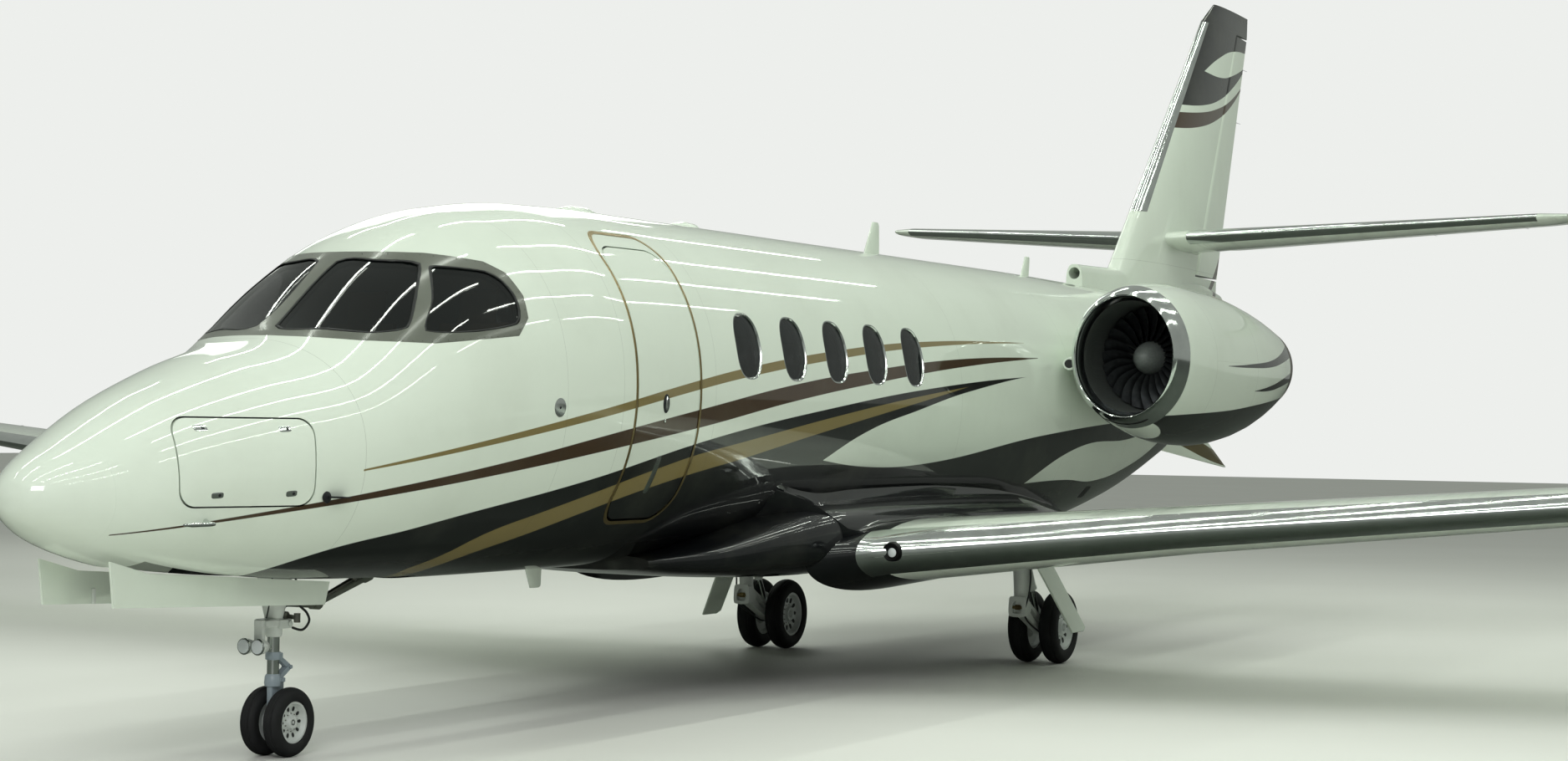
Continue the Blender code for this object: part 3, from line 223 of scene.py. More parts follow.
def smooth_curve(table, at):
    """A monotone cubic through rows of (station, value)."""
    if at <= table[0][0]:
        return table[0][1]
    if at >= table[-1][0]:
        return table[-1][1]
    slopes = [(b[1] - a[1]) / (b[0] - a[0]) for a, b in zip(table, table[1:])]
    tangents = [slopes[0]]
    for before, after in zip(slopes, slopes[1:]):
        tangents.append(0 if before * after <= 0 else 2 * before * after / (before + after))
    tangents.append(slopes[-1])
    for i, (low, high) in enumerate(zip(table, table[1:])):
        if at <= high[0]:
            break
    width = high[0] - low[0]
    t = (at - low[0]) / width
    return ((2 * t**3 - 3 * t**2 + 1) * low[1] + (t**3 - 2 * t**2 + t) * width * tangents[i]
            + (3 * t**2 - 2 * t**3) * high[1] + (t**3 - t**2) * width * tangents[i + 1])


def hull_ring(station, inset=0.0, points=HULL_POINTS):
    half = max(smooth_curve(HALF_WIDTHS, station) - inset, 0.004)
    waist = smooth_curve(WAISTS, station)
    crown = max(smooth_curve(CROWNS, station) - inset, waist + 0.004)
    keel = min(smooth_curve(KEELS, station) + inset, waist - 0.004)
    ring = []
    for i in range(points):
        sine, cosine = math.sin(2 * math.pi * i / points), math.cos(2 * math.pi * i / points)
        across = math.copysign(abs(sine) ** (2 / SECTION_POWER), sine) * half
        rise = math.copysign(abs(cosine) ** (2 / SECTION_POWER), cosine)
        ring.append((across, y_at(station), waist + rise * ((crown - waist) if rise > 0 else (waist - keel))))
    return ring


def skin_x(station, z, inset=0.0):
    """Half width of the fuselage at a height."""
    half = smooth_curve(HALF_WIDTHS, station) - inset
    waist = smooth_curve(WAISTS, station)
    reach = (smooth_curve(CROWNS, station) - inset - waist) if z >= waist else (
        waist - smooth_curve(KEELS, station) - inset)
    share = min(abs(z - waist) / reach, 1)
    return half * max(1 - share ** SECTION_POWER, 0) ** (1 / SECTION_POWER)


def loft(rings, loop=False):
    """A closed skin through rings of equally many points. With loop the last ring joins the first."""
    bm = bmesh.new()
    rows = [[bm.verts.new(point) for point in ring] for ring in rings]
    pairs = list(zip(rows, rows[1:])) + ([(rows[-1], rows[0])] if loop else [])
    for row, following in pairs:
        for i in range(len(row)):
            j = (i + 1) % len(row)
            bm.faces.new((row[i], row[j], following[j], following[i]))
    if not loop:
        bm.faces.new(rows[0][::-1])
        bm.faces.new(rows[-1])
    return bm


def spaced(start, end, step):
    count = max(1, round((end - start) / step))
    return [start + (end - start) * i / count for i in range(count + 1)]


def hull_tube(stations, wall=WALL, inset=0.0):
    outer = [hull_ring(station, inset) for station in stations]
    inner = [hull_ring(station, inset + wall, HULL_POINTS) for station in reversed(stations)]
    return loft(outer + inner, loop=True)


def prism(outline, axis, low, high):
    """An outline in the two axes other than axis, drawn out along axis."""
    def place(point, depth):
        corner = list(point)
        corner.insert(axis, depth)
        return corner
    return loft([[place(p, low) for p in outline], [place(p, high) for p in outline]])


def carve(obj, *shapes, operation="DIFFERENCE"):
    """Cuts bmesh shapes out of an object, or joins or crosses it with them, and keeps the result."""
    for shape in shapes:
        tool = put_mesh("tool", shape, None)
        modifier = obj.modifiers.new("carve", "BOOLEAN")
        modifier.operation = operation
        modifier.solver = "EXACT"
        modifier.object = tool
        graph = bpy.context.evaluated_depsgraph_get()
        mesh = bpy.data.meshes.new_from_object(obj.evaluated_get(graph))
        obj.modifiers.clear()
        old = obj.data
        obj.data = mesh
        bpy.data.meshes.remove(old)
        bpy.data.objects.remove(tool, do_unlink=True)
    return obj


FINE_STATIONS = np.linspace(0, 18.4, 3681)
FINE_LINES = [np.array([smooth_curve(table, s) for s in FINE_STATIONS])
              for table in (HALF_WIDTHS, CROWNS, KEELS, WAISTS)]


def hull_field(x, y, z):
    """How far a point is from the body's axis, as a share of the skin's distance, to the section's power."""
    half, crown, keel, waist = (np.interp(y + LENGTH / 2, FINE_STATIONS, line) for line in FINE_LINES)
    reach = np.where(z >= waist, crown - waist, waist - keel)
    return (np.abs(x) / np.maximum(half, 0.004)) ** SECTION_POWER + (np.abs(z - waist) / np.maximum(
        reach, 0.004)) ** SECTION_POWER


def follow_hull(obj, tolerance=0.93):
    """Gives the outer skin the exact normals of the body's curves, so that cut edges don't bend reflections."""
    mesh = obj.data
    mesh.shade_smooth()
    mesh.set_sharp_from_angle(angle=math.radians(32))
    spots = np.empty(len(mesh.vertices) * 3, np.float32)
    mesh.vertices.foreach_get("co", spots)
    spots = spots.reshape(-1, 3).astype(float)
    step = 0.004
    slopes = []
    for axis in range(3):
        move = np.zeros(3)
        move[axis] = step
        slopes.append(hull_field(*(spots + move).T) - hull_field(*(spots - move).T))
    normals = np.stack(slopes, axis=1)
    normals /= np.maximum(np.linalg.norm(normals, axis=1, keepdims=True), 1e-9)
    near = np.abs(hull_field(*spots.T) - 1) < 0.03
    custom = np.zeros((len(mesh.loops), 3), np.float32)
    for face in mesh.polygons:
        points = list(face.vertices)
        if not near[points].all():
            continue
        if (normals[points] @ np.array(face.normal)).min() > tolerance:
            custom[face.loop_start:face.loop_start + face.loop_total] = normals[points]
    mesh.normals_split_custom_set(custom.tolist())
    return obj


# The gloss paint of the airframe.
# Polyurethane enamel sprayed in two coats over primer, with a clear coat that is as glossy as a car's.
# It has a fine orange peel, and the riveted skin under it is wavy, which bends the ceiling lamps' reflections.
GLOSS = {"Roughness": 0.4, "Specular_IOR_Level": 0.15, "Coat_Weight": 1.0, "Coat_Roughness": 0.03, "IOR": 1.5}
PAINT_WHITE = from_hex("DDE6DA")
PAINT_BLACK = from_hex("0B0D10")
PAINT_GOLD = from_hex("7E7044")
PAINT_BROWN = from_hex("3E2C1A")
STATION_SPAN = 20
HEIGHT_SPAN = 8
EDGE = 0.003


def height_curve(tree, station, points):
    """A socket that gives the height of a curve drawn through rows of (station, height)."""
    share = add_node(tree, "ShaderNodeMath", {0: station, 1: STATION_SPAN}, operation="DIVIDE").outputs[0]
    node = add_node(tree, "ShaderNodeFloatCurve", {"Value": share})
    line = node.mapping.curves[0]
    line.points[0].location = (points[0][0] / STATION_SPAN, points[0][1] / HEIGHT_SPAN)
    line.points[1].location = (points[-1][0] / STATION_SPAN, points[-1][1] / HEIGHT_SPAN)
    for at, height in points[1:-1]:
        line.points.new(at / STATION_SPAN, height / HEIGHT_SPAN)
    node.mapping.update()
    return add_node(tree, "ShaderNodeMath", {0: node.outputs[0], 1: HEIGHT_SPAN}, operation="MULTIPLY").outputs[0]


def math_node(tree, operation, first, second=0.0, clamp=False):
    return add_node(tree, "ShaderNodeMath", {0: first, 1: second}, operation=operation, use_clamp=clamp).outputs[0]


def above(tree, height, line):
    """1 where the height is over the line, with a sprayed edge 3 mm wide."""
    gap = math_node(tree, "SUBTRACT", height, line)
    return math_node(tree, "ADD", math_node(tree, "DIVIDE", gap, EDGE), 0.5, clamp=True)


def between(tree, height, low, high):
    return math_node(tree, "MULTIPLY", above(tree, height, low), above(tree, high, height))


def ribbon(tree, station, height, middles, widths):
    """A painted stripe along a middle line, with a width at each station."""
    middle = height_curve(tree, station, middles)
    half = math_node(tree, "MULTIPLY", height_curve(tree, station, widths), 0.5)
    inside = between(tree, height, math_node(tree, "SUBTRACT", middle, half), math_node(tree, "ADD", middle, half))
    reach = between(tree, station, middles[0][0], middles[-1][0])
    return math_node(tree, "MULTIPLY", inside, reach)


def painted_over(tree, colour, mask, paint):
    return add_node(tree, "ShaderNodeMix", {"Factor": mask, "A": colour, "B": paint},
                    data_type="RGBA").outputs["Result"]


def place_sockets(tree):
    """Station, height and side distance of a point at rest, in metres, and the vector itself."""
    spot = add_node(tree, "ShaderNodeTexCoord").outputs["Object"]
    parts = add_node(tree, "ShaderNodeSeparateXYZ", {"Vector": spot})
    station = math_node(tree, "ADD", parts.outputs["Y"], LENGTH / 2)
    side = math_node(tree, "ABSOLUTE", parts.outputs["X"])
    return spot, station, parts.outputs["Z"], side


def orange_peel(tree, spot, waves=0.0016, wave_size=1.6):
    """Skin waves about 0.6 m apart under paint with a grain of some 12 mm, coarser than real so that it shows."""
    wave = add_node(tree, "ShaderNodeTexNoise", {"Vector": spot, "Scale": wave_size, "Detail": 1.0})
    grain = add_node(tree, "ShaderNodeTexNoise", {"Vector": spot, "Scale": 80.0, "Detail": 1.0})
    rough = add_node(tree, "ShaderNodeBump", {"Height": grain.outputs["Fac"], "Distance": 0.00012, "Strength": 0.5})
    return add_node(tree, "ShaderNodeBump", {"Height": wave.outputs["Fac"], "Distance": waves, "Strength": 1.0,
                                             "Normal": rough.outputs["Normal"]}).outputs["Normal"]


def grime(tree, spot, colour, amount=0.10):
    """Dust and wiped oil that dulls the paint a little in soft clouds."""
    cloud = add_node(tree, "ShaderNodeTexNoise", {"Vector": spot, "Scale": 1.1, "Detail": 6.0, "Roughness": 0.62})
    share = add_node(tree, "ShaderNodeMapRange", {"Value": cloud.outputs["Fac"], "From Min": 0.48, "From Max": 0.75,
                                                  "To Min": 0.0, "To Max": amount}).outputs["Result"]
    return painted_over(tree, colour, share, from_hex("8E8F7C"))


def seam_lines(tree, along, places, width=0.0016):
    """1 on thin sealed joints of the skin at the given places."""
    total = 0.0
    for place in places:
        gap = math_node(tree, "ABSOLUTE", math_node(tree, "SUBTRACT", along, place))
        line = math_node(tree, "SUBTRACT", 1.0, math_node(tree, "DIVIDE", gap, width), clamp=True)
        total = line if total == 0.0 else math_node(tree, "MAXIMUM", total, line)
    return total


GOLD_MIDDLE = ((1.77, 1.578), (2.76, 1.73), (3.60, 1.867), (4.83, 2.074), (5.54, 2.179), (6.87, 2.331),
               (8.27, 2.446), (10.33, 2.527))
GOLD_WIDTH = ((1.77, 0.010), (2.6, 0.030), (4.2, 0.052), (6.2, 0.060), (8.0, 0.045), (10.33, 0.002))
BROWN_MIDDLE = ((0.39, 1.264), (0.65, 1.293), (1.25, 1.367), (1.90, 1.449), (2.89, 1.58), (4.09, 1.757),
                (5.06, 1.895), (6.18, 2.056), (7.50, 2.202), (8.97, 2.33), (10.54, 2.412))
BROWN_WIDTH = ((0.39, 0.006), (0.65, 0.010), (1.25, 0.022), (2.0, 0.040), (2.9, 0.063), (4.0, 0.098),
               (5.0, 0.115), (6.2, 0.110), (7.5, 0.092), (9.0, 0.060), (10.54, 0.005))
BLACK_TOP = ((1.30, 0.86), (1.61, 1.102), (2.37, 1.263), (3.77, 1.50), (5.11, 1.748), (6.81, 1.969),
             (8.62, 2.147), (10.7, 2.274), (11.4, 2.29), (15.6, 2.29))
BAND_MIDDLE = ((2.72, 0.94), (2.84, 1.006), (3.03, 1.123), (3.49, 1.258), (4.71, 1.541), (5.69, 1.695),
               (6.83, 1.866), (9.08, 2.155))
BAND_WIDTH = ((2.72, 0.15), (3.2, 0.14), (4.1, 0.115), (5.2, 0.12), (6.5, 0.09), (8.0, 0.05), (9.08, 0.0))
LEAF_HIGH = ((6.77, 1.608), (7.37, 1.812), (8.18, 1.968), (9.08, 2.117), (10.9, 2.30), (15.6, 2.33))
LEAF_LOW = ((6.77, 1.608), (7.54, 1.557), (8.37, 1.569), (10.66, 1.793), (12.53, 1.907), (14.8, 1.93), (15.6, 1.93))
BELLY_HIGH = ((10.6, 1.40), (11.49, 1.69), (12.92, 1.762), (14.8, 1.93), (15.6, 1.94))
BELLY_LOW = ((10.6, 1.40), (11.49, 1.42), (12.3, 1.40), (13.4, 1.52), (14.4, 1.76), (14.8, 1.93), (15.6, 1.94))
SKIN_JOINTS = (1.78, 3.42, 4.0, 5.12, 8.95, 11.2, 12.9, 14.6, 16.1)

BAY_STATIONS = (0.722, 3.058)
BAY_SIDE = 0.2345
BAY_TOP = 1.305
body_paint, body_tree, body_shader = new_material("gloss polyurethane paint of the body", **GLOSS)
spot, station, height, side = place_sockets(body_tree)
black_field = between(body_tree, station, 1.3, 15.2)
black_field = math_node(body_tree, "MULTIPLY", black_field,
                        above(body_tree, height_curve(body_tree, station, BLACK_TOP), height))
for low, high, first, last in ((LEAF_LOW, LEAF_HIGH, 6.77, 15.6), (BELLY_LOW, BELLY_HIGH, 10.6, 15.6)):
    leaf = between(body_tree, height, height_curve(body_tree, station, low), height_curve(body_tree, station, high))
    leaf = math_node(body_tree, "MULTIPLY", leaf, between(body_tree, station, first, last))
    black_field = math_node(body_tree, "MULTIPLY", black_field, math_node(body_tree, "SUBTRACT", 1.0, leaf))
colour = painted_over(body_tree, PAINT_WHITE, black_field, PAINT_BLACK)
colour = painted_over(body_tree, colour, ribbon(body_tree, station, height, BAND_MIDDLE, BAND_WIDTH), PAINT_GOLD)
colour = painted_over(body_tree, colour, ribbon(body_tree, station, height, BROWN_MIDDLE, BROWN_WIDTH), PAINT_BROWN)
colour = painted_over(body_tree, colour, ribbon(body_tree, station, height, GOLD_MIDDLE, GOLD_WIDTH), PAINT_GOLD)
joints = seam_lines(body_tree, station, SKIN_JOINTS)
colour = painted_over(body_tree, grime(body_tree, spot, colour), math_node(body_tree, "MULTIPLY", joints, 0.55),
                      from_hex("3A3D38"))
# The inside of the nose wheel well is painted near black: partly its dark primer, partly painted shade for the shadowed
# hollow.
painted_well_shade = math_node(body_tree, "MULTIPLY", between(body_tree, station, *BAY_STATIONS),
                math_node(body_tree, "MULTIPLY", above(body_tree, BAY_SIDE, side), above(body_tree, BAY_TOP, height)))
colour = painted_over(body_tree, colour, painted_well_shade, from_hex("23282A"))
body_tree.links.new(colour, body_shader.inputs["Base Color"])
body_tree.links.new(orange_peel(body_tree, spot), body_shader.inputs["Normal"])


# The fuselage shells.
# Radome, nose, cockpit, cabin, rear body and tail cone are separate barrels, butted at sealed joints.
# Each is a wall of skin, frame and liner, open inside, with its door and window openings cut through.
RADOME_END = 0.36
COCKPIT_START = 1.78
CABIN_START = 4.00
AFT_START = 11.20
CONE_START = 16.10
TAIL_END = 18.29
RADOME_STATIONS = [0.004, 0.010, 0.02, 0.03, 0.045, 0.06, 0.08, 0.10, 0.13, 0.16, 0.20, 0.25, 0.30, RADOME_END - FIT]
NOSE_STATIONS = spaced(RADOME_END, COCKPIT_START - FIT, 0.10)
COCKPIT_STATIONS = spaced(COCKPIT_START, CABIN_START - FIT, 0.09)
CABIN_STATIONS = spaced(CABIN_START, 5.1, 0.16) + spaced(5.5, AFT_START - FIT, 0.71)
AFT_STATIONS = spaced(AFT_START, CONE_START - FIT, 0.22)
CONE_STATIONS = spaced(CONE_START, TAIL_END, 0.14)
DOOR_FRONT = 4.17
DOOR_REAR = 4.90
DOOR_BOTTOM = 1.26
DOOR_TOP = 2.92
DOOR_GAP = 0.010
DOOR_TAPER = 0.22
WINDOW_STATIONS = (5.59, 6.23, 6.86, 7.49, 8.12)
WINDOW_HEIGHT = 2.35
WINDOW_HALF_WIDTH = 0.172
WINDOW_HALF_HEIGHT = 0.215
FRAME_BAND = ((1.70, 2.30), (1.88, 2.285), (2.05, 2.268), (2.40, 2.262), (3.03, 2.325), (3.15, 2.43), (3.18, 2.56),
              (3.14, 2.69), (3.04, 2.75), (2.76, 2.785), (2.45, 2.790), (1.70, 2.790))
BAGGAGE_FRONT = 0.74
BAGGAGE_REAR = 1.46
BAGGAGE_BOTTOM = 1.40
BAGGAGE_TOP = 1.84
WELL_HALF_WIDTH = 0.235
WELL_FRONT = 0.72
WELL_REAR = 3.06
WELL_ROOF = 1.30
WELL_WALL = 0.012
WELL_SEAT = 0.025


def rounded(half_width, half_height, radius, centre=(0, 0), points=10):
    """A rectangle with round corners, as a list of points."""
    outline = []
    for corner, (sx, sy) in enumerate(((1, 1), (-1, 1), (-1, -1), (1, -1))):
        for i in range(points):
            angle = math.pi / 2 * (corner + i / (points - 1))
            outline.append((centre[0] + sx * (half_width - radius) + radius * math.cos(angle),
                            centre[1] + sy * (half_height - radius) + radius * math.sin(angle)))
    return outline


def oval(half_width, half_height, power, centre, points=40):
    outline = []
    for i in range(points):
        sine, cosine = math.sin(2 * math.pi * i / points), math.cos(2 * math.pi * i / points)
        outline.append((centre[0] + half_width * math.copysign(abs(cosine) ** (2 / power), cosine),
                        centre[1] + half_height * math.copysign(abs(sine) ** (2 / power), sine)))
    return outline


def block(low, high):
    outline = [(low[0], low[1]), (high[0], low[1]), (high[0], high[1]), (low[0], high[1])]
    return prism(outline, 2, low[2], high[2])


def curved_outline(points, steps=5):
    """A closed outline rounded through its corners."""
    outline = []
    count = len(points)
    for i in range(count):
        a, b, c, d = (np.array(points[(i + k) % count], float) for k in (-1, 0, 1, 2))
        for step in range(steps):
            t = step / steps
            spot = 0.5 * (2 * b + (c - a) * t + (2 * a - 5 * b + 4 * c - d) * t**2 + (3 * b - a - 3 * c + d) * t**3)
            outline.append((0.6 * spot + 0.4 * ((1 - t) * b + t * c)).tolist())
    return outline


def door_shape(grow):
    """The cabin door's plug, which widens outwards at the top so that it swings clear."""
    rings = []
    for x in (0.25, 1.35):
        rise = DOOR_TAPER * (x - 0.75)
        outline = rounded((DOOR_REAR - DOOR_FRONT) / 2 + grow + 0.01 * (x - 0.75),
                          (DOOR_TOP - DOOR_BOTTOM + rise) / 2 + grow, 0.17,
                          (y_at((DOOR_FRONT + DOOR_REAR) / 2), (DOOR_BOTTOM + DOOR_TOP + rise) / 2))
        rings.append([(x, y, z) for y, z in outline])
    return loft(rings)


def baggage_shape(grow):
    """The nose baggage door's plug, square to its hinge line along the upper edge."""
    z = BAGGAGE_TOP + MOVING_GAP / 2
    start, end = (Vector((skin_x(s, z) + 0.036, y_at(s), z)) for s in (BAGGAGE_FRONT, BAGGAGE_REAR))
    along = (end - start).normalized()
    outward = Vector((along.y, -along.x, 0))
    rings = []
    for depth in (-0.25, 0.25):
        ring = []
        for across, up in rounded((end - start).length / 2 + grow, (BAGGAGE_TOP - BAGGAGE_BOTTOM) / 2 + grow, 0.09,
                                  (0, (BAGGAGE_TOP + BAGGAGE_BOTTOM) / 2)):
            point = (start + end) / 2 + along * across + outward * depth
            ring.append((point.x, point.y, up))
        rings.append(ring)
    return loft(rings)


def well_shape(front, rear):
    """The outside of the nose wheel well's box."""
    half = WELL_HALF_WIDTH + WELL_WALL
    rings = []
    for at in spaced(front, rear, 0.25):
        share = (half / smooth_curve(HALF_WIDTHS, at)) ** SECTION_POWER
        waist = smooth_curve(WAISTS, at)
        low = waist - (waist - smooth_curve(KEELS, at)) * (1 - share) ** (1 / SECTION_POWER) + WELL_SEAT
        rings.append([(x, y_at(at), z) for x, z in ((-half, low), (half, low), (half, WELL_ROOF + WELL_WALL),
                                                    (-half, WELL_ROOF + WELL_WALL))])
    return loft(rings)


def window_shape(at, side, grow, points=40):
    outline = oval(WINDOW_HALF_WIDTH + grow, WINDOW_HALF_HEIGHT + grow, 2.6, (y_at(at), WINDOW_HEIGHT), points)
    return prism(outline, 0, *((0.7, 1.3) if side > 0 else (-1.3, -0.7)))


def put_on(obj, slot, *nodes):
    """The object stands for CAD nodes and moves with the body of the first one."""
    for body, members in frame["record"]["behaviour"]["bodies"].items():
        if nodes[0] in members:
            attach(obj, body)
    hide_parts(*nodes)
    return obj


well_hole = ((-WELL_HALF_WIDTH, y_at(WELL_FRONT), 0.5), (WELL_HALF_WIDTH, y_at(WELL_REAR), WELL_ROOF))
frame_hole = [(y_at(at), z) for at, z in FRAME_BAND]

radome = put_mesh("nose_cone", loft([hull_ring(at) for at in RADOME_STATIONS]), body_paint)
put_on(follow_hull(radome), "white_paint", "radome")

nose = put_mesh("nose_barrel", hull_tube(NOSE_STATIONS), body_paint)
carve(nose, baggage_shape(MOVING_GAP))
carve(nose, well_shape(WELL_FRONT - WELL_WALL, COCKPIT_START - FIT), operation="UNION")
carve(nose, block(*well_hole))
put_on(follow_hull(nose), "white_paint", "nose_section")

baggage_door = put_mesh("nose_baggage_hatch", hull_tube(NOSE_STATIONS, 0.030), body_paint)
carve(baggage_door, baggage_shape(0), operation="INTERSECT")
put_on(follow_hull(baggage_door), "white_paint", "baggage_door")

cockpit = put_mesh("cockpit_barrel", hull_tube(COCKPIT_STATIONS), body_paint)
carve(cockpit, prism(frame_hole, 0, -1.2, 1.2))
carve(cockpit, well_shape(COCKPIT_START, WELL_REAR + WELL_WALL), operation="UNION")
carve(cockpit, block(*well_hole))
put_on(follow_hull(cockpit), "white_paint", "cockpit_shell")

cabin = put_mesh("cabin_barrel", hull_tube(CABIN_STATIONS), body_paint)
carve(cabin, door_shape(DOOR_GAP))
for side_sign, _word in SIDES:
    for at in WINDOW_STATIONS:
        carve(cabin, window_shape(at, side_sign, FIT))
put_on(follow_hull(cabin), "white_paint", "cabin_shell")

rear_body = put_mesh("rear_barrel", hull_tube(AFT_STATIONS), body_paint)
put_on(follow_hull(rear_body), "white_paint", "aft_fuselage")

cone = put_mesh("tail_fairing", loft([hull_ring(at) for at in CONE_STATIONS]), body_paint)
put_on(follow_hull(cone), "white_paint", "tail_cone")


# The cabin door.
# A plug door of the same skin, hinged along its sill to swing down as a stair, with a bronze seal plate round it.
# Its gap, its handle in an oval cup and a pale scuff strip by the latch are what shows from outside.
STEP_HEIGHTS = (1.52, 1.80, 2.08)
STEP_DEPTH = 0.13
STEP_HALF_WIDTH = 0.24
cabin_door = put_mesh("boarding_door", hull_tube(spaced(DOOR_FRONT - 0.1, DOOR_REAR + 0.1, 0.12)), body_paint)
carve(cabin_door, door_shape(0), operation="INTERSECT")
door_middle = y_at((DOOR_FRONT + DOOR_REAR) / 2)
for tread_z in STEP_HEIGHTS:
    inner = skin_x(DOOR_FRONT, tread_z, WALL)
    carve(cabin_door, block((inner - STEP_DEPTH, door_middle - STEP_HALF_WIDTH, tread_z),
                            (inner + 0.02, door_middle + STEP_HALF_WIDTH, tread_z + 0.04)), operation="UNION")
put_on(follow_hull(cabin_door), "white_paint", "cabin_door")

bronze, bronze_tree, bronze_shader = new_material("bronze anodised seal plate", Metallic=0.85, Roughness=0.38)
bronze_spot = add_node(bronze_tree, "ShaderNodeTexCoord").outputs["Object"]
bronze_cloud = add_node(bronze_tree, "ShaderNodeTexNoise", {"Vector": bronze_spot, "Scale": 7.0, "Detail": 5.0})
bronze_tree.links.new(painted_over(bronze_tree, from_hex("7A6A45"), bronze_cloud.outputs["Fac"], from_hex("A08E63")),
                      bronze_shader.inputs["Base Color"])


def skin_band(name, outline, inner, lift, depth, material, side=1):
    """A closed ring that lies on the body's skin, between two outlines in (station, height)."""
    rings = []
    for points, up in ((outline, lift), (inner, lift), (inner, -depth), (outline, -depth)):
        rings.append([(side * (skin_x(at, z) + up), y_at(at), z) for at, z in points])
    return put_mesh(name, loft(rings, loop=True), material)


SIDE_STEPS = 24


def door_outline(grow):
    rise = DOOR_TAPER * 0.28
    corners = [(y + LENGTH / 2, z) for y, z in rounded((DOOR_REAR - DOOR_FRONT) / 2 + grow, (DOOR_TOP - DOOR_BOTTOM
               + rise) / 2 + grow, 0.17 + max(grow, 0), (door_middle, (DOOR_BOTTOM + DOOR_TOP + rise) / 2), 14)]
    filled = []
    for (at, z), (next_at, next_z) in zip(corners, corners[1:] + corners[:1]):
        steps = SIDE_STEPS if math.hypot(next_at - at, next_z - z) > 0.1 else 1
        filled += [(at + (next_at - at) * k / steps, z + (next_z - z) * k / steps) for k in range(steps)]
    return filled


door_ring = skin_band("door_seal_plate", door_outline(0.034), door_outline(DOOR_GAP + 0.004), 0.003, 0.012, bronze)
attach(door_ring, "airframe")

chrome, chrome_tree, chrome_shader = new_material("polished aluminium", Metallic=1.0, Roughness=0.09)
chrome_spot = add_node(chrome_tree, "ShaderNodeTexCoord").outputs["Object"]
chrome_haze = add_node(chrome_tree, "ShaderNodeTexNoise", {"Vector": chrome_spot, "Scale": 9.0, "Detail": 6.0})
chrome_tree.links.new(painted_over(chrome_tree, from_hex("C9CECB"), chrome_haze.outputs["Fac"], from_hex("E6EAE8")),
                      chrome_shader.inputs["Base Color"])
chrome_rough = add_node(chrome_tree, "ShaderNodeMapRange", {"Value": chrome_haze.outputs["Fac"], "To Min": 0.06,
                                                            "To Max": 0.20}).outputs["Result"]
chrome_tree.links.new(chrome_rough, chrome_shader.inputs["Roughness"])

dark_cup, cup_tree, cup_shader = new_material("black anodised aluminium", Metallic=0.3, Roughness=0.42)
cup_spot = add_node(cup_tree, "ShaderNodeTexCoord").outputs["Object"]
cup_cloud = add_node(cup_tree, "ShaderNodeTexNoise", {"Vector": cup_spot, "Scale": 40.0, "Detail": 3.0})
cup_tree.links.new(painted_over(cup_tree, from_hex("15171A"), cup_cloud.outputs["Fac"], from_hex("2A2D30")),
                   cup_shader.inputs["Base Color"])


def skin_pad(name, at, z, half_width, half_height, lift, material, side=1, power=2.0, body="airframe", turn=0.0):
    """A thin plate with an oval or round-cornered outline that lies on the body's skin."""
    outline = oval(half_width, half_height, power, (0, 0), 28)
    rings = []
    for share, up in ((1.0, -0.004), (1.0, lift * 0.6), (0.86, lift), (0.25, lift)):
        ring = []
        for a, b in outline:
            along = at + share * (a * math.cos(turn) - b * math.sin(turn))
            height = z + share * (a * math.sin(turn) + b * math.cos(turn))
            ring.append((side * (skin_x(along, height) + up), y_at(along), height))
        rings.append(ring)
    pad = put_mesh(name, loft(rings), material)
    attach(pad, body)
    return pad


skin_pad("door_handle_cup", 4.50, 1.965, 0.038, 0.058, 0.002, dark_cup, body="cabin_door")
skin_pad("door_handle", 4.50, 1.968, 0.011, 0.044, 0.010, chrome, body="cabin_door")
skin_pad("door_latch_strip", 4.52, 1.53, 0.028, 0.115, 0.0016, chrome, power=5, body="cabin_door", turn=-0.05)
skin_pad("door_lock", 4.50, 1.86, 0.013, 0.013, 0.003, chrome, body="cabin_door")
for number, (at, z) in enumerate(((1.302, 1.790), (0.86, 1.790), (1.317, 1.46), (0.88, 1.455))):
    skin_pad(f"baggage_latch_{number}", at, z, 0.034, 0.015, 0.0016, chrome, power=4, body="baggage_door", turn=0.06)
    skin_pad(f"baggage_latch_button_{number}", at + 0.012, z, 0.008, 0.008, 0.0034, dark_cup, body="baggage_door")


# The windscreen and the cockpit's side windows.
# Thick laminated panes sit in a painted metal frame that wraps over the nose like a mask.
# Rows of countersunk screws hold the frame's edge, and a dark gasket runs round each pane.
FRONT_PANE = ((0.06, 2.345), (0.06, 2.730), (0.30, 2.740), (0.495, 2.722), (0.618, 2.52), (0.682, 2.345),
              (0.57, 2.310), (0.35, 2.325))
SIDE_PANE = ((2.385, 2.330), (2.70, 2.335), (3.04, 2.390), (3.105, 2.47), (3.115, 2.56), (3.08, 2.645), (3.00, 2.695),
             (2.74, 2.712), (2.68, 2.69), (2.53, 2.50))
PANE_SET_BACK = 0.008

frame_paint, mask_tree, mask_shader = new_material("taupe enamel on the windscreen frame", Roughness=0.38,
                                                   Coat_Weight=0.5, Coat_Roughness=0.12)
mask_spot, mask_station, mask_height, mask_side = place_sockets(mask_tree)
mask_cloud = add_node(mask_tree, "ShaderNodeTexNoise", {"Vector": mask_spot, "Scale": 5.0, "Detail": 5.0})
mask_tree.links.new(painted_over(mask_tree, from_hex("4A4E44"), mask_cloud.outputs["Fac"], from_hex("5E6257")),
                    mask_shader.inputs["Base Color"])
mask_tree.links.new(orange_peel(mask_tree, mask_spot, 0.0006), mask_shader.inputs["Normal"])

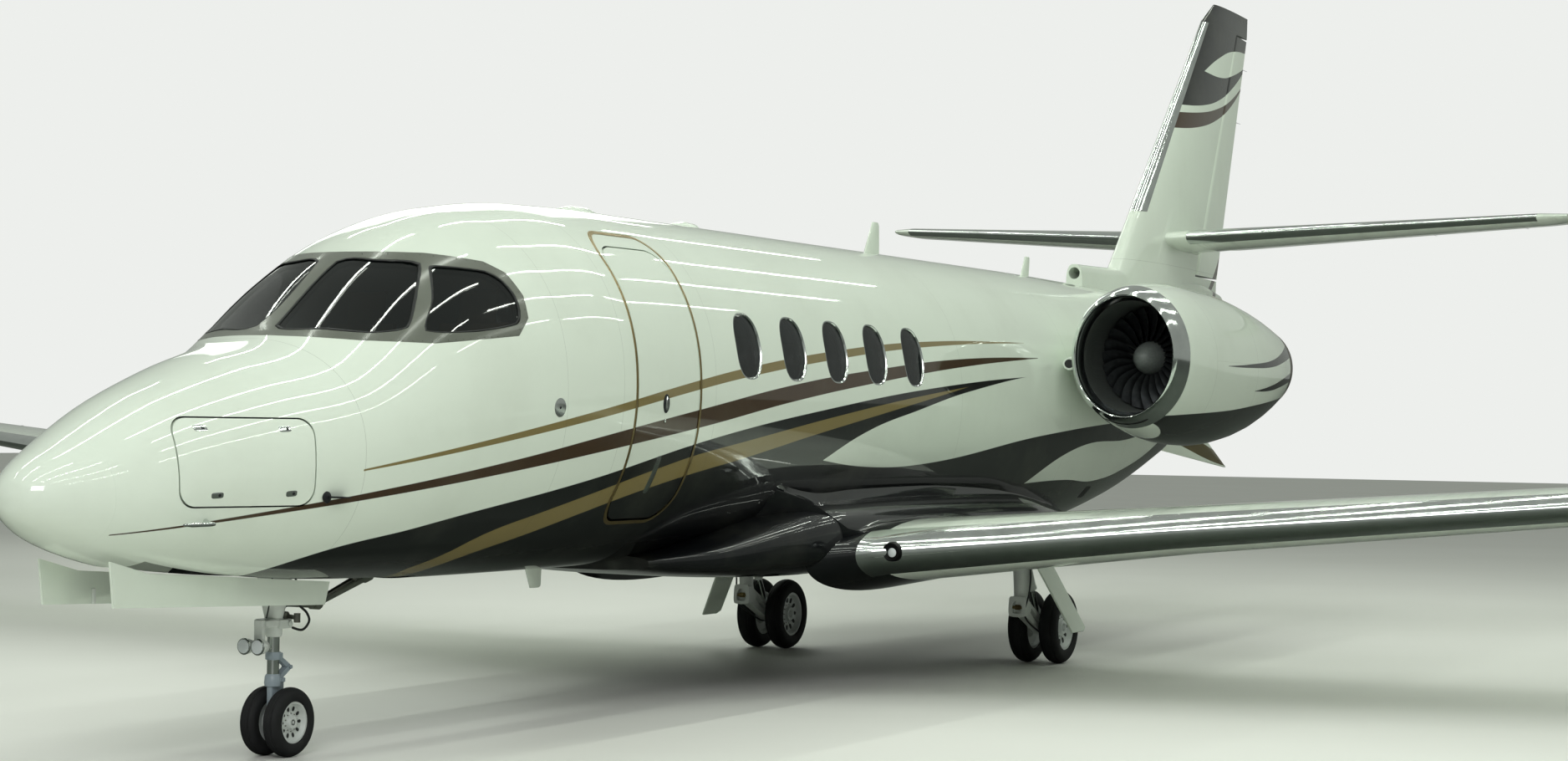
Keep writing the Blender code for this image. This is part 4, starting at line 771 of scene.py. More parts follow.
tinted, tint_tree, tint_shader = new_material("tinted laminated glass", Roughness=0.03, IOR=1.5, Alpha=0.62,
                                              Coat_Weight=0.6, Coat_Roughness=0.02)
tint_spot, tint_station, tint_height, tint_side = place_sockets(tint_tree)
tint_cloud = add_node(tint_tree, "ShaderNodeTexNoise", {"Vector": tint_spot, "Scale": 2.2, "Detail": 2.0})
tint_tree.links.new(painted_over(tint_tree, from_hex("070A0A"), tint_cloud.outputs["Fac"], from_hex("0E1415")),
                    tint_shader.inputs["Base Color"])
tint_tree.links.new(orange_peel(tint_tree, tint_spot, 0.0005), tint_shader.inputs["Normal"])

gasket, gasket_tree, gasket_shader = new_material("black sealant", Roughness=0.6)
gasket_spot = add_node(gasket_tree, "ShaderNodeTexCoord").outputs["Object"]
gasket_cloud = add_node(gasket_tree, "ShaderNodeTexNoise", {"Vector": gasket_spot, "Scale": 60.0, "Detail": 2.0})
gasket_tree.links.new(painted_over(gasket_tree, from_hex("141516"), gasket_cloud.outputs["Fac"], from_hex("252726")),
                      gasket_shader.inputs["Base Color"])


def shrunk(points, amount):
    middle = (sum(p[0] for p in points) / len(points), sum(p[1] for p in points) / len(points))
    moved = []
    for p in points:
        reach = math.hypot(p[0] - middle[0], p[1] - middle[1])
        moved.append((p[0] + (middle[0] - p[0]) * amount / reach, p[1] + (middle[1] - p[1]) * amount / reach))
    return moved


def pane_shape(side, grow, is_front):
    if is_front:
        outline = curved_outline([(side * x, z) for x, z in shrunk(FRONT_PANE, -grow)])
        return prism(outline, 1, y_at(1.2), y_at(2.85))
    outline = curved_outline(shrunk([(y_at(at), z) for at, z in SIDE_PANE], -grow))
    return prism(outline, 0, *((0.4, 1.3) if side > 0 else (-1.3, -0.4)))


wind_frame = put_mesh("windscreen_mask", hull_tube(spaced(COCKPIT_START + 0.02, 3.3, 0.08)), frame_paint)
carve(wind_frame, prism(shrunk([(y_at(at), z) for at, z in FRAME_BAND], 2 * FIT), 0, -1.2, 1.2), operation="INTERSECT")
for side_sign, word in SIDES:
    for is_front in (True, False):
        carve(wind_frame, pane_shape(side_sign, FIT, is_front))
put_on(follow_hull(wind_frame), "window_frame", "windscreen_frame")
for side_sign, word in SIDES:
    for is_front, kind in ((True, "windscreen_pane"), (False, "side_pane")):
        pane = put_mesh(f"{kind}_glass_{word}", hull_tube(spaced(COCKPIT_START + 0.02, 3.3, 0.09), 0.022,
                                                          PANE_SET_BACK), tinted)
        carve(pane, pane_shape(side_sign, -FIT, is_front), operation="INTERSECT")
        put_on(pane, "cabin_glass", f"{kind}_{word}")
        pane.data.shade_smooth()
        pane.data.set_sharp_from_angle(angle=math.radians(30))
        seal = put_mesh(f"{kind}_seal_{word}", hull_tube(spaced(COCKPIT_START + 0.02, 3.3, 0.09), 0.010,
                                                         0.0005), gasket)
        carve(seal, pane_shape(side_sign, -FIT * 2, is_front), operation="INTERSECT")
        carve(seal, pane_shape(side_sign, -0.012, is_front))
        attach(seal, "airframe")


def screw_row(name, spots, outwards, radius, material, body="airframe"):
    """Countersunk screw heads along a line, each a shallow disc with its recess, as one piece."""
    bm = bmesh.new()
    for spot, outward in zip(spots, outwards):
        turn = Vector((0, 0, 1)).rotation_difference(Vector(outward)).to_matrix()
        rows = []
        for share, up in ((1.0, -0.001), (1.0, 0.0008), (0.8, 0.0013), (0.45, 0.0013), (0.3, 0.0002)):
            rows.append([bm.verts.new(Vector(spot) + turn @ Vector((radius * share * math.cos(k * math.pi / 4),
                                                                    radius * share * math.sin(k * math.pi / 4), up)))
                         for k in range(8)])
        for row, following in zip(rows, rows[1:]):
            for i in range(8):
                j = (i + 1) % 8
                bm.faces.new((row[i], row[j], following[j], following[i]))
        bm.faces.new(rows[0][::-1])
        bm.faces.new(rows[-1])
    obj = put_mesh(name, bm, material)
    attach(obj, body)
    return obj


def even_points(outline, spacing):
    """Points at an even spacing along a closed outline."""
    corners = outline + outline[:1]
    found = []
    carried = 0.0
    for a, b in zip(corners, corners[1:]):
        reach = math.dist(a, b)
        while carried < reach:
            t = carried / reach
            found.append((a[0] + (b[0] - a[0]) * t, a[1] + (b[1] - a[1]) * t))
            carried += spacing
        carried -= reach
    return found


for side_sign, word in SIDES:
    screws, directions = [], []
    for at, z in even_points(shrunk(list(FRAME_BAND), 0.016), 0.052):
        x = skin_x(at, z)
        if x < 0.12 or at < 1.9:
            continue
        screws.append((side_sign * x, y_at(at), z))
        slope = (skin_x(at, z + 0.01) - skin_x(at, z - 0.01)) / 0.02
        sweep = (skin_x(at + 0.01, z) - skin_x(at - 0.01, z)) / 0.02
        directions.append((side_sign, -sweep, -slope))
    screw_row(f"windscreen_screws_{word}", screws, directions, 0.0048, frame_paint)


# The cabin windows.
# Each row is five tall oval panes of stretched acrylic in a liner strip, with a polished ring.
# Seen from outside they are nearly black, with a curved reflection of the room.
acrylic, acrylic_tree, acrylic_shader = new_material("stretched acrylic", Roughness=0.02, IOR=1.49, Alpha=0.72,
                                                     Coat_Weight=0.4, Coat_Roughness=0.02)
acrylic_spot, *_rest = place_sockets(acrylic_tree)
acrylic_cloud = add_node(acrylic_tree, "ShaderNodeTexNoise", {"Vector": acrylic_spot, "Scale": 3.0, "Detail": 2.0})
acrylic_tree.links.new(painted_over(acrylic_tree, from_hex("080A0A"), acrylic_cloud.outputs["Fac"],
                                    from_hex("182022")), acrylic_shader.inputs["Base Color"])
acrylic_tree.links.new(orange_peel(acrylic_tree, acrylic_spot, 0.0003, 6.0), acrylic_shader.inputs["Normal"])


def oval_patch(side, at, insets, shares, points=48):
    """Rings of an oval window that follow the skin at given insets, for lofting one pane or ring."""
    rings = []
    for inset, share in zip(insets, shares):
        outline = oval((WINDOW_HALF_WIDTH - FIT) * share, (WINDOW_HALF_HEIGHT - FIT) * share, 2.6,
                       (at, WINDOW_HEIGHT), points)
        rings.append([(side * skin_x(a, z, inset), y_at(a), z) for a, z in outline])
    return rings


for side_sign, word in SIDES:
    panes = bmesh.new()
    for number, at in enumerate(WINDOW_STATIONS):
        shape = loft(oval_patch(side_sign, at, (0.008, 0.0085, 0.010, 0.012, 0.075, 0.075),
                                (0.02, 0.45, 0.75, 0.93, 0.93, 0.02)))
        mesh = bpy.data.meshes.new("pane")
        shape.to_mesh(mesh)
        shape.free()
        panes.from_mesh(mesh)
        bpy.data.meshes.remove(mesh)
        ring = put_mesh(f"cabin_window_ring_{word}_{number}",
                        loft(oval_patch(side_sign, at, (0.030, 0.0005, 0.0005, 0.009, 0.030),
                                        (0.998, 0.998, 0.965, 0.935, 0.935)), loop=True), chrome)
        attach(ring, "airframe")
    glass = put_mesh(f"cabin_window_panes_{word}", panes, acrylic, 40)
    strip = []
    for at in (WINDOW_STATIONS[0] - 0.25, WINDOW_STATIONS[-1] + 0.25):
        ring = []
        for inset, order in ((WALL + 0.010, 1), (WALL + 0.022, -1)):
            for z in [WINDOW_HEIGHT + order * shift for shift in (-0.26, 0, 0.26)]:
                ring.append((side_sign * skin_x(at, z, inset), y_at(at), z))
        strip.append(ring)
    carve(glass, loft(strip), operation="UNION")
    put_on(glass, "cabin_glass", f"cabin_windows_{word}")
    glass.data.shade_smooth()
    glass.data.set_sharp_from_angle(angle=math.radians(40))


# The cockpit and cabin inside.
# Carpeted floor boards, a moulded instrument panel with its screens and hood, and leather seats on pedestals.
# They are seen through the windows, the open door and the windscreen.
carpet, carpet_tree, carpet_shader = new_material("cut pile wool carpet", Roughness=0.95)
carpet_spot = add_node(carpet_tree, "ShaderNodeTexCoord").outputs["Object"]
carpet_pile = add_node(carpet_tree, "ShaderNodeTexVoronoi", {"Vector": carpet_spot, "Scale": 260.0})
carpet_tree.links.new(painted_over(carpet_tree, from_hex("57503F"), carpet_pile.outputs["Distance"],
                                   from_hex("7B725D")), carpet_shader.inputs["Base Color"])
carpet_bump = add_node(carpet_tree, "ShaderNodeBump", {"Height": carpet_pile.outputs["Distance"], "Distance": 0.002,
                                                       "Strength": 0.7})
carpet_tree.links.new(carpet_bump.outputs["Normal"], carpet_shader.inputs["Normal"])
plastic, plastic_tree, plastic_shader = new_material("moulded dark grey plastic", Roughness=0.5)
plastic_spot = add_node(plastic_tree, "ShaderNodeTexCoord").outputs["Object"]
plastic_grain = add_node(plastic_tree, "ShaderNodeTexNoise", {"Vector": plastic_spot, "Scale": 300.0, "Detail": 2.0})
plastic_tree.links.new(painted_over(plastic_tree, from_hex("24262A"), plastic_grain.outputs["Fac"],
                                    from_hex("33363A")), plastic_shader.inputs["Base Color"])
plastic_bump = add_node(plastic_tree, "ShaderNodeBump", {"Height": plastic_grain.outputs["Fac"],
                                                         "Distance": 0.0004, "Strength": 0.5})
plastic_tree.links.new(plastic_bump.outputs["Normal"], plastic_shader.inputs["Normal"])
for node_name, node_material in (("cabin_floor", carpet), ("aft_bulkhead", plastic), ("instrument_panel", plastic)):
    node = frame["nodes"][node_name]
    node.data.materials.clear()
    node.data.materials.append(node_material)

screen_glass, screen_tree, screen_shader = new_material("instrument screen glass", Roughness=0.08, IOR=1.5)
screen_spot = add_node(screen_tree, "ShaderNodeTexCoord").outputs["Object"]
screen_cloud = add_node(screen_tree, "ShaderNodeTexNoise", {"Vector": screen_spot, "Scale": 25.0, "Detail": 2.0})
screen_tree.links.new(painted_over(screen_tree, from_hex("070A0E"), screen_cloud.outputs["Fac"],
                                   from_hex("111820")), screen_shader.inputs["Base Color"])

leather, leather_tree, leather_shader = new_material("beige seat leather", Roughness=0.48, Sheen_Weight=0.15)
leather_spot = add_node(leather_tree, "ShaderNodeTexCoord").outputs["Object"]
leather_grain = add_node(leather_tree, "ShaderNodeTexVoronoi", {"Vector": leather_spot, "Scale": 340.0})
leather_cloud = add_node(leather_tree, "ShaderNodeTexNoise", {"Vector": leather_spot, "Scale": 4.0, "Detail": 5.0})
leather_tree.links.new(painted_over(leather_tree, from_hex("B7A484"), leather_cloud.outputs["Fac"],
                                    from_hex("CBBB9C")), leather_shader.inputs["Base Color"])
leather_bump = add_node(leather_tree, "ShaderNodeBump", {"Height": leather_grain.outputs["Distance"],
                                                         "Distance": 0.0008, "Strength": 0.6})
leather_tree.links.new(leather_bump.outputs["Normal"], leather_shader.inputs["Normal"])


def cushion(bm, middle, size, tilt=0.0, crown=0.02, channels=0, spin=3.6):
    """A crowned pad whose sides pull in between its corners, with sewn channels along its length."""
    steps = 12
    turn = Matrix.Rotation(tilt, 3, "X")
    half = Vector(size) / 2
    grid = {}
    for i in range(steps + 1):
        for j in range(steps + 1):
            for top in (1, -1):
                u, v = 2 * i / steps - 1, 2 * j / steps - 1
                edge = (1 - abs(u) ** spin) * (1 - abs(v) ** spin)
                x = u * (half.x - crown * 0.35 * (1 - v * v))
                y = v * (half.y - crown * 0.35 * (1 - u * u))
                rise = half.z * (0.35 + 0.65 * edge ** 0.45)
                if channels and top > 0:
                    rise -= 0.006 * (1 - abs(math.sin(math.pi * channels * (u + 1) / 2))) ** 6 * edge
                grid[i, j, top] = bm.verts.new(Vector(middle) + turn @ Vector((x, y, top * rise)))
    for i in range(steps):
        for j in range(steps):
            for top in (1, -1):
                corners = [grid[i, j, top], grid[i + 1, j, top], grid[i + 1, j + 1, top], grid[i, j + 1, top]]
                bm.faces.new(corners if top > 0 else corners[::-1])
    for k in range(steps):
        for a, b in (((k, 0), (k + 1, 0)), ((steps, k), (steps, k + 1)), ((steps - k, steps), (steps - k - 1, steps)),
                     ((0, steps - k), (0, steps - k - 1))):
            bm.faces.new((grid[*a, 1], grid[*a, -1], grid[*b, -1], grid[*b, 1]))


def seat(name, x, station, base, width, body="airframe"):
    """Leather seat, back and headrest pads of one chair, and its pedestal, inside the CAD seat's box."""
    y = y_at(station)
    bm = bmesh.new()
    cushion(bm, (x, y - 0.02, base + 0.36), (width * 0.98, 0.50, 0.15), 0.0, 0.02, 3)
    cushion(bm, (x, y + 0.265, base + 0.69), (width * 0.97, 0.62, 0.11), math.radians(80), 0.02, 3)
    cushion(bm, (x, y + 0.352, base + 1.085), (width * 0.54, 0.21, 0.085), math.radians(82), 0.015)
    pads = put_mesh(name, bm, leather, 60)
    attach(pads, body)
    stand = put_mesh(f"{name}_pedestal", loft([[(x + a, y - 0.02 + b, base + z) for a, b in
                                                rounded(w, d, 0.04, points=5)] for w, d, z in
                                               ((width * 0.34, 0.17, 0.001), (width * 0.34, 0.17, 0.03),
                                                (width * 0.22, 0.11, 0.06), (width * 0.22, 0.11, 0.26),
                                                (width * 0.30, 0.16, 0.285))]), plastic)
    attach(stand, body)
    return pads


for side_sign, word in SIDES:
    pads = seat(f"pilot_seat_{word}", side_sign * 0.40, 3.05, 1.42 + FIT, 0.48)
    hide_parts(f"crew_seat_{word}")
    for number, at in enumerate((5.85, 7.05, 8.25)):
        pads = seat(f"club_seat_{word}_{number}", side_sign * 0.56, at, 1.43, 0.50)
        if number == 0:
            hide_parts(f"cabin_seats_{word}")
    rail = put_mesh(f"seat_rail_{word}", block((side_sign * 0.60 - 0.10, y_at(5.45), 1.4203),
                                               (side_sign * 0.60 + 0.10, y_at(8.75), 1.43)), plastic)
    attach(rail, "airframe")
for number, x in enumerate((-0.42, -0.14, 0.14, 0.42)):
    face = [(y_at(2.418), 1.70), (y_at(2.400), 1.70), (y_at(2.372), 2.05), (y_at(2.392), 2.05)]
    screen = put_mesh(f"flight_screen_{number}", prism(face, 0, x - 0.125, x + 0.125), screen_glass)
    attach(screen, "airframe")


# The wing.
# A metal wing of tapering aerofoils with its aileron in a cove, polished leading edges and round tips.
# Its skins are white enamel with flap, spoiler and tank panel joints, and dirt streaks run aft from them.
WING = ((0.97, 6.52, 3.72, 0.130, 0.930), (1.33, 6.82, 3.36, 0.130, 0.985), (3.20, 7.38, 2.66, 0.125, 1.165),
        (7.90, 8.79, 1.83, 0.115, 1.560), (10.60, 9.60, 1.30, 0.105, 1.780), (11.025, 9.86, 1.02, 0.09, 1.815))
AILERON_HINGE = 0.74
AILERON_SPAN = (7.95, 10.55)
SECTION_HALF = 34
TRAILING_EDGE = 0.004


def half_thickness(c, ratio):
    return 5 * ratio * (0.2969 * math.sqrt(c) - 0.1260 * c - 0.3516 * c * c + 0.2843 * c**3 - 0.1036 * c**4)


def panel_at(table, span):
    """Leading edge station, chord, thickness ratio and height at a span position."""
    for low, high in zip(table, table[1:]):
        if span <= high[0] + 1e-9:
            t = (span - low[0]) / (high[0] - low[0])
            return [a + (b - a) * t for a, b in zip(low[1:], high[1:])]
    return list(table[-1][1:])


def section(chord, ratio, first=0.0, last=1.0, lift=0.0, steps=SECTION_HALF):
    """Points of (aft, up) round an aerofoil between two shares of the chord."""
    shares = [first + (last - first) * (1 - math.cos(math.pi * i / steps)) / 2 for i in range(steps + 1)]
    upper = [(c * chord, half_thickness(c, ratio) * chord + TRAILING_EDGE / 2 * c + lift) for c in shares[1:]]
    return upper[::-1] + [(first * chord - lift, 0)] + [(a, -b) for a, b in upper]


def place_section(points, kind, span, table, side=1):
    lead, _chord, _ratio, height = panel_at(table, span)
    if kind == "fin":
        return [(up, y_at(lead + aft), span) for aft, up in points]
    return [(side * span, y_at(lead + aft), height + up) for aft, up in points]


def surface(table, kind, spans, side=1, **shape):
    rings = []
    for span in spans:
        _lead, chord, ratio, _height = panel_at(table, span)
        rings.append(place_section(section(chord, ratio, **shape), kind, span, table, side))
    return loft(rings)


def cove(table, kind, spans, share, side=1):
    """The room for a moving surface behind its hinge line."""
    rings = []
    for span in spans:
        _lead, chord, ratio, _height = panel_at(table, span)
        skin = half_thickness(share, ratio) * chord
        radius = skin + MOVING_GAP
        lip = math.asin(0.9 * skin / radius)
        middle = share * chord
        edge = middle - radius * math.cos(lip)
        points = [(chord + 0.3, 0.4), (edge, 0.4)]
        for i in range(13):
            angle = lip * (1 - i / 6)
            points.append((middle - radius * math.cos(angle), radius * math.sin(angle)))
        rings.append(place_section(points + [(edge, -0.4), (chord + 0.3, -0.4)], kind, span, table, side))
    return loft(rings)


def control(table, kind, spans, share, side=1):
    """A moving surface: a round nose on the hinge line and the rear of the aerofoil."""
    rings = []
    for span in spaced(*spans, (spans[1] - spans[0]) / 6):
        _lead, chord, ratio, _height = panel_at(table, span)
        radius = half_thickness(share, ratio) * chord * 0.97
        back = [share + (1 - share) * i / 10 for i in range(11)]
        upper = [(c * chord, half_thickness(c, ratio) * chord + TRAILING_EDGE / 2 * c) for c in back]
        nose = []
        for i in range(15):
            angle = math.radians(75) * (1 - i / 7)
            nose.append((share * chord - radius * math.cos(angle), radius * math.sin(angle)))
        rings.append(place_section(upper[::-1] + nose + [(a, -b) for a, b in upper], kind, span, table, side))
    return loft(rings)


def straight_curve(tree, value, points):
    """A socket that gives straight lines drawn through rows of (value, height)."""
    node_output = height_curve(tree, value, points)
    curve_node = node_output.node.inputs[0].links[0].from_node
    for point in curve_node.mapping.curves[0].points:
        point.handle_type = "VECTOR"
    curve_node.mapping.update()
    return node_output


def chord_share(tree, station, span, table):
    """How far aft a point of a wing is, as a share of the chord at its span."""
    lead = straight_curve(tree, span, [(row[0], row[1] / 3) for row in table])
    chord = straight_curve(tree, span, [(row[0], row[2]) for row in table])
    behind = math_node(tree, "SUBTRACT", station, math_node(tree, "MULTIPLY", lead, 3.0))
    return math_node(tree, "DIVIDE", behind, chord)


def streaks(tree, spot, colour, scale=(14.0, 0.7, 14.0), amount=0.22):
    """Thin streaks of dirt drawn aft by the airflow."""
    stretched = add_node(tree, "ShaderNodeMapping", {"Vector": spot, "Scale": scale}).outputs["Vector"]
    noise = add_node(tree, "ShaderNodeTexNoise", {"Vector": stretched, "Scale": 1.0, "Detail": 5.0})
    share = add_node(tree, "ShaderNodeMapRange", {"Value": noise.outputs["Fac"], "From Min": 0.5, "From Max": 0.78,
                                                  "To Min": 0.0, "To Max": amount}).outputs["Result"]
    return painted_over(tree, colour, share, from_hex("77786A"))


ROOT_BLACK = 1.34
wing_paint, wing_tree, wing_shader = new_material("gloss polyurethane paint of the wings", **GLOSS)
spot, station, height, side = place_sockets(wing_tree)
share = chord_share(wing_tree, station, side, WING)
spoilers = math_node(wing_tree, "MULTIPLY", between(wing_tree, side, 2.6, 6.9), seam_lines(wing_tree, share, (0.60,), 0.0012))
flaps = math_node(wing_tree, "MULTIPLY", between(wing_tree, side, 1.45, 7.93), seam_lines(wing_tree, share, (0.71,), 0.0022))
tanks = math_node(wing_tree, "MULTIPLY", between(wing_tree, side, 1.45, 10.6), seam_lines(wing_tree, share, (0.16,), 0.0008))
ribs = math_node(wing_tree, "MULTIPLY", between(wing_tree, share, 0.60, 1.1),
                 seam_lines(wing_tree, side, (1.46, 2.6, 4.02, 4.75, 5.5, 6.9, 7.93), 0.003))
skins = math_node(wing_tree, "MULTIPLY", seam_lines(wing_tree, side, (3.2, 7.9), 0.002), 0.5)
lines = math_node(wing_tree, "MAXIMUM", spoilers, math_node(wing_tree, "MAXIMUM", flaps, tanks))
lines = math_node(wing_tree, "MAXIMUM", lines, math_node(wing_tree, "MAXIMUM", ribs, skins))
colour = grime(wing_tree, spot, streaks(wing_tree, spot, PAINT_WHITE))
colour = painted_over(wing_tree, colour, math_node(wing_tree, "MULTIPLY", lines, 0.8), from_hex("2E302E"))
colour = painted_over(wing_tree, colour, above(wing_tree, ROOT_BLACK, side), PAINT_BLACK)
wing_tree.links.new(colour, wing_shader.inputs["Base Color"])
wing_tree.links.new(orange_peel(wing_tree, spot, 0.0010, 2.2), wing_shader.inputs["Normal"])

WING_SPANS = [0.97, 1.15, 1.33, 2.2, 3.20, 4.4, 5.5, 6.7, 7.90, 9.2, 10.60, 10.75, 10.90, 11.025]
STRIP_SPANS = [1.24, 1.33, 2.2, 3.20, 4.4, 5.5, 6.7, 7.90, 9.2, 10.58]
for side_sign, word in SIDES:
    wing = put_mesh(f"wing_skin_{word}", surface(WING, "wing", WING_SPANS, side_sign), wing_paint, 30)
    gaps = (AILERON_SPAN[0] - MOVING_GAP, AILERON_SPAN[1] + MOVING_GAP)
    carve(wing, cove(WING, "wing", gaps, AILERON_HINGE, side_sign))
    wing.data.shade_smooth()
    wing.data.set_sharp_from_angle(angle=math.radians(30))
    put_on(wing, "white_paint", f"wing_{word}")
    aileron = put_mesh(f"aileron_skin_{word}", control(WING, "wing", AILERON_SPAN, AILERON_HINGE, side_sign), wing_paint, 30)
    put_on(aileron, "white_paint", f"aileron_{word}")
    strip = put_mesh(f"wing_leading_edge_{word}",
                     surface(WING, "wing", STRIP_SPANS, side_sign, first=0.0, last=0.075, lift=0.0015, steps=14), chrome, 50)
    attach(strip, "airframe")


def pod(name, rows, material, body="airframe", power=2.0, points=28, sharp=40):
    """A body lofted fore and aft through ovals: rows of (station, x, z, half width, half height)."""
    rings = [[(x + a, y_at(at), z + b) for a, b in oval(wide, tall, power, (0, 0), points)]
             for at, x, z, wide, tall in rows]
    obj = put_mesh(name, loft(rings), material, sharp)
    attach(obj, body)
    return obj


plain_white, plain_tree, plain_shader = new_material("gloss white enamel on small fairings", **GLOSS)
spot, *_rest = place_sockets(plain_tree)
plain_tree.links.new(grime(plain_tree, spot, PAINT_WHITE), plain_shader.inputs["Base Color"])
plain_tree.links.new(orange_peel(plain_tree, spot, 0.0004, 5.0), plain_shader.inputs["Normal"])

lamp_glass, lamp_tree, lamp_shader = new_material("clear moulded lamp lens", Roughness=0.08, IOR=1.5, Coat_Weight=0.5)
spot, *_rest = place_sockets(lamp_tree)
lamp_ribs = add_node(lamp_tree, "ShaderNodeTexWave", {"Vector": spot, "Scale": 60.0, "Distortion": 0.0})
lamp_tree.links.new(painted_over(lamp_tree, from_hex("9AA3A6"), lamp_ribs.outputs["Fac"], from_hex("E9EDEE")),
                    lamp_shader.inputs["Base Color"])
lamp_cup, cup_tree, cup_shader = new_material("black anodised lamp cup", Metallic=0.6, Roughness=0.35)
spot, *_rest = place_sockets(cup_tree)
cup_cloud = add_node(cup_tree, "ShaderNodeTexNoise", {"Vector": spot, "Scale": 40.0, "Detail": 3.0})
cup_tree.links.new(painted_over(cup_tree, from_hex("0C0D0E"), cup_cloud.outputs["Fac"], from_hex("1D1F20")),
                   cup_shader.inputs["Base Color"])
lens_colours = {}
for lens_name, dark, pale in (("red lamp lens", "5E0E0C", "B33A2C"), ("green lamp lens", "0D4A2C", "3F9A63")):
    lens, lens_tree, lens_shader = new_material(lens_name, Roughness=0.08, IOR=1.5, Coat_Weight=0.5)
    spot, *_rest = place_sockets(lens_tree)
    ribs = add_node(lens_tree, "ShaderNodeTexWave", {"Vector": spot, "Scale": 40.0, "Distortion": 0.0})
    lens_tree.links.new(painted_over(lens_tree, from_hex(dark), ribs.outputs["Fac"], from_hex(pale)),
                        lens_shader.inputs["Base Color"])
    lens_colours[lens_name] = lens

for side_sign, word in SIDES:
    lead, chord, ratio, z = panel_at(WING, 10.86)
    lens = lens_colours["red lamp lens" if side_sign > 0 else "green lamp lens"]
    pod(f"wing_tip_lamp_{word}", [(lead - 0.012, side_sign * 10.86, z, 0.02, 0.006),
                                  (lead + 0.03, side_sign * 10.87, z, 0.07, 0.020),
                                  (lead + 0.12, side_sign * 10.88, z, 0.085, 0.030),
                                  (lead + 0.20, side_sign * 10.88, z, 0.08, 0.034)], lens)
    lead, chord, ratio, z = panel_at(WING, 1.456)
    x = side_sign * 1.456
    pod(f"landing_lamp_cup_{word}", [(lead - 0.010, x, z, 0.052, 0.050), (lead - 0.013, x, z, 0.060, 0.058),
                                     (lead - 0.004, x, z, 0.068, 0.066), (lead + 0.05, x, z, 0.070, 0.068)],
        lamp_cup)
    pod(f"landing_lamp_{word}", [(lead - 0.020, x + side_sign * 0.008, z - 0.005, 0.010, 0.010),
                                 (lead - 0.016, x + side_sign * 0.008, z - 0.005, 0.026, 0.026),
                                 (lead - 0.006, x + side_sign * 0.008, z - 0.005, 0.034, 0.034)], lamp_glass)
    for number, span in enumerate((2.35, 4.4, 6.6)):
        lead, chord, ratio, z = panel_at(WING, span)
        aft = lead + 0.74 * chord
        pod(f"flap_track_{word}_{number}", [(aft - 0.45, side_sign * span, z - 0.045, 0.012, 0.02),
                                            (aft - 0.30, side_sign * span, z - 0.060, 0.034, 0.05),
                                            (aft, side_sign * span, z - 0.060, 0.042, 0.060),
                                            (aft + 0.32, side_sign * span, z - 0.035, 0.028, 0.040),
                                            (aft + 0.55, side_sign * span, z - 0.020, 0.006, 0.010)], plain_white)


def wick(name, root, material, body, tilt=0.0):
    """A static discharge rod on a trailing edge."""
    x, at, z = root
    return pod(name, [(at - 0.02, x, z, 0.004, 0.003), (at + 0.02, x, z, 0.004, 0.003),
                      (at + 0.03, x, z + tilt * 0.03, 0.0022, 0.0022), (at + 0.15, x, z + tilt * 0.15, 0.0016, 0.0016)],
               material, body, points=8)


for side_sign, word in SIDES:
    for number, span in enumerate((8.4, 9.3, 10.2)):
        lead, chord, ratio, z = panel_at(WING, span)
        wick(f"wing_wick_{word}_{number}", (side_sign * span, lead + chord - 0.002, z), dark_cup, f"aileron_{word}")


# The belly fairing and the wing gloves.
# A moulded composite fairing carries the body's curve down round the wing, and a fillet seals wing to body.
# It is black gloss enamel with the same white and gold sweeps, and holds the open bays of the main wheels.
FAIRING = ((5.15, 0.55, 1.00, 0.90), (5.6, 0.84, 1.10, 0.85), (6.2, 1.02, 1.26, 0.81), (6.9, 1.12, 1.38, 0.79),
           (8.5, 1.13, 1.40, 0.79), (10.2, 1.12, 1.38, 0.80), (11.0, 1.02, 1.30, 0.84), (11.8, 0.82, 1.18, 0.90),
           (12.5, 0.50, 1.08, 0.97))
GLOVE = ((6.22, 0.86, 1.43, 1.46), (6.60, 0.985, 1.32, 1.40), (6.89, 1.19, 1.12, 1.38), (7.40, 1.33, 1.17, 1.40),
         (8.60, 1.35, 1.19, 1.41), (9.60, 1.31, 1.09, 1.38), (10.30, 1.18, 0.99, 1.33), (11.00, 1.02, 0.98, 1.24))
GLOVE_ROOT = 0.90
WHEEL_BAY = ((0.42, 9.88, 0.5), (1.00, 10.62, 0.95))


def column(table, index):
    return [(row[0], row[index]) for row in table]


fairing_rings = []
for at in spaced(5.15, 12.5, 0.14):
    half, top, bottom = (smooth_curve(column(FAIRING, index), at) for index in (1, 2, 3))
    fairing_rings.append([(x, y_at(at), z) for x, z in oval(half, (top - bottom) / 2, 3.2, (0, (top + bottom) / 2), 72)])
fairing = put_mesh("wing_body_fairing", loft(fairing_rings), body_paint)
glove_rings = {1: [], -1: []}
for at in spaced(6.22, 11.0, 0.12):
    outer, low, high = (smooth_curve(column(GLOVE, index), at) for index in (1, 2, 3))
    reach = outer - GLOVE_ROOT
    fillet = []
    for i in range(9):
        t = i / 8
        fillet.append((outer - reach * (1 - (1 - t) ** 1.7), low + (high - low) * t ** 2.2))
    outline = [(0.55, 0.93), (outer - 0.03, low - 0.10), (outer, low - 0.01), *fillet, (0.55, high)]
    for side_sign in glove_rings:
        glove_rings[side_sign].append([(side_sign * x, y_at(at), z) for x, z in outline])
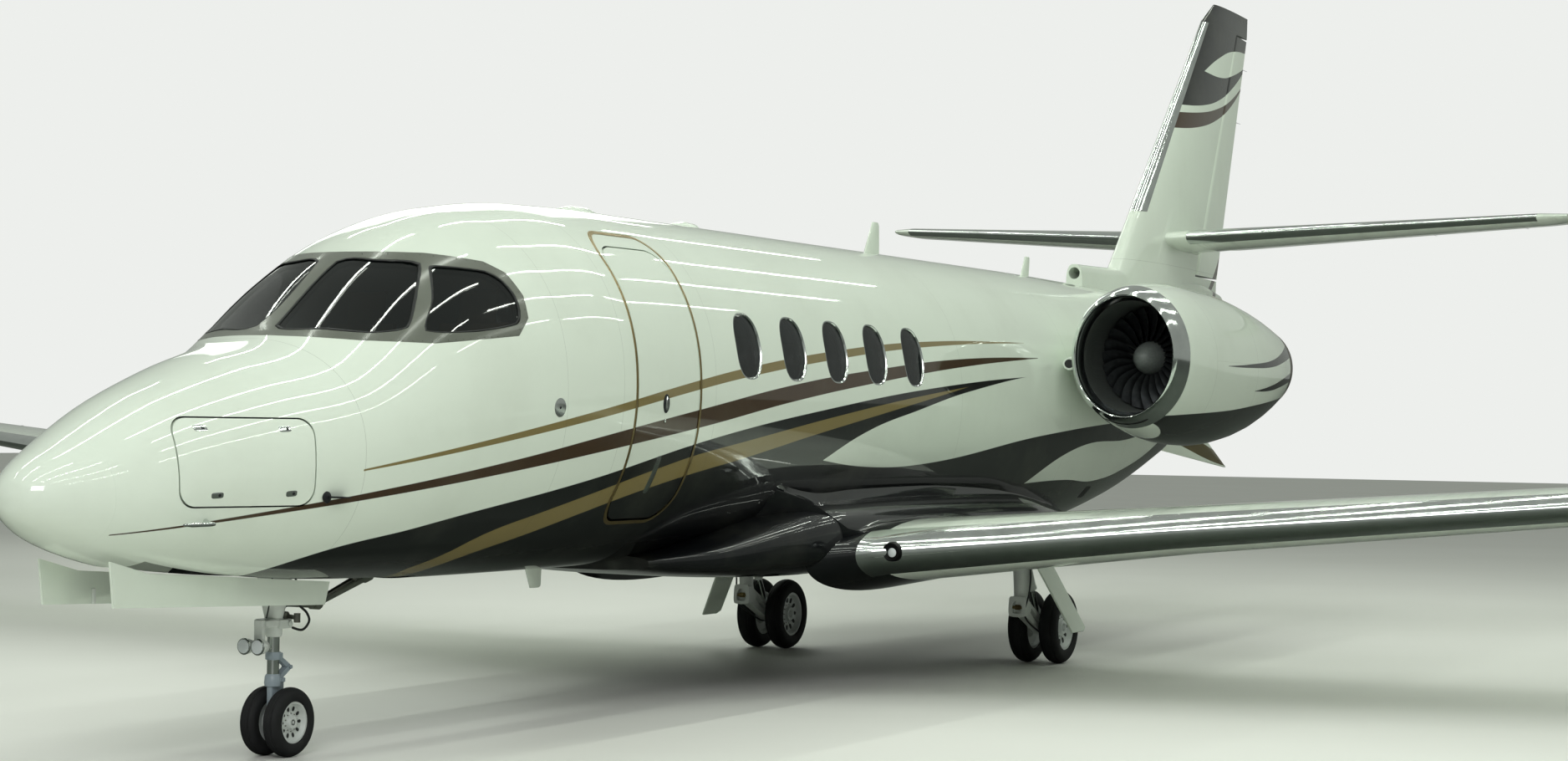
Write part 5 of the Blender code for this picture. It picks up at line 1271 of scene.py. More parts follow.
for side_sign, word in SIDES:
    carve(fairing, loft(glove_rings[side_sign]), operation="UNION")
    (inner, front, low), (outer, rear, high) = WHEEL_BAY
    xs = sorted((side_sign * inner, side_sign * outer))
    carve(fairing, block((xs[0], y_at(front), low), (xs[1], y_at(rear), high)))
carve(fairing, loft([hull_ring(at, 0.004, 96) for at in spaced(4.6, 13.4, 0.4)]))
fairing.data.shade_smooth()
fairing.data.set_sharp_from_angle(angle=math.radians(38))
put_on(fairing, "black_paint", "belly_fairing")


# The tail.
# A swept fin with a rudder carries the stabiliser part of the way up, in a rounded fairing at the crossing.
# A spine with a round air scoop runs ahead of the fin, whose black tip has white and brown sweeps.
STAB = ((0.10, 15.90, 2.02, 0.10, 3.76), (3.45, 17.60, 1.18, 0.09, 4.02), (3.70, 17.80, 0.95, 0.07, 4.04))
FIN = ((3.05, 14.50, 3.45, 0.105, 0.0), (3.42, 14.86, 3.12, 0.105, 0.0), (6.16, 17.46, 1.49, 0.09, 0.0),
       (6.375, 17.816, 1.15, 0.05, 0.0))
ELEVATOR_HINGE = 0.68
ELEVATOR_SPAN = (0.46, 3.40)
RUDDER_HINGE = 0.70
RUDDER_RISE = 0.022
RUDDER_SPAN = (3.46, 6.12)
DORSAL = ((13.87, 0.080, 3.385), (14.30, 0.088, 3.39), (15.00, 0.125, 3.40), (16.20, 0.172, 3.40),
          (17.20, 0.165, 3.38), (17.90, 0.11, 3.30))
DORSAL_BOTTOM = 3.00
SCOOP_HEIGHT = 3.30
SCOOP_RADIUS = 0.055
ROOT_FAIRING = ((15.62, 0.02), (15.72, 0.095), (15.92, 0.155), (16.35, 0.200), (16.80, 0.205), (17.04, 0.200))
ROOT_FAIRING_HEIGHT = 3.765

fin_paint, fin_tree, fin_shader = new_material("gloss polyurethane paint of the fin", **GLOSS)
spot, station, height, side = place_sockets(fin_tree)
TIP_LOW = ((16.5, 5.17), (17.2, 5.23), (17.8, 5.35), (18.3, 5.52), (18.9, 5.80))
TIP_LEAF_LOW = ((17.3, 5.60), (17.9, 5.60), (18.4, 5.69), (19.1, 5.90))
TIP_LEAF_HIGH = ((17.3, 5.60), (17.8, 5.80), (18.3, 5.93), (19.1, 5.99))
TIP_BAND = ((16.2, 4.99), (17.1, 5.07), (17.8, 5.21), (18.3, 5.37), (18.9, 5.66))
BASE_BAND = ((16.9, 3.05), (17.4, 3.22), (17.8, 3.42), (18.05, 3.62), (18.3, 3.9))
LOWEST_TIP = 4.9
tip = math_node(fin_tree, "MULTIPLY", above(fin_tree, height, height_curve(fin_tree, station, TIP_LOW)),
                above(fin_tree, height, LOWEST_TIP))
leaf = between(fin_tree, height, height_curve(fin_tree, station, TIP_LEAF_LOW), height_curve(fin_tree, station, TIP_LEAF_HIGH))
tip = math_node(fin_tree, "MULTIPLY", tip, math_node(fin_tree, "SUBTRACT", 1.0, leaf))
colour = painted_over(fin_tree, PAINT_WHITE, tip, PAINT_BLACK)
band_width = ((16.2, 0.17), (17.1, 0.15), (18.2, 0.08), (18.9, 0.01))
colour = painted_over(fin_tree, colour, ribbon(fin_tree, station, height, TIP_BAND, band_width), PAINT_BROWN)
base_width = ((17.0, 0.005), (17.5, 0.06), (18.0, 0.13), (18.6, 0.10))
colour = painted_over(fin_tree, colour, ribbon(fin_tree, station, height, BASE_BAND, base_width), PAINT_BROWN)
joints = seam_lines(fin_tree, height, (3.50, 6.14), 0.0018)
colour = painted_over(fin_tree, grime(fin_tree, spot, colour), math_node(fin_tree, "MULTIPLY", joints, 0.6), from_hex("3A3D38"))
fin_tree.links.new(colour, fin_shader.inputs["Base Color"])
fin_tree.links.new(orange_peel(fin_tree, spot, 0.0010, 2.2), fin_shader.inputs["Normal"])

fin = put_mesh("fin_skin", surface(FIN, "fin", [3.05, 3.2, 3.42, 4.1, 4.8, 5.5, 6.16, 6.25, 6.32, 6.375]), fin_paint)
spine_rings = []
for at in spaced(13.87, 17.90, 0.12):
    half, top = (smooth_curve(column(DORSAL, index), at) for index in (1, 2))
    spine_rings.append([(x, y_at(at), z) for x, z in oval(half, (top - DORSAL_BOTTOM) / 2, 2.8,
                                                          (0, (top + DORSAL_BOTTOM) / 2), 48)])
carve(fin, loft(spine_rings), operation="UNION")
bullet_rings = []
for at in [15.62, 15.63, 15.65, 15.68, 15.72, 15.8, 15.92, 16.1, 16.35, 16.6, 16.80, 17.04]:
    half = smooth_curve(ROOT_FAIRING, at)
    bullet_rings.append([(x, y_at(at), z) for x, z in oval(half, half * 0.62, 2.0, (0, ROOT_FAIRING_HEIGHT), 48)])
carve(fin, loft(bullet_rings), operation="UNION")


def round_bar(start, end, radius, end_radius=None, points=32):
    start, end = Vector(start), Vector(end)
    turn = Vector((0, 0, 1)).rotation_difference(end - start)
    rings = []
    for centre, size in ((start, radius), (end, radius if end_radius is None else end_radius)):
        rings.append([centre + turn @ Vector((size * math.cos(2 * math.pi * (i + 0.5) / points),
                                              size * math.sin(2 * math.pi * (i + 0.5) / points), 0))
                      for i in range(points)])
    return loft(rings)


carve(fin, round_bar((0, y_at(13.77), SCOOP_HEIGHT), (0, y_at(14.27), SCOOP_HEIGHT), SCOOP_RADIUS))
carve(fin, cove(FIN, "fin", (RUDDER_SPAN[0] - RUDDER_RISE, RUDDER_SPAN[1] + RUDDER_RISE), RUDDER_HINGE))
fin.data.shade_smooth()
fin.data.set_sharp_from_angle(angle=math.radians(34))
put_on(fin, "white_paint", "fin")
rudder = put_mesh("rudder_skin", control(FIN, "fin", RUDDER_SPAN, RUDDER_HINGE), fin_paint, 30)
put_on(rudder, "white_paint", "rudder")

stab_paint, stab_tree, stab_shader = new_material("gloss polyurethane paint of the stabiliser", **GLOSS)
spot, station, height, side = place_sockets(stab_tree)
colour = grime(stab_tree, spot, streaks(stab_tree, spot, PAINT_WHITE))
colour = painted_over(stab_tree, colour, math_node(stab_tree, "MULTIPLY", seam_lines(stab_tree, side, (0.45, 3.42), 0.002), 0.7),
                      from_hex("2E302E"))
stab_tree.links.new(colour, stab_shader.inputs["Base Color"])
stab_tree.links.new(orange_peel(stab_tree, spot, 0.0008, 2.6), stab_shader.inputs["Normal"])
for side_sign, word in SIDES:
    stab = put_mesh(f"stabiliser_skin_{word}",
                    surface(STAB, "wing", [0.10, 0.6, 1.2, 1.9, 2.7, 3.45, 3.55, 3.64, 3.70], side_sign), stab_paint)
    gaps = (ELEVATOR_SPAN[0] - MOVING_GAP, ELEVATOR_SPAN[1] + MOVING_GAP)
    carve(stab, cove(STAB, "wing", gaps, ELEVATOR_HINGE, side_sign))
    xs = sorted((-side_sign * 0.1, side_sign * ELEVATOR_SPAN[0]))
    carve(stab, block((xs[0], y_at(17.08), 3.3), (xs[1], y_at(18.6), 4.4)))
    stab.data.shade_smooth()
    stab.data.set_sharp_from_angle(angle=math.radians(30))
    put_on(stab, "white_paint", f"stabiliser_{word}")
    elevator = put_mesh(f"elevator_skin_{word}", control(STAB, "wing", ELEVATOR_SPAN, ELEVATOR_HINGE, side_sign), stab_paint, 30)
    put_on(elevator, "white_paint", f"elevator_{word}")
    boot = put_mesh(f"stabiliser_boot_{word}", surface(STAB, "wing", [0.34, 1.2, 2.2, 3.44], side_sign, first=0.0,
                                                       last=0.07, lift=0.0015, steps=12), chrome, 50)
    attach(boot, "airframe")
    for number, span in enumerate((2.2, 3.1)):
        lead, chord, ratio, z = panel_at(STAB, span)
        wick(f"stabiliser_wick_{word}_{number}", (side_sign * span, lead + chord - 0.002, z), dark_cup, f"elevator_{word}")
for number, span in enumerate((5.2, 5.8)):
    lead, chord, ratio, _z = panel_at(FIN, span)
    wick(f"fin_wick_{number}", (0, lead + chord - 0.002, span), dark_cup, "rudder")
fin_boot = put_mesh("fin_leading_edge", surface(FIN, "fin", [4.0, 4.8, 5.5, 6.14], first=0.0, last=0.06, lift=0.0012, steps=12),
                    chrome, 50)
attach(fin_boot, "airframe")


# The engines.
# A composite nacelle on a stub pylon, with a polished inlet lip, a lined duct and a ring of wide metal fan blades.
# Black sweeps run along its side, and the core's cone and nozzle show at the rear.
NACELLE_X = 1.62
NACELLE_HEIGHT = 2.44
NACELLE_FRONT = 10.84
NACELLE_LENGTH = 3.35
DUCT_RADIUS = 0.435
FAN_SETBACK = 0.62
LIP_DEPTH = 0.21
FAN_BLADES = 24
OUTSIDE = ((0.0, 0.495, 0.425, 0.0), (0.02, 0.520, 0.450, 0.0), (0.10, 0.552, 0.476, 0.0),
           (0.35, 0.605, 0.510, 0.010), (0.9, 0.660, 0.535, 0.040), (1.5, 0.665, 0.535, 0.060),
           (2.2, 0.610, 0.520, 0.060), (2.8, 0.510, 0.470, 0.045), (3.35, 0.385, 0.385, 0.020))
INSIDE = ((0.04, 0.475, 0.405, 0.0), (0.16, 0.455, 0.400, 0.0), (0.45, 0.435, 0.435, 0.0), (2.2, 0.435, 0.435, 0.0),
          (2.8, 0.415, 0.415, 0.0), (3.35, 0.350, 0.350, 0.020))
OUTSIDE_ALONG = [0.0, 0.006, 0.02, 0.045, 0.075, 0.10, 0.15, LIP_DEPTH, 0.28, 0.35, 0.5, 0.7, 0.9, 1.2, 1.5, 1.8, 2.0, 2.2,
                 2.5, 2.8, 3.05, 3.2, 3.35]
INSIDE_ALONG = [3.35, 3.1, 2.8, 2.4, 2.0, 1.4, 0.9, 0.6, 0.45, 0.34, 0.25, 0.16, 0.10, 0.06, 0.035, 0.018, 0.006]
NACELLE_POINTS = 96


def nacelle_ring(side, table, along):
    tall, wide, drop = (smooth_curve(column(table, index), along) for index in (1, 2, 3))
    if along < 0.04 and table is INSIDE:
        t = along / 0.04
        tall = 0.495 - (0.495 - 0.475) * math.sqrt(t)
        wide = 0.425 - (0.425 - 0.405) * math.sqrt(t)
    return [(side * (NACELLE_X + wide * math.cos(2 * math.pi * i / NACELLE_POINTS)), y_at(NACELLE_FRONT + along),
             NACELLE_HEIGHT - drop + tall * math.sin(2 * math.pi * i / NACELLE_POINTS)) for i in range(NACELLE_POINTS)]


nacelle_paint, nacelle_tree, nacelle_shader = new_material("gloss polyurethane paint of the nacelles", **GLOSS)
spot, station, height, side = place_sockets(nacelle_tree)
UPPER_SWEEP = ((11.9, 2.385), (12.5, 2.40), (13.2, 2.44), (13.8, 2.53), (14.2, 2.60))
UPPER_WIDTH = ((11.9, 0.004), (12.6, 0.035), (13.4, 0.07), (14.2, 0.13))
MIDDLE_SWEEP = ((12.7, 2.19), (13.2, 2.225), (13.7, 2.29), (14.2, 2.36))
MIDDLE_WIDTH = ((12.7, 0.004), (13.3, 0.05), (14.2, 0.085))
LOWER_TOP = ((10.9, 1.955), (11.5, 1.985), (12.2, 2.02), (12.9, 2.075), (13.6, 2.13), (14.2, 2.17))
LOWER_BOTTOM = ((10.9, 1.93), (11.4, 1.80), (12.0, 1.5), (14.2, 1.5))
TOP_LINE = ((12.4, 2.99), (13.0, 2.93), (13.6, 2.80), (14.2, 2.66))
colour = PAINT_WHITE
sweep = ribbon(nacelle_tree, station, height, UPPER_SWEEP, UPPER_WIDTH)
sweep = math_node(nacelle_tree, "MAXIMUM", sweep, ribbon(nacelle_tree, station, height, MIDDLE_SWEEP, MIDDLE_WIDTH))
low_field = between(nacelle_tree, height, height_curve(nacelle_tree, station, LOWER_BOTTOM),
                    height_curve(nacelle_tree, station, LOWER_TOP))
outboard = above(nacelle_tree, side, 1.30)
sweep = math_node(nacelle_tree, "MULTIPLY", math_node(nacelle_tree, "MAXIMUM", sweep, low_field), outboard)
colour = painted_over(nacelle_tree, grime(nacelle_tree, spot, PAINT_WHITE), sweep, PAINT_BLACK)
line = ribbon(nacelle_tree, station, height, TOP_LINE, ((12.4, 0.006), (13.2, 0.014), (14.2, 0.012)))
colour = painted_over(nacelle_tree, colour, line, from_hex("B5652A"))
joints = seam_lines(nacelle_tree, station, (NACELLE_FRONT + LIP_DEPTH + 0.004, 11.62, 12.72, 13.78), 0.0022)
hatch = math_node(nacelle_tree, "MULTIPLY", between(nacelle_tree, station, 11.62, 13.78),
                  seam_lines(nacelle_tree, height, (NACELLE_HEIGHT - 0.02,), 0.0016))
joints = math_node(nacelle_tree, "MAXIMUM", joints, math_node(nacelle_tree, "MULTIPLY", hatch, 0.6))
colour = painted_over(nacelle_tree, colour, math_node(nacelle_tree, "MULTIPLY", joints, 0.55), from_hex("3A3D38"))
nacelle_tree.links.new(colour, nacelle_shader.inputs["Base Color"])
nacelle_tree.links.new(orange_peel(nacelle_tree, spot, 0.0014, 2.4), nacelle_shader.inputs["Normal"])

liner, liner_tree, liner_shader = new_material("perforated dark composite liner", Roughness=0.55)
spot, *_rest = place_sockets(liner_tree)
holes = add_node(liner_tree, "ShaderNodeTexVoronoi", {"Vector": spot, "Scale": 90.0, "Randomness": 0.0})
liner_tree.links.new(painted_over(liner_tree, from_hex("3A3D3B"), holes.outputs["Distance"], from_hex("565A57")),
                     liner_shader.inputs["Base Color"])

hot_metal, hot_tree, hot_shader = new_material("heat-tinted nickel alloy", Metallic=1.0, Roughness=0.36)
spot, station, *_rest = place_sockets(hot_tree)
bands = add_node(hot_tree, "ShaderNodeTexNoise", {"Vector": spot, "Scale": 6.0, "Detail": 6.0})
hot_tree.links.new(painted_over(hot_tree, from_hex("5B5048"), bands.outputs["Fac"], from_hex("8D867D")),
                   hot_shader.inputs["Base Color"])

titanium, titanium_tree, titanium_shader = new_material("forged titanium fan blades", Metallic=0.9, Roughness=0.34)
spot, *_rest = place_sockets(titanium_tree)
forge = add_node(titanium_tree, "ShaderNodeTexNoise", {"Vector": spot, "Scale": 22.0, "Detail": 6.0})
titanium_tree.links.new(painted_over(titanium_tree, from_hex("3E4144"), forge.outputs["Fac"], from_hex("6A6D70")),
                        titanium_shader.inputs["Base Color"])
spinner_paint, spinner_tree, spinner_shader = new_material("matt grey polyurethane on the spinner", Roughness=0.45)
spot, *_rest = place_sockets(spinner_tree)
erosion = add_node(spinner_tree, "ShaderNodeTexNoise", {"Vector": spot, "Scale": 60.0, "Detail": 6.0})
spinner_tree.links.new(painted_over(spinner_tree, from_hex("585D5B"), erosion.outputs["Fac"], from_hex("7B807D")),
                       spinner_shader.inputs["Base Color"])

for side_sign, word in SIDES:
    shell = put_mesh(f"nacelle_shell_{word}", loft([nacelle_ring(side_sign, OUTSIDE, at) for at in OUTSIDE_ALONG]
                                                   + [nacelle_ring(side_sign, INSIDE, at) for at in INSIDE_ALONG],
                                                   loop=True), nacelle_paint, 40)
    shell.data.materials.append(chrome)
    shell.data.materials.append(liner)
    shell.data.materials.append(hot_metal)
    for face in shell.data.polygons:
        along = face.center.y - y_at(NACELLE_FRONT)
        radius = math.hypot(face.center.x - side_sign * NACELLE_X, face.center.z - NACELLE_HEIGHT)
        if along > 0.16 and radius < 0.452 and face.normal.dot(Vector((face.center.x - side_sign * NACELLE_X, 0,
                                                                       face.center.z - NACELLE_HEIGHT))) < 0:
            face.material_index = 2 if along < 2.3 else 3
        elif along < LIP_DEPTH:
            face.material_index = 1
        elif along > 3.2:
            face.material_index = 3
    put_on(shell, "white_paint", f"nacelle_{word}")

    middle = Vector((side_sign * NACELLE_X, y_at(NACELLE_FRONT + FAN_SETBACK), NACELLE_HEIGHT))
    spinner_rings = []
    for along, radius in ((-0.2, 0.002), (-0.198, 0.014), (-0.19, 0.034), (-0.17, 0.062), (-0.14, 0.086), (-0.10, 0.106),
                          (-0.06, 0.121), (-0.02, 0.132), (0.03, 0.140), (0.08, 0.145), (0.12, 0.145)):
        spinner_rings.append([middle + Vector((radius * math.cos(math.pi * i / 24), along,
                                               radius * math.sin(math.pi * i / 24))) for i in range(48)])
    wheel = bmesh.new()
    hub_mesh = bpy.data.meshes.new("hub")
    loft(spinner_rings).to_mesh(hub_mesh)
    wheel.from_mesh(hub_mesh)
    hub_faces = len(wheel.faces)
    for blade in range(FAN_BLADES):
        angle = 2 * math.pi * blade / FAN_BLADES
        rows = []
        for step in range(10):
            t = step / 9
            reach = 0.135 + (DUCT_RADIUS - 0.010 - 0.135) * t
            pitch = side_sign * (math.radians(22) + math.radians(42) * t)
            chord = 0.088 + 0.040 * math.sin(math.pi * min(t * 0.9 + 0.1, 1)) + 0.02 * t
            thick = 0.011 * (1 - 0.68 * t)
            lean = -side_sign * 0.05 * math.sin(math.pi * t)
            sweep_aft = 0.018 * t * t
            ring = []
            for a, b in ((-1, 0), (-0.6, 0.75), (0.0, 1.0), (0.6, 0.62), (1, 0), (0.6, -0.38), (0.0, -0.5), (-0.6, -0.45)):
                along, across = a * chord / 2, b * thick / 2 + 0.008 * (1 - a * a)
                turned_along = along * math.cos(pitch) - across * math.sin(pitch) + 0.03 + sweep_aft
                turned_across = along * math.sin(pitch) + across * math.cos(pitch)
                around = angle + (turned_across + lean * 0.4) / reach
                ring.append(wheel.verts.new(middle + Vector((reach * math.cos(around), turned_along,
                                                             reach * math.sin(around)))))
            rows.append(ring)
        for row, following in zip(rows, rows[1:]):
            for i in range(8):
                j = (i + 1) % 8
                wheel.faces.new((row[i], row[j], following[j], following[i]))
        wheel.faces.new(rows[0][::-1])
        wheel.faces.new(rows[-1])
    fan = put_mesh(f"fan_wheel_{word}", wheel, titanium, 40)
    fan.data.materials.append(spinner_paint)
    for face in list(fan.data.polygons)[:hub_faces]:
        face.material_index = 1
    bpy.data.meshes.remove(hub_mesh)
    put_on(fan, "engine_metal", f"fan_{word}")

    core_rows = ((0.80, 0.09), (0.82, 0.17), (0.9, 0.225), (1.0, 0.26), (1.5, 0.27), (1.9, 0.27), (2.2, 0.25), (2.5, 0.22),
                 (2.9, 0.155), (3.2, 0.10), (3.32, 0.05), (3.34, 0.012))
    core_rings = [[Vector((side_sign * NACELLE_X + radius * math.cos(math.pi * i / 24), y_at(NACELLE_FRONT + along),
                           NACELLE_HEIGHT + radius * math.sin(math.pi * i / 24))) for i in range(48)]
                  for along, radius in core_rows]
    core_mesh = loft(core_rings)
    core_faces = bmesh.new()
    holder = bpy.data.meshes.new("core")
    core_mesh.to_mesh(holder)
    core_mesh.free()
    core_faces.from_mesh(holder)
    bpy.data.meshes.remove(holder)
    for vane in range(36):
        angle = 2 * math.pi * vane / 36
        rings = []
        for reach in (0.24, 0.43):
            ring = []
            for along, across in ((0, 0), (0.05, 0.007), (0.16, 0.004), (0.17, 0), (0.16, -0.004), (0.05, -0.003)):
                around = angle + (across - along * 0.25) / reach
                ring.append(core_faces.verts.new(Vector((side_sign * NACELLE_X + reach * math.cos(around),
                                                         y_at(NACELLE_FRONT + 0.95 + along),
                                                         NACELLE_HEIGHT + reach * math.sin(around)))))
            rings.append(ring)
        for i in range(6):
            j = (i + 1) % 6
            core_faces.faces.new((rings[0][i], rings[0][j], rings[1][j], rings[1][i]))
        core_faces.faces.new(rings[0][::-1])
        core_faces.faces.new(rings[1])
    core = put_mesh(f"engine_core_body_{word}", core_faces, hot_metal, 40)
    put_on(core, "engine_metal", f"engine_core_{word}")

    pylon_rings = []
    for x in (0.70, 0.95, 1.2, 1.45):
        t = (x - 0.70) / 0.75
        lead, scale = 11.55 + 0.20 * t, 1.0 - 0.05 * t
        pylon_rings.append([(side_sign * x, y_at(lead + aft * scale), NACELLE_HEIGHT - 0.06 + up * scale)
                            for aft, up in section(2.2, 0.10, steps=24)])
    pylon = put_mesh(f"pylon_skin_{word}", loft(pylon_rings), plain_white, 30)
    put_on(pylon, "white_paint", f"pylon_{word}")
    # The drain slot is not cut: a thin black pad on the lip is painted shade standing in for the opening.
    slot_rings = []
    for lift, share in ((0.0, 1.0), (0.0022, 0.97), (0.0024, 0.5)):
        ring = []
        for a, b in oval(0.20, 0.016, 4, (0, 0), 32):
            around = math.radians(-90) + side_sign * a * share / 0.5
            along = 0.090 + b * share
            tall, wide = (smooth_curve(column(OUTSIDE, index), along) for index in (1, 2))
            ring.append((side_sign * NACELLE_X + (wide + lift) * math.cos(around), y_at(NACELLE_FRONT + along),
                         NACELLE_HEIGHT + (tall + lift) * math.sin(around)))
        slot_rings.append(ring)
    slot_rings.insert(0, [(x, y, z + 0.01) for x, y, z in slot_rings[0]])
    drain_slot_shade = put_mesh(f"inlet_drain_slot_shade_{word}", loft(slot_rings), gasket)
    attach(drain_slot_shade, "airframe")
    pod(f"pylon_scoop_{word}", [(10.98, side_sign * 1.10, 2.38, 0.055, 0.050), (11.0, side_sign * 1.10, 2.38, 0.062, 0.056),
                                (11.35, side_sign * 1.09, 2.38, 0.066, 0.060), (11.9, side_sign * 1.08, 2.38, 0.05, 0.05)],
        plain_white)
    # The scoop is closed; a black disc at its front is painted shade standing in for its open mouth.
    pod(f"pylon_scoop_mouth_shade_{word}", [(10.974, side_sign * 1.10, 2.38, 0.038, 0.034),
                                      (10.99, side_sign * 1.10, 2.38, 0.044, 0.040)], gasket)


# The nose landing gear.
# A forged leg painted white, with a chromed sliding tube, a fork, torque links, steering links and twin lamps.
# Two small tyres with chined shoulders run on cast wheels with oval holes round the rim, drawn as dark plugs: painted
# shade for the hollows behind.
NOSE_AXLE = 2.10
NOSE_RADIUS = 0.190
NOSE_WIDTH = 0.105
NOSE_OFFSET = 0.078
MAIN_AXLE = 10.21
MAIN_RADIUS = 0.286
MAIN_WIDTH = 0.155
MAIN_OFFSET = 0.130
HALF_TRACK = 1.21
STEER_STATION = NOSE_AXLE - 0.045

rubber, rubber_tree, rubber_shader = new_material("worn black tyre rubber", Roughness=0.78)
spot, *_rest = place_sockets(rubber_tree)
dust = add_node(rubber_tree, "ShaderNodeTexNoise", {"Vector": spot, "Scale": 18.0, "Detail": 8.0})
rubber_tree.links.new(painted_over(rubber_tree, from_hex("0B0C0D"), dust.outputs["Fac"], from_hex("1B1C1E")),
                      rubber_shader.inputs["Base Color"])
rubber_bump = add_node(rubber_tree, "ShaderNodeBump", {"Height": dust.outputs["Fac"], "Distance": 0.0008, "Strength": 0.6})
rubber_tree.links.new(rubber_bump.outputs["Normal"], rubber_shader.inputs["Normal"])
leg_paint, leg_tree, leg_shader = new_material("white enamel on forged aluminium", Roughness=0.35, Coat_Weight=0.4,
                                               Coat_Roughness=0.15)
spot, *_rest = place_sockets(leg_tree)
leg_tree.links.new(grime(leg_tree, spot, from_hex("D5DAD5"), 0.35), leg_shader.inputs["Base Color"])
leg_tree.links.new(orange_peel(leg_tree, spot, 0.0002, 20.0), leg_shader.inputs["Normal"])
fork_paint, fork_tree, fork_shader = new_material("blue-grey enamel on the fork", Roughness=0.4, Coat_Weight=0.3,
                                                  Coat_Roughness=0.2)
spot, *_rest = place_sockets(fork_tree)
fork_tree.links.new(grime(fork_tree, spot, from_hex("8E9AA3"), 0.4), fork_shader.inputs["Base Color"])
wheel_paint, wheel_tree, wheel_shader = new_material("cast aluminium wheel enamel", Roughness=0.4, Coat_Weight=0.3,
                                                     Coat_Roughness=0.2)
spot, *_rest = place_sockets(wheel_tree)
wheel_tree.links.new(grime(wheel_tree, spot, from_hex("C9CECC"), 0.5), wheel_shader.inputs["Base Color"])
steel, steel_tree, steel_shader = new_material("cadmium-plated steel", Metallic=1.0, Roughness=0.32)
spot, *_rest = place_sockets(steel_tree)
plate = add_node(steel_tree, "ShaderNodeTexNoise", {"Vector": spot, "Scale": 30.0, "Detail": 6.0})
steel_tree.links.new(painted_over(steel_tree, from_hex("77787A"), plate.outputs["Fac"], from_hex("A9A799")),
                     steel_shader.inputs["Base Color"])
hose_rubber, hose_tree, hose_shader = new_material("braided black hose", Roughness=0.5)
spot, *_rest = place_sockets(hose_tree)
braid = add_node(hose_tree, "ShaderNodeTexVoronoi", {"Vector": spot, "Scale": 420.0, "Randomness": 0.0})
hose_tree.links.new(painted_over(hose_tree, from_hex("141516"), braid.outputs["Distance"], from_hex("3A3B3C")),
                    hose_shader.inputs["Base Color"])


def tyre(name, node, x, station, radius, width, bead, grooves):
    """A tyre turned from its section, with circular tread grooves, a worn crown and rounded beads."""
    half = width / 2
    profile = [(-half * 0.70, bead + 0.001), (-half * 0.86, bead + 0.004), (-half * 0.93, bead + 0.012)]
    steps = 26
    for i in range(3, steps - 2):
        angle = math.pi * i / steps
        out = bead + (radius - bead) * math.sin(angle) ** 0.55
        along = -half * math.cos(angle)
        for groove in grooves:
            if abs(along - groove * half) < half * 0.045:
                out -= 0.006
        profile.append((along, min(out, radius)))
    profile += [(half * 0.93, bead + 0.012), (half * 0.86, bead + 0.004), (half * 0.70, bead + 0.001)]
    rings = []
    for i in range(64):
        angle = 2 * math.pi * i / 64
        rings.append([(x + along, y_at(station) + out * math.cos(angle), radius + out * math.sin(angle))
                      for along, out in profile])
    obj = put_mesh(name, loft(rings, loop=True), rubber, 38)
    return put_on(obj, "tyre_rubber", node)


def ring_of(x, station, height, rows, points=64):
    """A body turned about an axle from (along, radius) rows."""
    return [[(x + along, y_at(station) + radius * math.cos(2 * math.pi * i / points),
              height + radius * math.sin(2 * math.pi * i / points)) for i in range(points)] for along, radius in rows]


def merge(target, shape):
    """Adds a closed shape to a bmesh."""
    holder = bpy.data.meshes.new("part")
    bmesh.ops.recalc_face_normals(shape, faces=shape.faces)
    shape.to_mesh(holder)
    shape.free()
    target.from_mesh(holder)
    bpy.data.meshes.remove(holder)


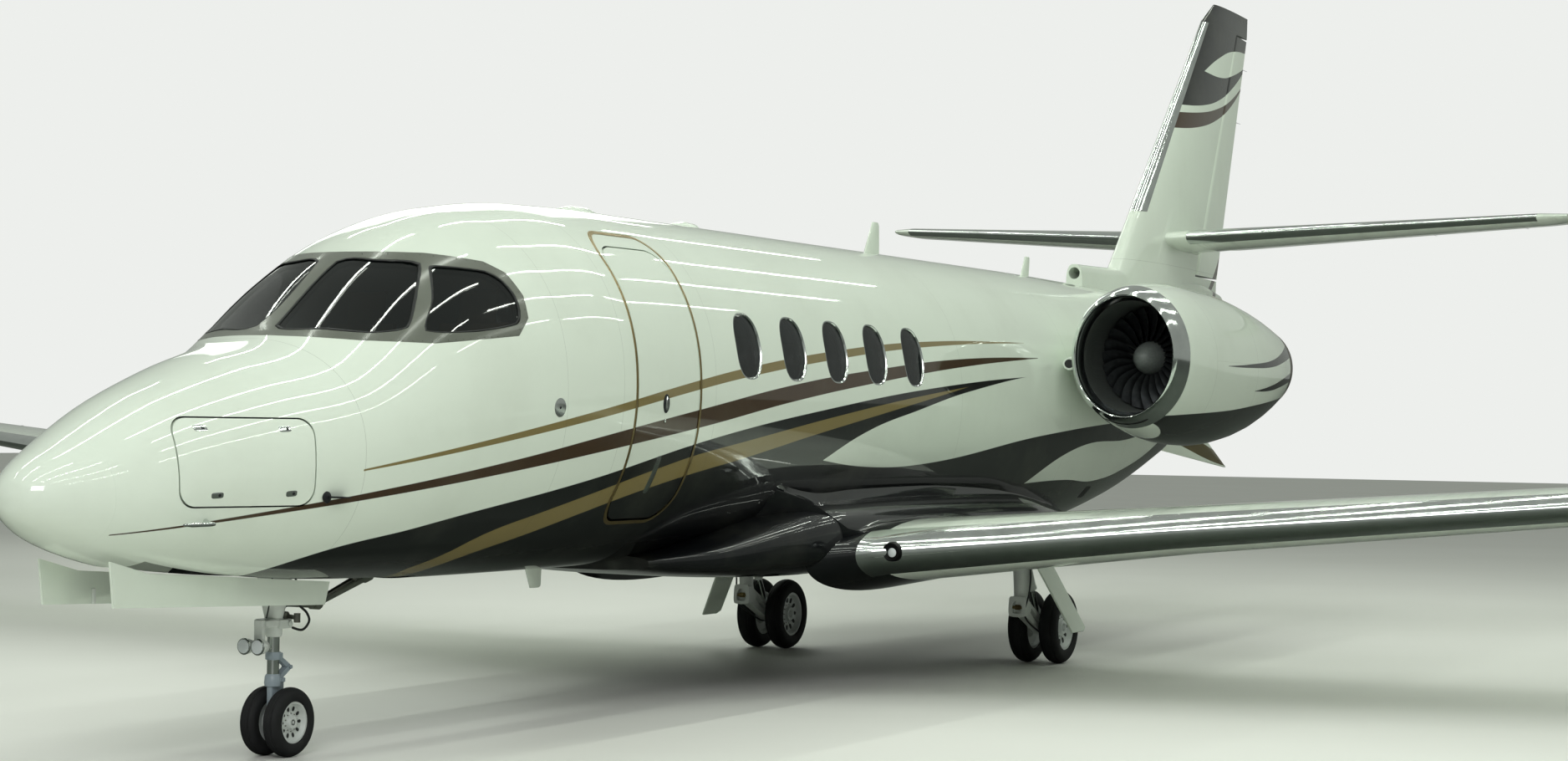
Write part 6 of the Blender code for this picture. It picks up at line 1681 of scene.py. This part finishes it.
def hub_pair(name, node, x, station, radius, offset, width, bead, axle, holes, hole_size):
    """Two dished wheels with a ring of tie bolts and the axle between them; their lightening holes are dark plugs of
    painted shade.
    """
    half = width * 0.36
    bm = bmesh.new()
    bolts = bmesh.new()
    for sign in (1, -1):
        centre = x + sign * offset
        rows = [(half, bead * 0.90), (half * 0.98, bead * 0.998), (half * 0.55, bead * 0.985), (half * 0.3, bead * 0.94),
                (-half * 0.3, bead * 0.94), (-half * 0.55, bead * 0.985), (-half * 0.98, bead * 0.998),
                (-half, bead * 0.90), (-half * 0.5, bead * 0.84), (-half * 0.42, bead * 0.5), (-half * 0.8, bead * 0.34),
                (-half * 0.8, axle * 1.05), (half * 0.80, axle * 0.6), (half * 0.80, bead * 0.30),
                (half * 0.42, bead * 0.36), (half * 0.22, bead * 0.52), (half * 0.32, bead * 0.80)]
        merge(bm, loft(ring_of(centre, station, radius, [(sign * a, r) for a, r in rows]), loop=True))
        for k in range(holes):
            angle = 2 * math.pi * (k + 0.5) / holes
            spot_y = y_at(station) + bead * 0.43 * math.cos(angle)
            spot_z = radius + bead * 0.43 * math.sin(angle)
            face_x = centre + sign * half * 0.30
            merge(bolts, round_bar((face_x - sign * 0.004, spot_y, spot_z), (face_x + sign * 0.007, spot_y, spot_z),
                                   bead * 0.035, bead * 0.030, 6))
    merge(bm, round_bar((x - offset - half * 0.8, y_at(station), radius), (x + offset + half * 0.8, y_at(station), radius),
                        axle, points=32))
    obj = put_mesh(name, bm, wheel_paint, 36)
    put_on(obj, "wheel_paint", node)
    studs = put_mesh(f"{name}_bolts", bolts, steel, 30)
    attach(studs, body_of(obj)[0])
    # The lightening holes are not cut: dark plugs in black sealant sit in them as painted shade for the hollows behind.
    dark = bmesh.new()
    for sign in (1, -1):
        for k in range(holes):
            angle = 2 * math.pi * k / holes
            face_x = x + sign * (offset + half * 0.262)
            rings = []
            for depth, share in ((-0.05, 1.0), (0.085, 1.0), (0.085, 0.9), (0.07, 0.85), (0.07, 0.05)):
                depth *= half
                ring = []
                for a, b in oval(bead * hole_size[0], bead * hole_size[1], 2.4, (0, 0), 20):
                    reach = bead * 0.655 + b * share
                    around = angle + a * share / (bead * 0.655)
                    ring.append((face_x + sign * depth, y_at(station) + reach * math.cos(around),
                                 radius + reach * math.sin(around)))
                rings.append(ring)
            merge(dark, loft(rings))
    painted_hole_shade = put_mesh(f"{name}_holes", dark, gasket, 30)
    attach(painted_hole_shade, body_of(obj)[0])


NOSE_BEAD = NOSE_RADIUS * 0.60
MAIN_BEAD = MAIN_RADIUS * 0.62
for side_sign, word in SIDES:
    tyre(f"nose_tyre_rubber_{word}", f"nose_tyre_{word}", side_sign * NOSE_OFFSET, NOSE_AXLE, NOSE_RADIUS, NOSE_WIDTH,
         NOSE_BEAD, (-0.36, 0.36))
hub_pair("nose_wheels_cast", "nose_hubs", 0, NOSE_AXLE, NOSE_RADIUS, NOSE_OFFSET, NOSE_WIDTH, NOSE_BEAD, 0.016, 10,
         (0.075, 0.115))


def assembled(name, shapes, material, body, sharp=36):
    """One piece from several closed shapes that overlap."""
    bm = bmesh.new()
    for shape in shapes:
        merge(bm, shape)
    obj = put_mesh(name, bm, material, sharp)
    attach(obj, body)
    return obj


def turned_bar(start, end, rows, points=32):
    """A bar turned about the line between two points, from rows of (share of the length, radius)."""
    start, end = Vector(start), Vector(end)
    turn = Vector((0, 0, 1)).rotation_difference(end - start)
    rings = []
    for share, radius in rows:
        centre = start.lerp(end, share)
        rings.append([centre + turn @ Vector((radius * math.cos(2 * math.pi * i / points),
                                              radius * math.sin(2 * math.pi * i / points), 0)) for i in range(points)])
    return loft(rings)


def soft_block(low, high, radius=0.006):
    """A block with its upright edges rounded and its ends chamfered."""
    middle = ((low[0] + high[0]) / 2, (low[1] + high[1]) / 2)
    half = ((high[0] - low[0]) / 2, (high[1] - low[1]) / 2)
    rings = []
    for z, shrink in ((low[2], radius * 0.6), (low[2] + radius * 0.6, 0), (high[2] - radius * 0.6, 0),
                      (high[2], radius * 0.6)):
        rings.append([(x, y, z) for x, y in rounded(half[0] - shrink, half[1] - shrink, radius, middle, 5)])
    return loft(rings)


steer_y = y_at(STEER_STATION)
axle_y = y_at(NOSE_AXLE)
leg = assembled("nose_leg_forging", [
    turned_bar((0, steer_y, 0.655), (0, steer_y, 1.26), ((0, 0.040), (0.02, 0.046), (0.09, 0.048), (0.10, 0.054),
               (0.155, 0.055), (0.17, 0.050), (0.48, 0.094), (0.97, 0.094), (1.0, 0.086))),
    turned_bar((-0.23, steer_y, 1.20), (0.23, steer_y, 1.20), ((0, 0.028), (0.02, 0.035), (0.98, 0.035), (1, 0.028))),
    soft_block((-0.050, steer_y - 0.115, 0.71), (0.050, steer_y + 0.02, 0.755), 0.014),
    soft_block((-0.030, steer_y - 0.135, 0.60), (0.030, steer_y - 0.105, 0.755), 0.008),
    soft_block((-0.060, steer_y - 0.02, 0.70), (-0.040, steer_y + 0.085, 0.75), 0.006),
    soft_block((0.040, steer_y - 0.02, 0.70), (0.060, steer_y + 0.085, 0.75), 0.006),
    turned_bar((-0.07, steer_y + 0.062, 0.725), (0.07, steer_y + 0.062, 0.725), ((0, 0.016), (1, 0.016))),
], leg_paint, "airframe")
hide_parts("nose_leg")
brace_paint, brace_tree, brace_shader = new_material("dark olive enamel on the drag brace", Roughness=0.4, Coat_Weight=0.3,
                                                     Coat_Roughness=0.2)
spot, *_rest = place_sockets(brace_tree)
brace_tree.links.new(grime(brace_tree, spot, from_hex("4A5046"), 0.5), brace_shader.inputs["Base Color"])
knee = (0, y_at(2.42), 0.820)
brace_end = (0, y_at(WELL_REAR) - 0.03, 0.985)
assembled("nose_drag_brace", [
    turned_bar((0.0, steer_y + 0.05, 0.845), knee, ((0, 0.034), (0.12, 0.036), (0.2, 0.029), (0.9, 0.029), (1.0, 0.034))),
    turned_bar((-0.035, knee[1], knee[2]), (0.035, knee[1], knee[2]), ((0, 0.032), (0.1, 0.037), (0.9, 0.037), (1, 0.032))),
    turned_bar(knee, brace_end, ((0, 0.030), (0.04, 0.030), (0.06, 0.026), (0.72, 0.026), (0.74, 0.034), (0.82, 0.034),
                                 (0.84, 0.022), (1, 0.022))),
    turned_bar((-0.05, steer_y + 0.075, 0.847), (0.05, steer_y + 0.075, 0.847), ((0, 0.020), (1, 0.020))),
    turned_bar((-0.20, brace_end[1] - 0.02, brace_end[2]), (0.20, brace_end[1] - 0.02, brace_end[2]), ((0, 0.018), (1, 0.018))),
], brace_paint, "airframe")
assembled("nose_retract_jack", [
    turned_bar((0.045, knee[1] + 0.03, 0.862), (0.045, brace_end[1], 1.05), ((0, 0.017), (0.05, 0.012), (0.42, 0.012),
                                                                           (0.43, 0.023), (0.97, 0.023), (1, 0.016))),
], steel, "airframe")
assembled("steering_cylinder", [
    turned_bar((-0.10, steer_y + 0.095, 0.775), (0.085, steer_y + 0.095, 0.755), ((0, 0.012), (0.05, 0.024), (0.62, 0.024),
                                                                                (0.66, 0.012), (1, 0.012))),
    turned_bar((0.085, steer_y + 0.095, 0.73), (0.085, steer_y + 0.095, 0.78), ((0, 0.018), (1, 0.018))),
], steel, "airframe")
LAMP_HEIGHT = 0.612
LAMP_SPREAD = 0.046
for side_sign, word in SIDES:
    x = side_sign * LAMP_SPREAD
    assembled(f"taxi_lamp_can_{word}", [
        turned_bar((x, steer_y - 0.115, LAMP_HEIGHT), (x, steer_y - 0.196, LAMP_HEIGHT),
                   ((0, 0.016), (0.15, 0.030), (0.55, 0.040), (0.9, 0.044), (1.0, 0.043)))],
              leg_paint, "airframe")
    assembled(f"taxi_lamp_rim_{word}", [
        turned_bar((x, steer_y - 0.190, LAMP_HEIGHT), (x, steer_y - 0.200, LAMP_HEIGHT),
                   ((0, 0.0445), (0.5, 0.0455), (1.0, 0.041)))], chrome, "airframe")
    assembled(f"taxi_lamp_lens_{word}", [
        turned_bar((x, steer_y - 0.197, LAMP_HEIGHT), (x, steer_y - 0.206, LAMP_HEIGHT),
                   ((0, 0.039), (0.6, 0.036), (0.9, 0.02), (1.0, 0.006)))], lamp_glass, "airframe")

fork = assembled("nose_fork_forging", [
    turned_bar((0, steer_y, 0.386), (0, steer_y, 0.452), ((0, 0.044), (0.25, 0.047), (0.8, 0.044), (1, 0.036))),
    soft_block((-0.019, steer_y - 0.034, NOSE_RADIUS + 0.012), (0.019, axle_y + 0.034, 0.42), 0.012),
    turned_bar((-0.020, axle_y, NOSE_RADIUS), (0.020, axle_y, NOSE_RADIUS), ((0, 0.034), (0.15, 0.040), (0.85, 0.040), (1, 0.034))),
    soft_block((-0.040, steer_y + 0.030, 0.405), (0.040, steer_y + 0.062, 0.430), 0.006),
], fork_paint, "nose_steering")
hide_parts("nose_fork")
assembled("nose_sliding_tube", [
    turned_bar((0, steer_y, 0.42), (0, steer_y, 0.665), ((0, 0.033), (1, 0.033)))], chrome, "nose_steering")


def link(points, half_width, x=0.0):
    """A flat forged link: its outline in (y, z), drawn across."""
    return prism(curved_outline(points, 4), 0, x - half_width, x + half_width)


assembled("nose_torque_links", [
    link([(steer_y + 0.034, 0.556), (steer_y + 0.132, 0.496), (steer_y + 0.134, 0.478), (steer_y + 0.118, 0.474),
          (steer_y + 0.030, 0.532)], 0.014),
    link([(steer_y + 0.034, 0.412), (steer_y + 0.030, 0.436), (steer_y + 0.118, 0.492), (steer_y + 0.132, 0.484),
          (steer_y + 0.130, 0.470)], 0.020),
    turned_bar((-0.030, steer_y + 0.124, 0.483), (0.030, steer_y + 0.124, 0.483), ((0, 0.011), (1, 0.011))),
    soft_block((-0.03, steer_y + 0.01, 0.536), (0.03, steer_y + 0.05, 0.566), 0.005),
    turned_bar((0, steer_y, 0.530), (0, steer_y, 0.572), ((0, 0.040), (0.1, 0.043), (0.9, 0.043), (1, 0.040))),
], fork_paint, "nose_steering")


def hose(name, points, radius, material, body):
    """A bent tube swept along a smooth path."""
    dense = []
    for i in range(len(points) - 1):
        a, b, c, d = (Vector(points[max(0, min(len(points) - 1, i + k))]) for k in (-1, 0, 1, 2))
        for step in range(6):
            t = step / 6
            dense.append(0.5 * (2 * b + (c - a) * t + (2 * a - 5 * b + 4 * c - d) * t**2 + (3 * b - a - 3 * c + d) * t**3))
    dense.append(Vector(points[-1]))
    rings = []
    frame_side = Vector((1, 0.01, 0.02))
    for i, spot_now in enumerate(dense):
        ahead = (dense[min(i + 1, len(dense) - 1)] - dense[max(i - 1, 0)]).normalized()
        frame_side = (frame_side - ahead * frame_side.dot(ahead)).normalized()
        other = ahead.cross(frame_side)
        rings.append([spot_now + radius * (frame_side * math.cos(math.pi * k / 5) + other * math.sin(math.pi * k / 5))
                      for k in range(10)])
    obj = put_mesh(name, loft(rings), material, 60)
    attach(obj, body)
    return obj


hose("nose_steering_hose", [(0.05, steer_y + 0.10, 0.70), (0.065, steer_y + 0.17, 0.685), (0.075, steer_y + 0.215, 0.73),
                            (0.075, steer_y + 0.19, 0.78), (0.07, steer_y + 0.13, 0.83), (0.07, steer_y + 0.10, 0.95),
                            (0.07, steer_y + 0.08, 1.12)],
     0.007, hose_rubber, "airframe")
hose("taxi_lamp_cable", [(0.02, steer_y - 0.09, 0.76), (0.035, steer_y - 0.09, 0.82), (0.05, steer_y - 0.085, 0.92),
                         (0.05, steer_y - 0.082, 1.06), (0.05, steer_y - 0.07, 1.2)], 0.004, hose_rubber, "airframe")

door_points = [(0.50, 0.90), (2.20, 0.83), (2.24, 0.955), (0.75, 1.06), (0.47, 1.13)]
for side_sign, word in SIDES:
    plate = [(y_at(at), z) for at, z in door_points]
    lows, highs = sorted((side_sign * 0.222, side_sign * 0.234))
    panel = put_mesh(f"nose_gear_door_skin_{word}", prism(plate, 0, lows, highs), plain_white, 30)
    carve(panel, loft([hull_ring(at, -0.003) for at in NOSE_STATIONS + COCKPIT_STATIONS]))
    put_on(panel, "white_paint", f"nose_gear_door_{word}")
    ribs = []
    for at in (0.86, 1.28, 1.70, 2.06):
        top = 1.02 - 0.05 * (at - 0.86)
        ribs.append(soft_block((min(side_sign * 0.206, side_sign * 0.2235), y_at(at) - 0.008, 0.885 - 0.03 * (at - 0.86)),
                               (max(side_sign * 0.206, side_sign * 0.2235), y_at(at) + 0.008, top - 0.055), 0.003))
    assembled(f"nose_gear_door_ribs_{word}", ribs, leg_paint, "airframe")


# The main landing gear.
# Trailing-link legs under the wings: a fixed white strut, a forged knuckle and a swinging arm with its damper.
# Each carries two wheels with wider tyres, and a slanted door panel covers the leg when it folds.
leg_y = y_at(MAIN_AXLE) - 0.46
main_y = y_at(MAIN_AXLE)
for side_sign, word in SIDES:
    x = side_sign * HALF_TRACK
    strut = assembled(f"main_strut_{word}", [
        turned_bar((x, leg_y, 0.43), (x, leg_y, 0.955), ((0, 0.050), (0.03, 0.060), (0.16, 0.062), (0.24, 0.056),
                                                         (0.8, 0.070), (0.9, 0.080), (1.0, 0.080))),
        turned_bar((x - 0.066, leg_y, 0.46), (x + 0.066, leg_y, 0.46), ((0, 0.048), (0.06, 0.056), (0.94, 0.056), (1, 0.048))),
        soft_block((x - 0.045, leg_y - 0.02, 0.86), (x + 0.045, leg_y + 0.075, 0.92), 0.012),
    ], leg_paint, "airframe")
    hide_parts(f"main_leg_{word}")
    knuckle_outline = [(x - 0.064, 0.395), (x + 0.064, 0.395), (x + 0.068, 0.50), (x + 0.055, 0.545), (x - 0.055, 0.545),
                       (x - 0.068, 0.50)]
    knuckle = put_mesh(f"main_knuckle_{word}", prism(curved_outline(knuckle_outline, 4), 1, leg_y - 0.085, leg_y - 0.020),
                       leg_paint, 36)
    carve(knuckle, prism(curved_outline([(x - 0.038, 0.418), (x + 0.038, 0.418), (x + 0.040, 0.475), (x + 0.02, 0.51),
                                         (x - 0.02, 0.51), (x - 0.040, 0.475)], 4), 1, leg_y - 0.1, leg_y - 0.045))
    knuckle.data.shade_smooth()
    knuckle.data.set_sharp_from_angle(angle=math.radians(36))
    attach(knuckle, "airframe")
    assembled(f"main_knuckle_pin_{word}", [
        turned_bar((x - 0.050, leg_y - 0.066, 0.462), (x + 0.050, leg_y - 0.066, 0.462), ((0, 0.012), (0.3, 0.012), (0.31, 0.020),
                                                                                        (0.69, 0.020), (0.7, 0.012), (1, 0.012))),
    ], bronze, "airframe")
    arm_side = [(leg_y - 0.03, 0.40), (leg_y + 0.04, 0.375), (main_y - 0.10, MAIN_RADIUS - 0.050),
                (main_y + 0.01, MAIN_RADIUS - 0.062), (main_y + 0.06, MAIN_RADIUS - 0.01), (main_y + 0.03, MAIN_RADIUS + 0.055),
                (main_y - 0.09, MAIN_RADIUS + 0.062), (leg_y + 0.06, 0.51), (leg_y - 0.02, 0.52), (leg_y - 0.055, 0.46)]
    hole = [(leg_y + 0.10, 0.415), (main_y - 0.14, MAIN_RADIUS - 0.005), (main_y - 0.12, MAIN_RADIUS + 0.025), (leg_y + 0.10, 0.462)]
    arm = put_mesh(f"main_trailing_arm_{word}", prism(curved_outline(arm_side, 5), 0, x - 0.036, x + 0.036), leg_paint, 36)
    carve(arm, prism(curved_outline(hole, 4), 0, x - 0.1, x + 0.1))
    carve(arm, turned_bar((x - 0.052, main_y, MAIN_RADIUS), (x + 0.052, main_y, MAIN_RADIUS), ((0, 0.052), (0.1, 0.058),
                                                                                             (0.9, 0.058), (1, 0.052))),
          operation="UNION")
    arm.data.shade_smooth()
    arm.data.set_sharp_from_angle(angle=math.radians(36))
    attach(arm, "airframe")
    assembled(f"main_damper_{word}", [
        turned_bar((x, leg_y + 0.045, 0.885), (x, main_y - 0.13, 0.40), ((0, 0.030), (0.05, 0.036), (0.55, 0.036), (0.57, 0.040),
                                                                        (0.60, 0.040), (0.61, 0.022)))], leg_paint, "airframe")
    assembled(f"main_damper_rod_{word}", [
        turned_bar((x, leg_y + 0.045, 0.885), (x, main_y - 0.11, 0.355), ((0.58, 0.021), (0.93, 0.021), (0.94, 0.030), (1.0, 0.030)))],
              chrome, "airframe")
    assembled(f"main_side_brace_{word}", [
        turned_bar((x - side_sign * 0.02, leg_y, 0.80), (x - side_sign * 0.42, leg_y - 0.02, 0.905),
                   ((0, 0.030), (0.06, 0.030), (0.08, 0.022), (0.55, 0.022), (0.57, 0.030), (0.66, 0.030), (0.68, 0.018), (1, 0.018))),
    ], steel, "airframe")
    hose(f"main_brake_hose_{word}", [(x + side_sign * 0.075, leg_y - 0.02, 0.86), (x + side_sign * 0.085, leg_y - 0.02, 0.70),
                                     (x + side_sign * 0.075, leg_y - 0.03, 0.56), (x + side_sign * 0.060, leg_y - 0.07, 0.44),
                                     (x + side_sign * 0.045, leg_y + 0.02, 0.355), (x + side_sign * 0.043, main_y - 0.16, 0.245),
                                     (x + side_sign * 0.043, main_y - 0.05, 0.225)], 0.007, hose_rubber, "airframe")
    for sign, place in ((1, "outer"), (-1, "inner")):
        tyre(f"main_tyre_rubber_{word}_{place}", f"main_tyre_{word}_{place}", x + side_sign * sign * MAIN_OFFSET, MAIN_AXLE,
             MAIN_RADIUS, MAIN_WIDTH, MAIN_BEAD, (-0.5, -0.17, 0.17, 0.5))
    hub_pair(f"main_wheels_cast_{word}", f"main_hubs_{word}", x, MAIN_AXLE, MAIN_RADIUS, MAIN_OFFSET, MAIN_WIDTH, MAIN_BEAD,
             0.030, 11, (0.075, 0.128))
    panel = [(x + side_sign * 0.10, leg_y - 0.12, 0.895), (x + side_sign * 0.10, leg_y + 0.20, 0.895),
             (x + side_sign * 0.40, leg_y + 0.31, 0.30), (x + side_sign * 0.41, leg_y + 0.25, 0.275),
             (x + side_sign * 0.41, leg_y + 0.02, 0.275)]
    inner = [Vector(point) for point in panel]
    outer = [point + Vector((side_sign * 0.014, 0, 0.006)) for point in inner]
    gear_door = put_mesh(f"main_gear_door_skin_{word}", loft([inner, outer]), plain_white, 30)
    bevel = gear_door.modifiers.new("edge", "BEVEL")
    bevel.width = 0.004
    bevel.segments = 2
    put_on(gear_door, "white_paint", f"main_gear_door_{word}")


# Small fittings on the skin.
# Antennas, probes, vents and lamps bolted through the skin, most of them in white or bare metal.
pod("dome_antenna_front", [(4.86, 0, 3.175, 0.02, 0.005), (4.90, 0, 3.19, 0.05, 0.022), (5.02, 0, 3.196, 0.085, 0.042),
                           (5.16, 0, 3.196, 0.085, 0.042), (5.30, 0, 3.192, 0.05, 0.022), (5.36, 0, 3.185, 0.02, 0.008)], plain_white)
pod("dome_antenna_rear", [(6.30, 0, 3.18, 0.02, 0.008), (6.34, 0, 3.19, 0.045, 0.025), (6.46, 0, 3.196, 0.075, 0.045),
                          (6.60, 0, 3.196, 0.07, 0.04), (6.72, 0, 3.188, 0.03, 0.015)], plain_white)


def blade_antenna(name, station, root, tip, chord, tip_chord, sweep, thickness=0.014, material=plain_white, x=0.0):
    """A thin swept aerofoil standing off the skin, between two heights."""
    rings = []
    for t in (0.0, 0.35, 0.7, 0.92, 1.0):
        z = root + (tip - root) * t
        size = chord + (tip_chord - chord) * t
        if t == 1.0:
            size *= 0.86
        rings.append([(x + up, y_at(station + sweep * t + aft), z) for aft, up in section(size, thickness / size * 1.6, steps=10)])
    obj = put_mesh(name, loft(rings), material, 40)
    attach(obj, "airframe")
    return obj


blade_antenna("top_blade_antenna", 9.35, 3.17, 3.46, 0.30, 0.12, 0.17)
blade_antenna("rear_blade_antenna", 12.55, 3.17, 3.38, 0.20, 0.11, 0.12)
blade_antenna("belly_blade_antenna_front", 4.55, 0.945, 0.80, 0.20, 0.12, 0.07)
blade_antenna("belly_blade_antenna_rear", 12.9, 1.10, 0.88, 0.26, 0.14, 0.12)
blade_antenna("belly_drain_mast", 11.9, 0.96, 0.80, 0.10, 0.06, 0.06, material=dark_cup, x=0.12)
for side_sign, word in SIDES:
    skin_pad(f"static_port_plate_{word}", 3.347, 1.927, 0.055, 0.055, 0.0014, chrome, side_sign)
    skin_pad(f"static_port_pin_{word}", 3.347, 1.927, 0.008, 0.008, 0.004, dark_cup, side_sign)
    skin_pad(f"ice_light_{word}", 6.473, 1.319, 0.032, 0.032, 0.004, lamp_glass, side_sign)
    root_x = skin_x(0.80, 1.33)
    probe = assembled(f"pitot_probe_{word}", [
        turned_bar((side_sign * (root_x - 0.01), y_at(0.86), 1.33), (side_sign * (root_x + 0.085), y_at(0.80), 1.315),
                   ((0, 0.016), (0.7, 0.011), (1, 0.011))),
        turned_bar((side_sign * (root_x + 0.082), y_at(0.83), 1.315), (side_sign * (root_x + 0.082), y_at(0.60), 1.315),
                   ((0, 0.009), (0.1, 0.0125), (0.75, 0.0125), (0.97, 0.007), (1.0, 0.006))),
    ], chrome, "airframe")
    root_x = skin_x(1.55, 1.44)
    assembled(f"angle_vane_{word}", [
        turned_bar((side_sign * (root_x - 0.004), y_at(1.55), 1.44), (side_sign * (root_x + 0.012), y_at(1.55), 1.44),
                   ((0, 0.032), (0.6, 0.032), (1, 0.022))),
        prism([(y_at(1.545), 1.435), (y_at(1.545), 1.445), (y_at(1.66), 1.440), (y_at(1.66), 1.434)], 0,
              *sorted((side_sign * root_x, side_sign * (root_x + 0.075)))),
    ], dark_cup, "airframe")
    skin_pad(f"rear_vent_{word}", 12.35, 1.30, 0.09, 0.05, 0.0016, dark_cup, side_sign, power=4)
beacon = pod("top_beacon", [(15.40, 0, 3.395, 0.018, 0.01), (15.43, 0, 3.40, 0.035, 0.03), (15.47, 0, 3.40, 0.04, 0.042),
                            (15.52, 0, 3.40, 0.032, 0.03), (15.55, 0, 3.395, 0.012, 0.01)], lens_colours["red lamp lens"])
pod("belly_beacon", [(8.40, 0, 0.80, 0.02, 0.01), (8.43, 0, 0.795, 0.042, 0.03), (8.48, 0, 0.79, 0.046, 0.040),
                     (8.54, 0, 0.795, 0.036, 0.028), (8.57, 0, 0.80, 0.014, 0.01)], lens_colours["red lamp lens"])
ventral_rings = []
for half in (-0.016, -0.012, 0.012, 0.016):
    inset = 0.006 if abs(half) > 0.013 else 0.0
    ventral_rings.append([(half, y_at(at), z) for at, z in ((15.9 + inset, 1.80), (16.16 + inset, 1.66 + inset), (18.33 - 2 * inset, 1.46 + inset),
                                                         (17.70 - inset, 1.74), (17.6 - inset, 2.3), (16.0 + inset, 2.3))])
ventral = put_mesh("ventral_fin_skin", loft(ventral_rings), None, 30)
carve(ventral, loft([hull_ring(at, 0.004, 96) for at in spaced(15.2, 18.2, 0.3)]))
ventral_paint, ventral_tree, ventral_shader = new_material("gloss polyurethane paint of the ventral fin", **GLOSS)
spot, station, height, side = place_sockets(ventral_tree)
stripe = ribbon(ventral_tree, station, height, ((16.3, 1.80), (17.0, 1.73), (17.7, 1.62), (18.33, 1.50)),
                ((16.3, 0.02), (17.0, 0.12), (17.7, 0.14), (18.33, 0.06)))
ventral_tree.links.new(painted_over(ventral_tree, grime(ventral_tree, spot, PAINT_WHITE), stripe, from_hex("5C5233")),
                       ventral_shader.inputs["Base Color"])
ventral_tree.links.new(orange_peel(ventral_tree, spot, 0.0005, 4.0), ventral_shader.inputs["Normal"])
ventral.data.materials.clear()
ventral.data.materials.append(ventral_paint)
ventral.data.shade_smooth()
ventral.data.set_sharp_from_angle(angle=math.radians(30))
put_on(ventral, "white_paint", "ventral_fin")
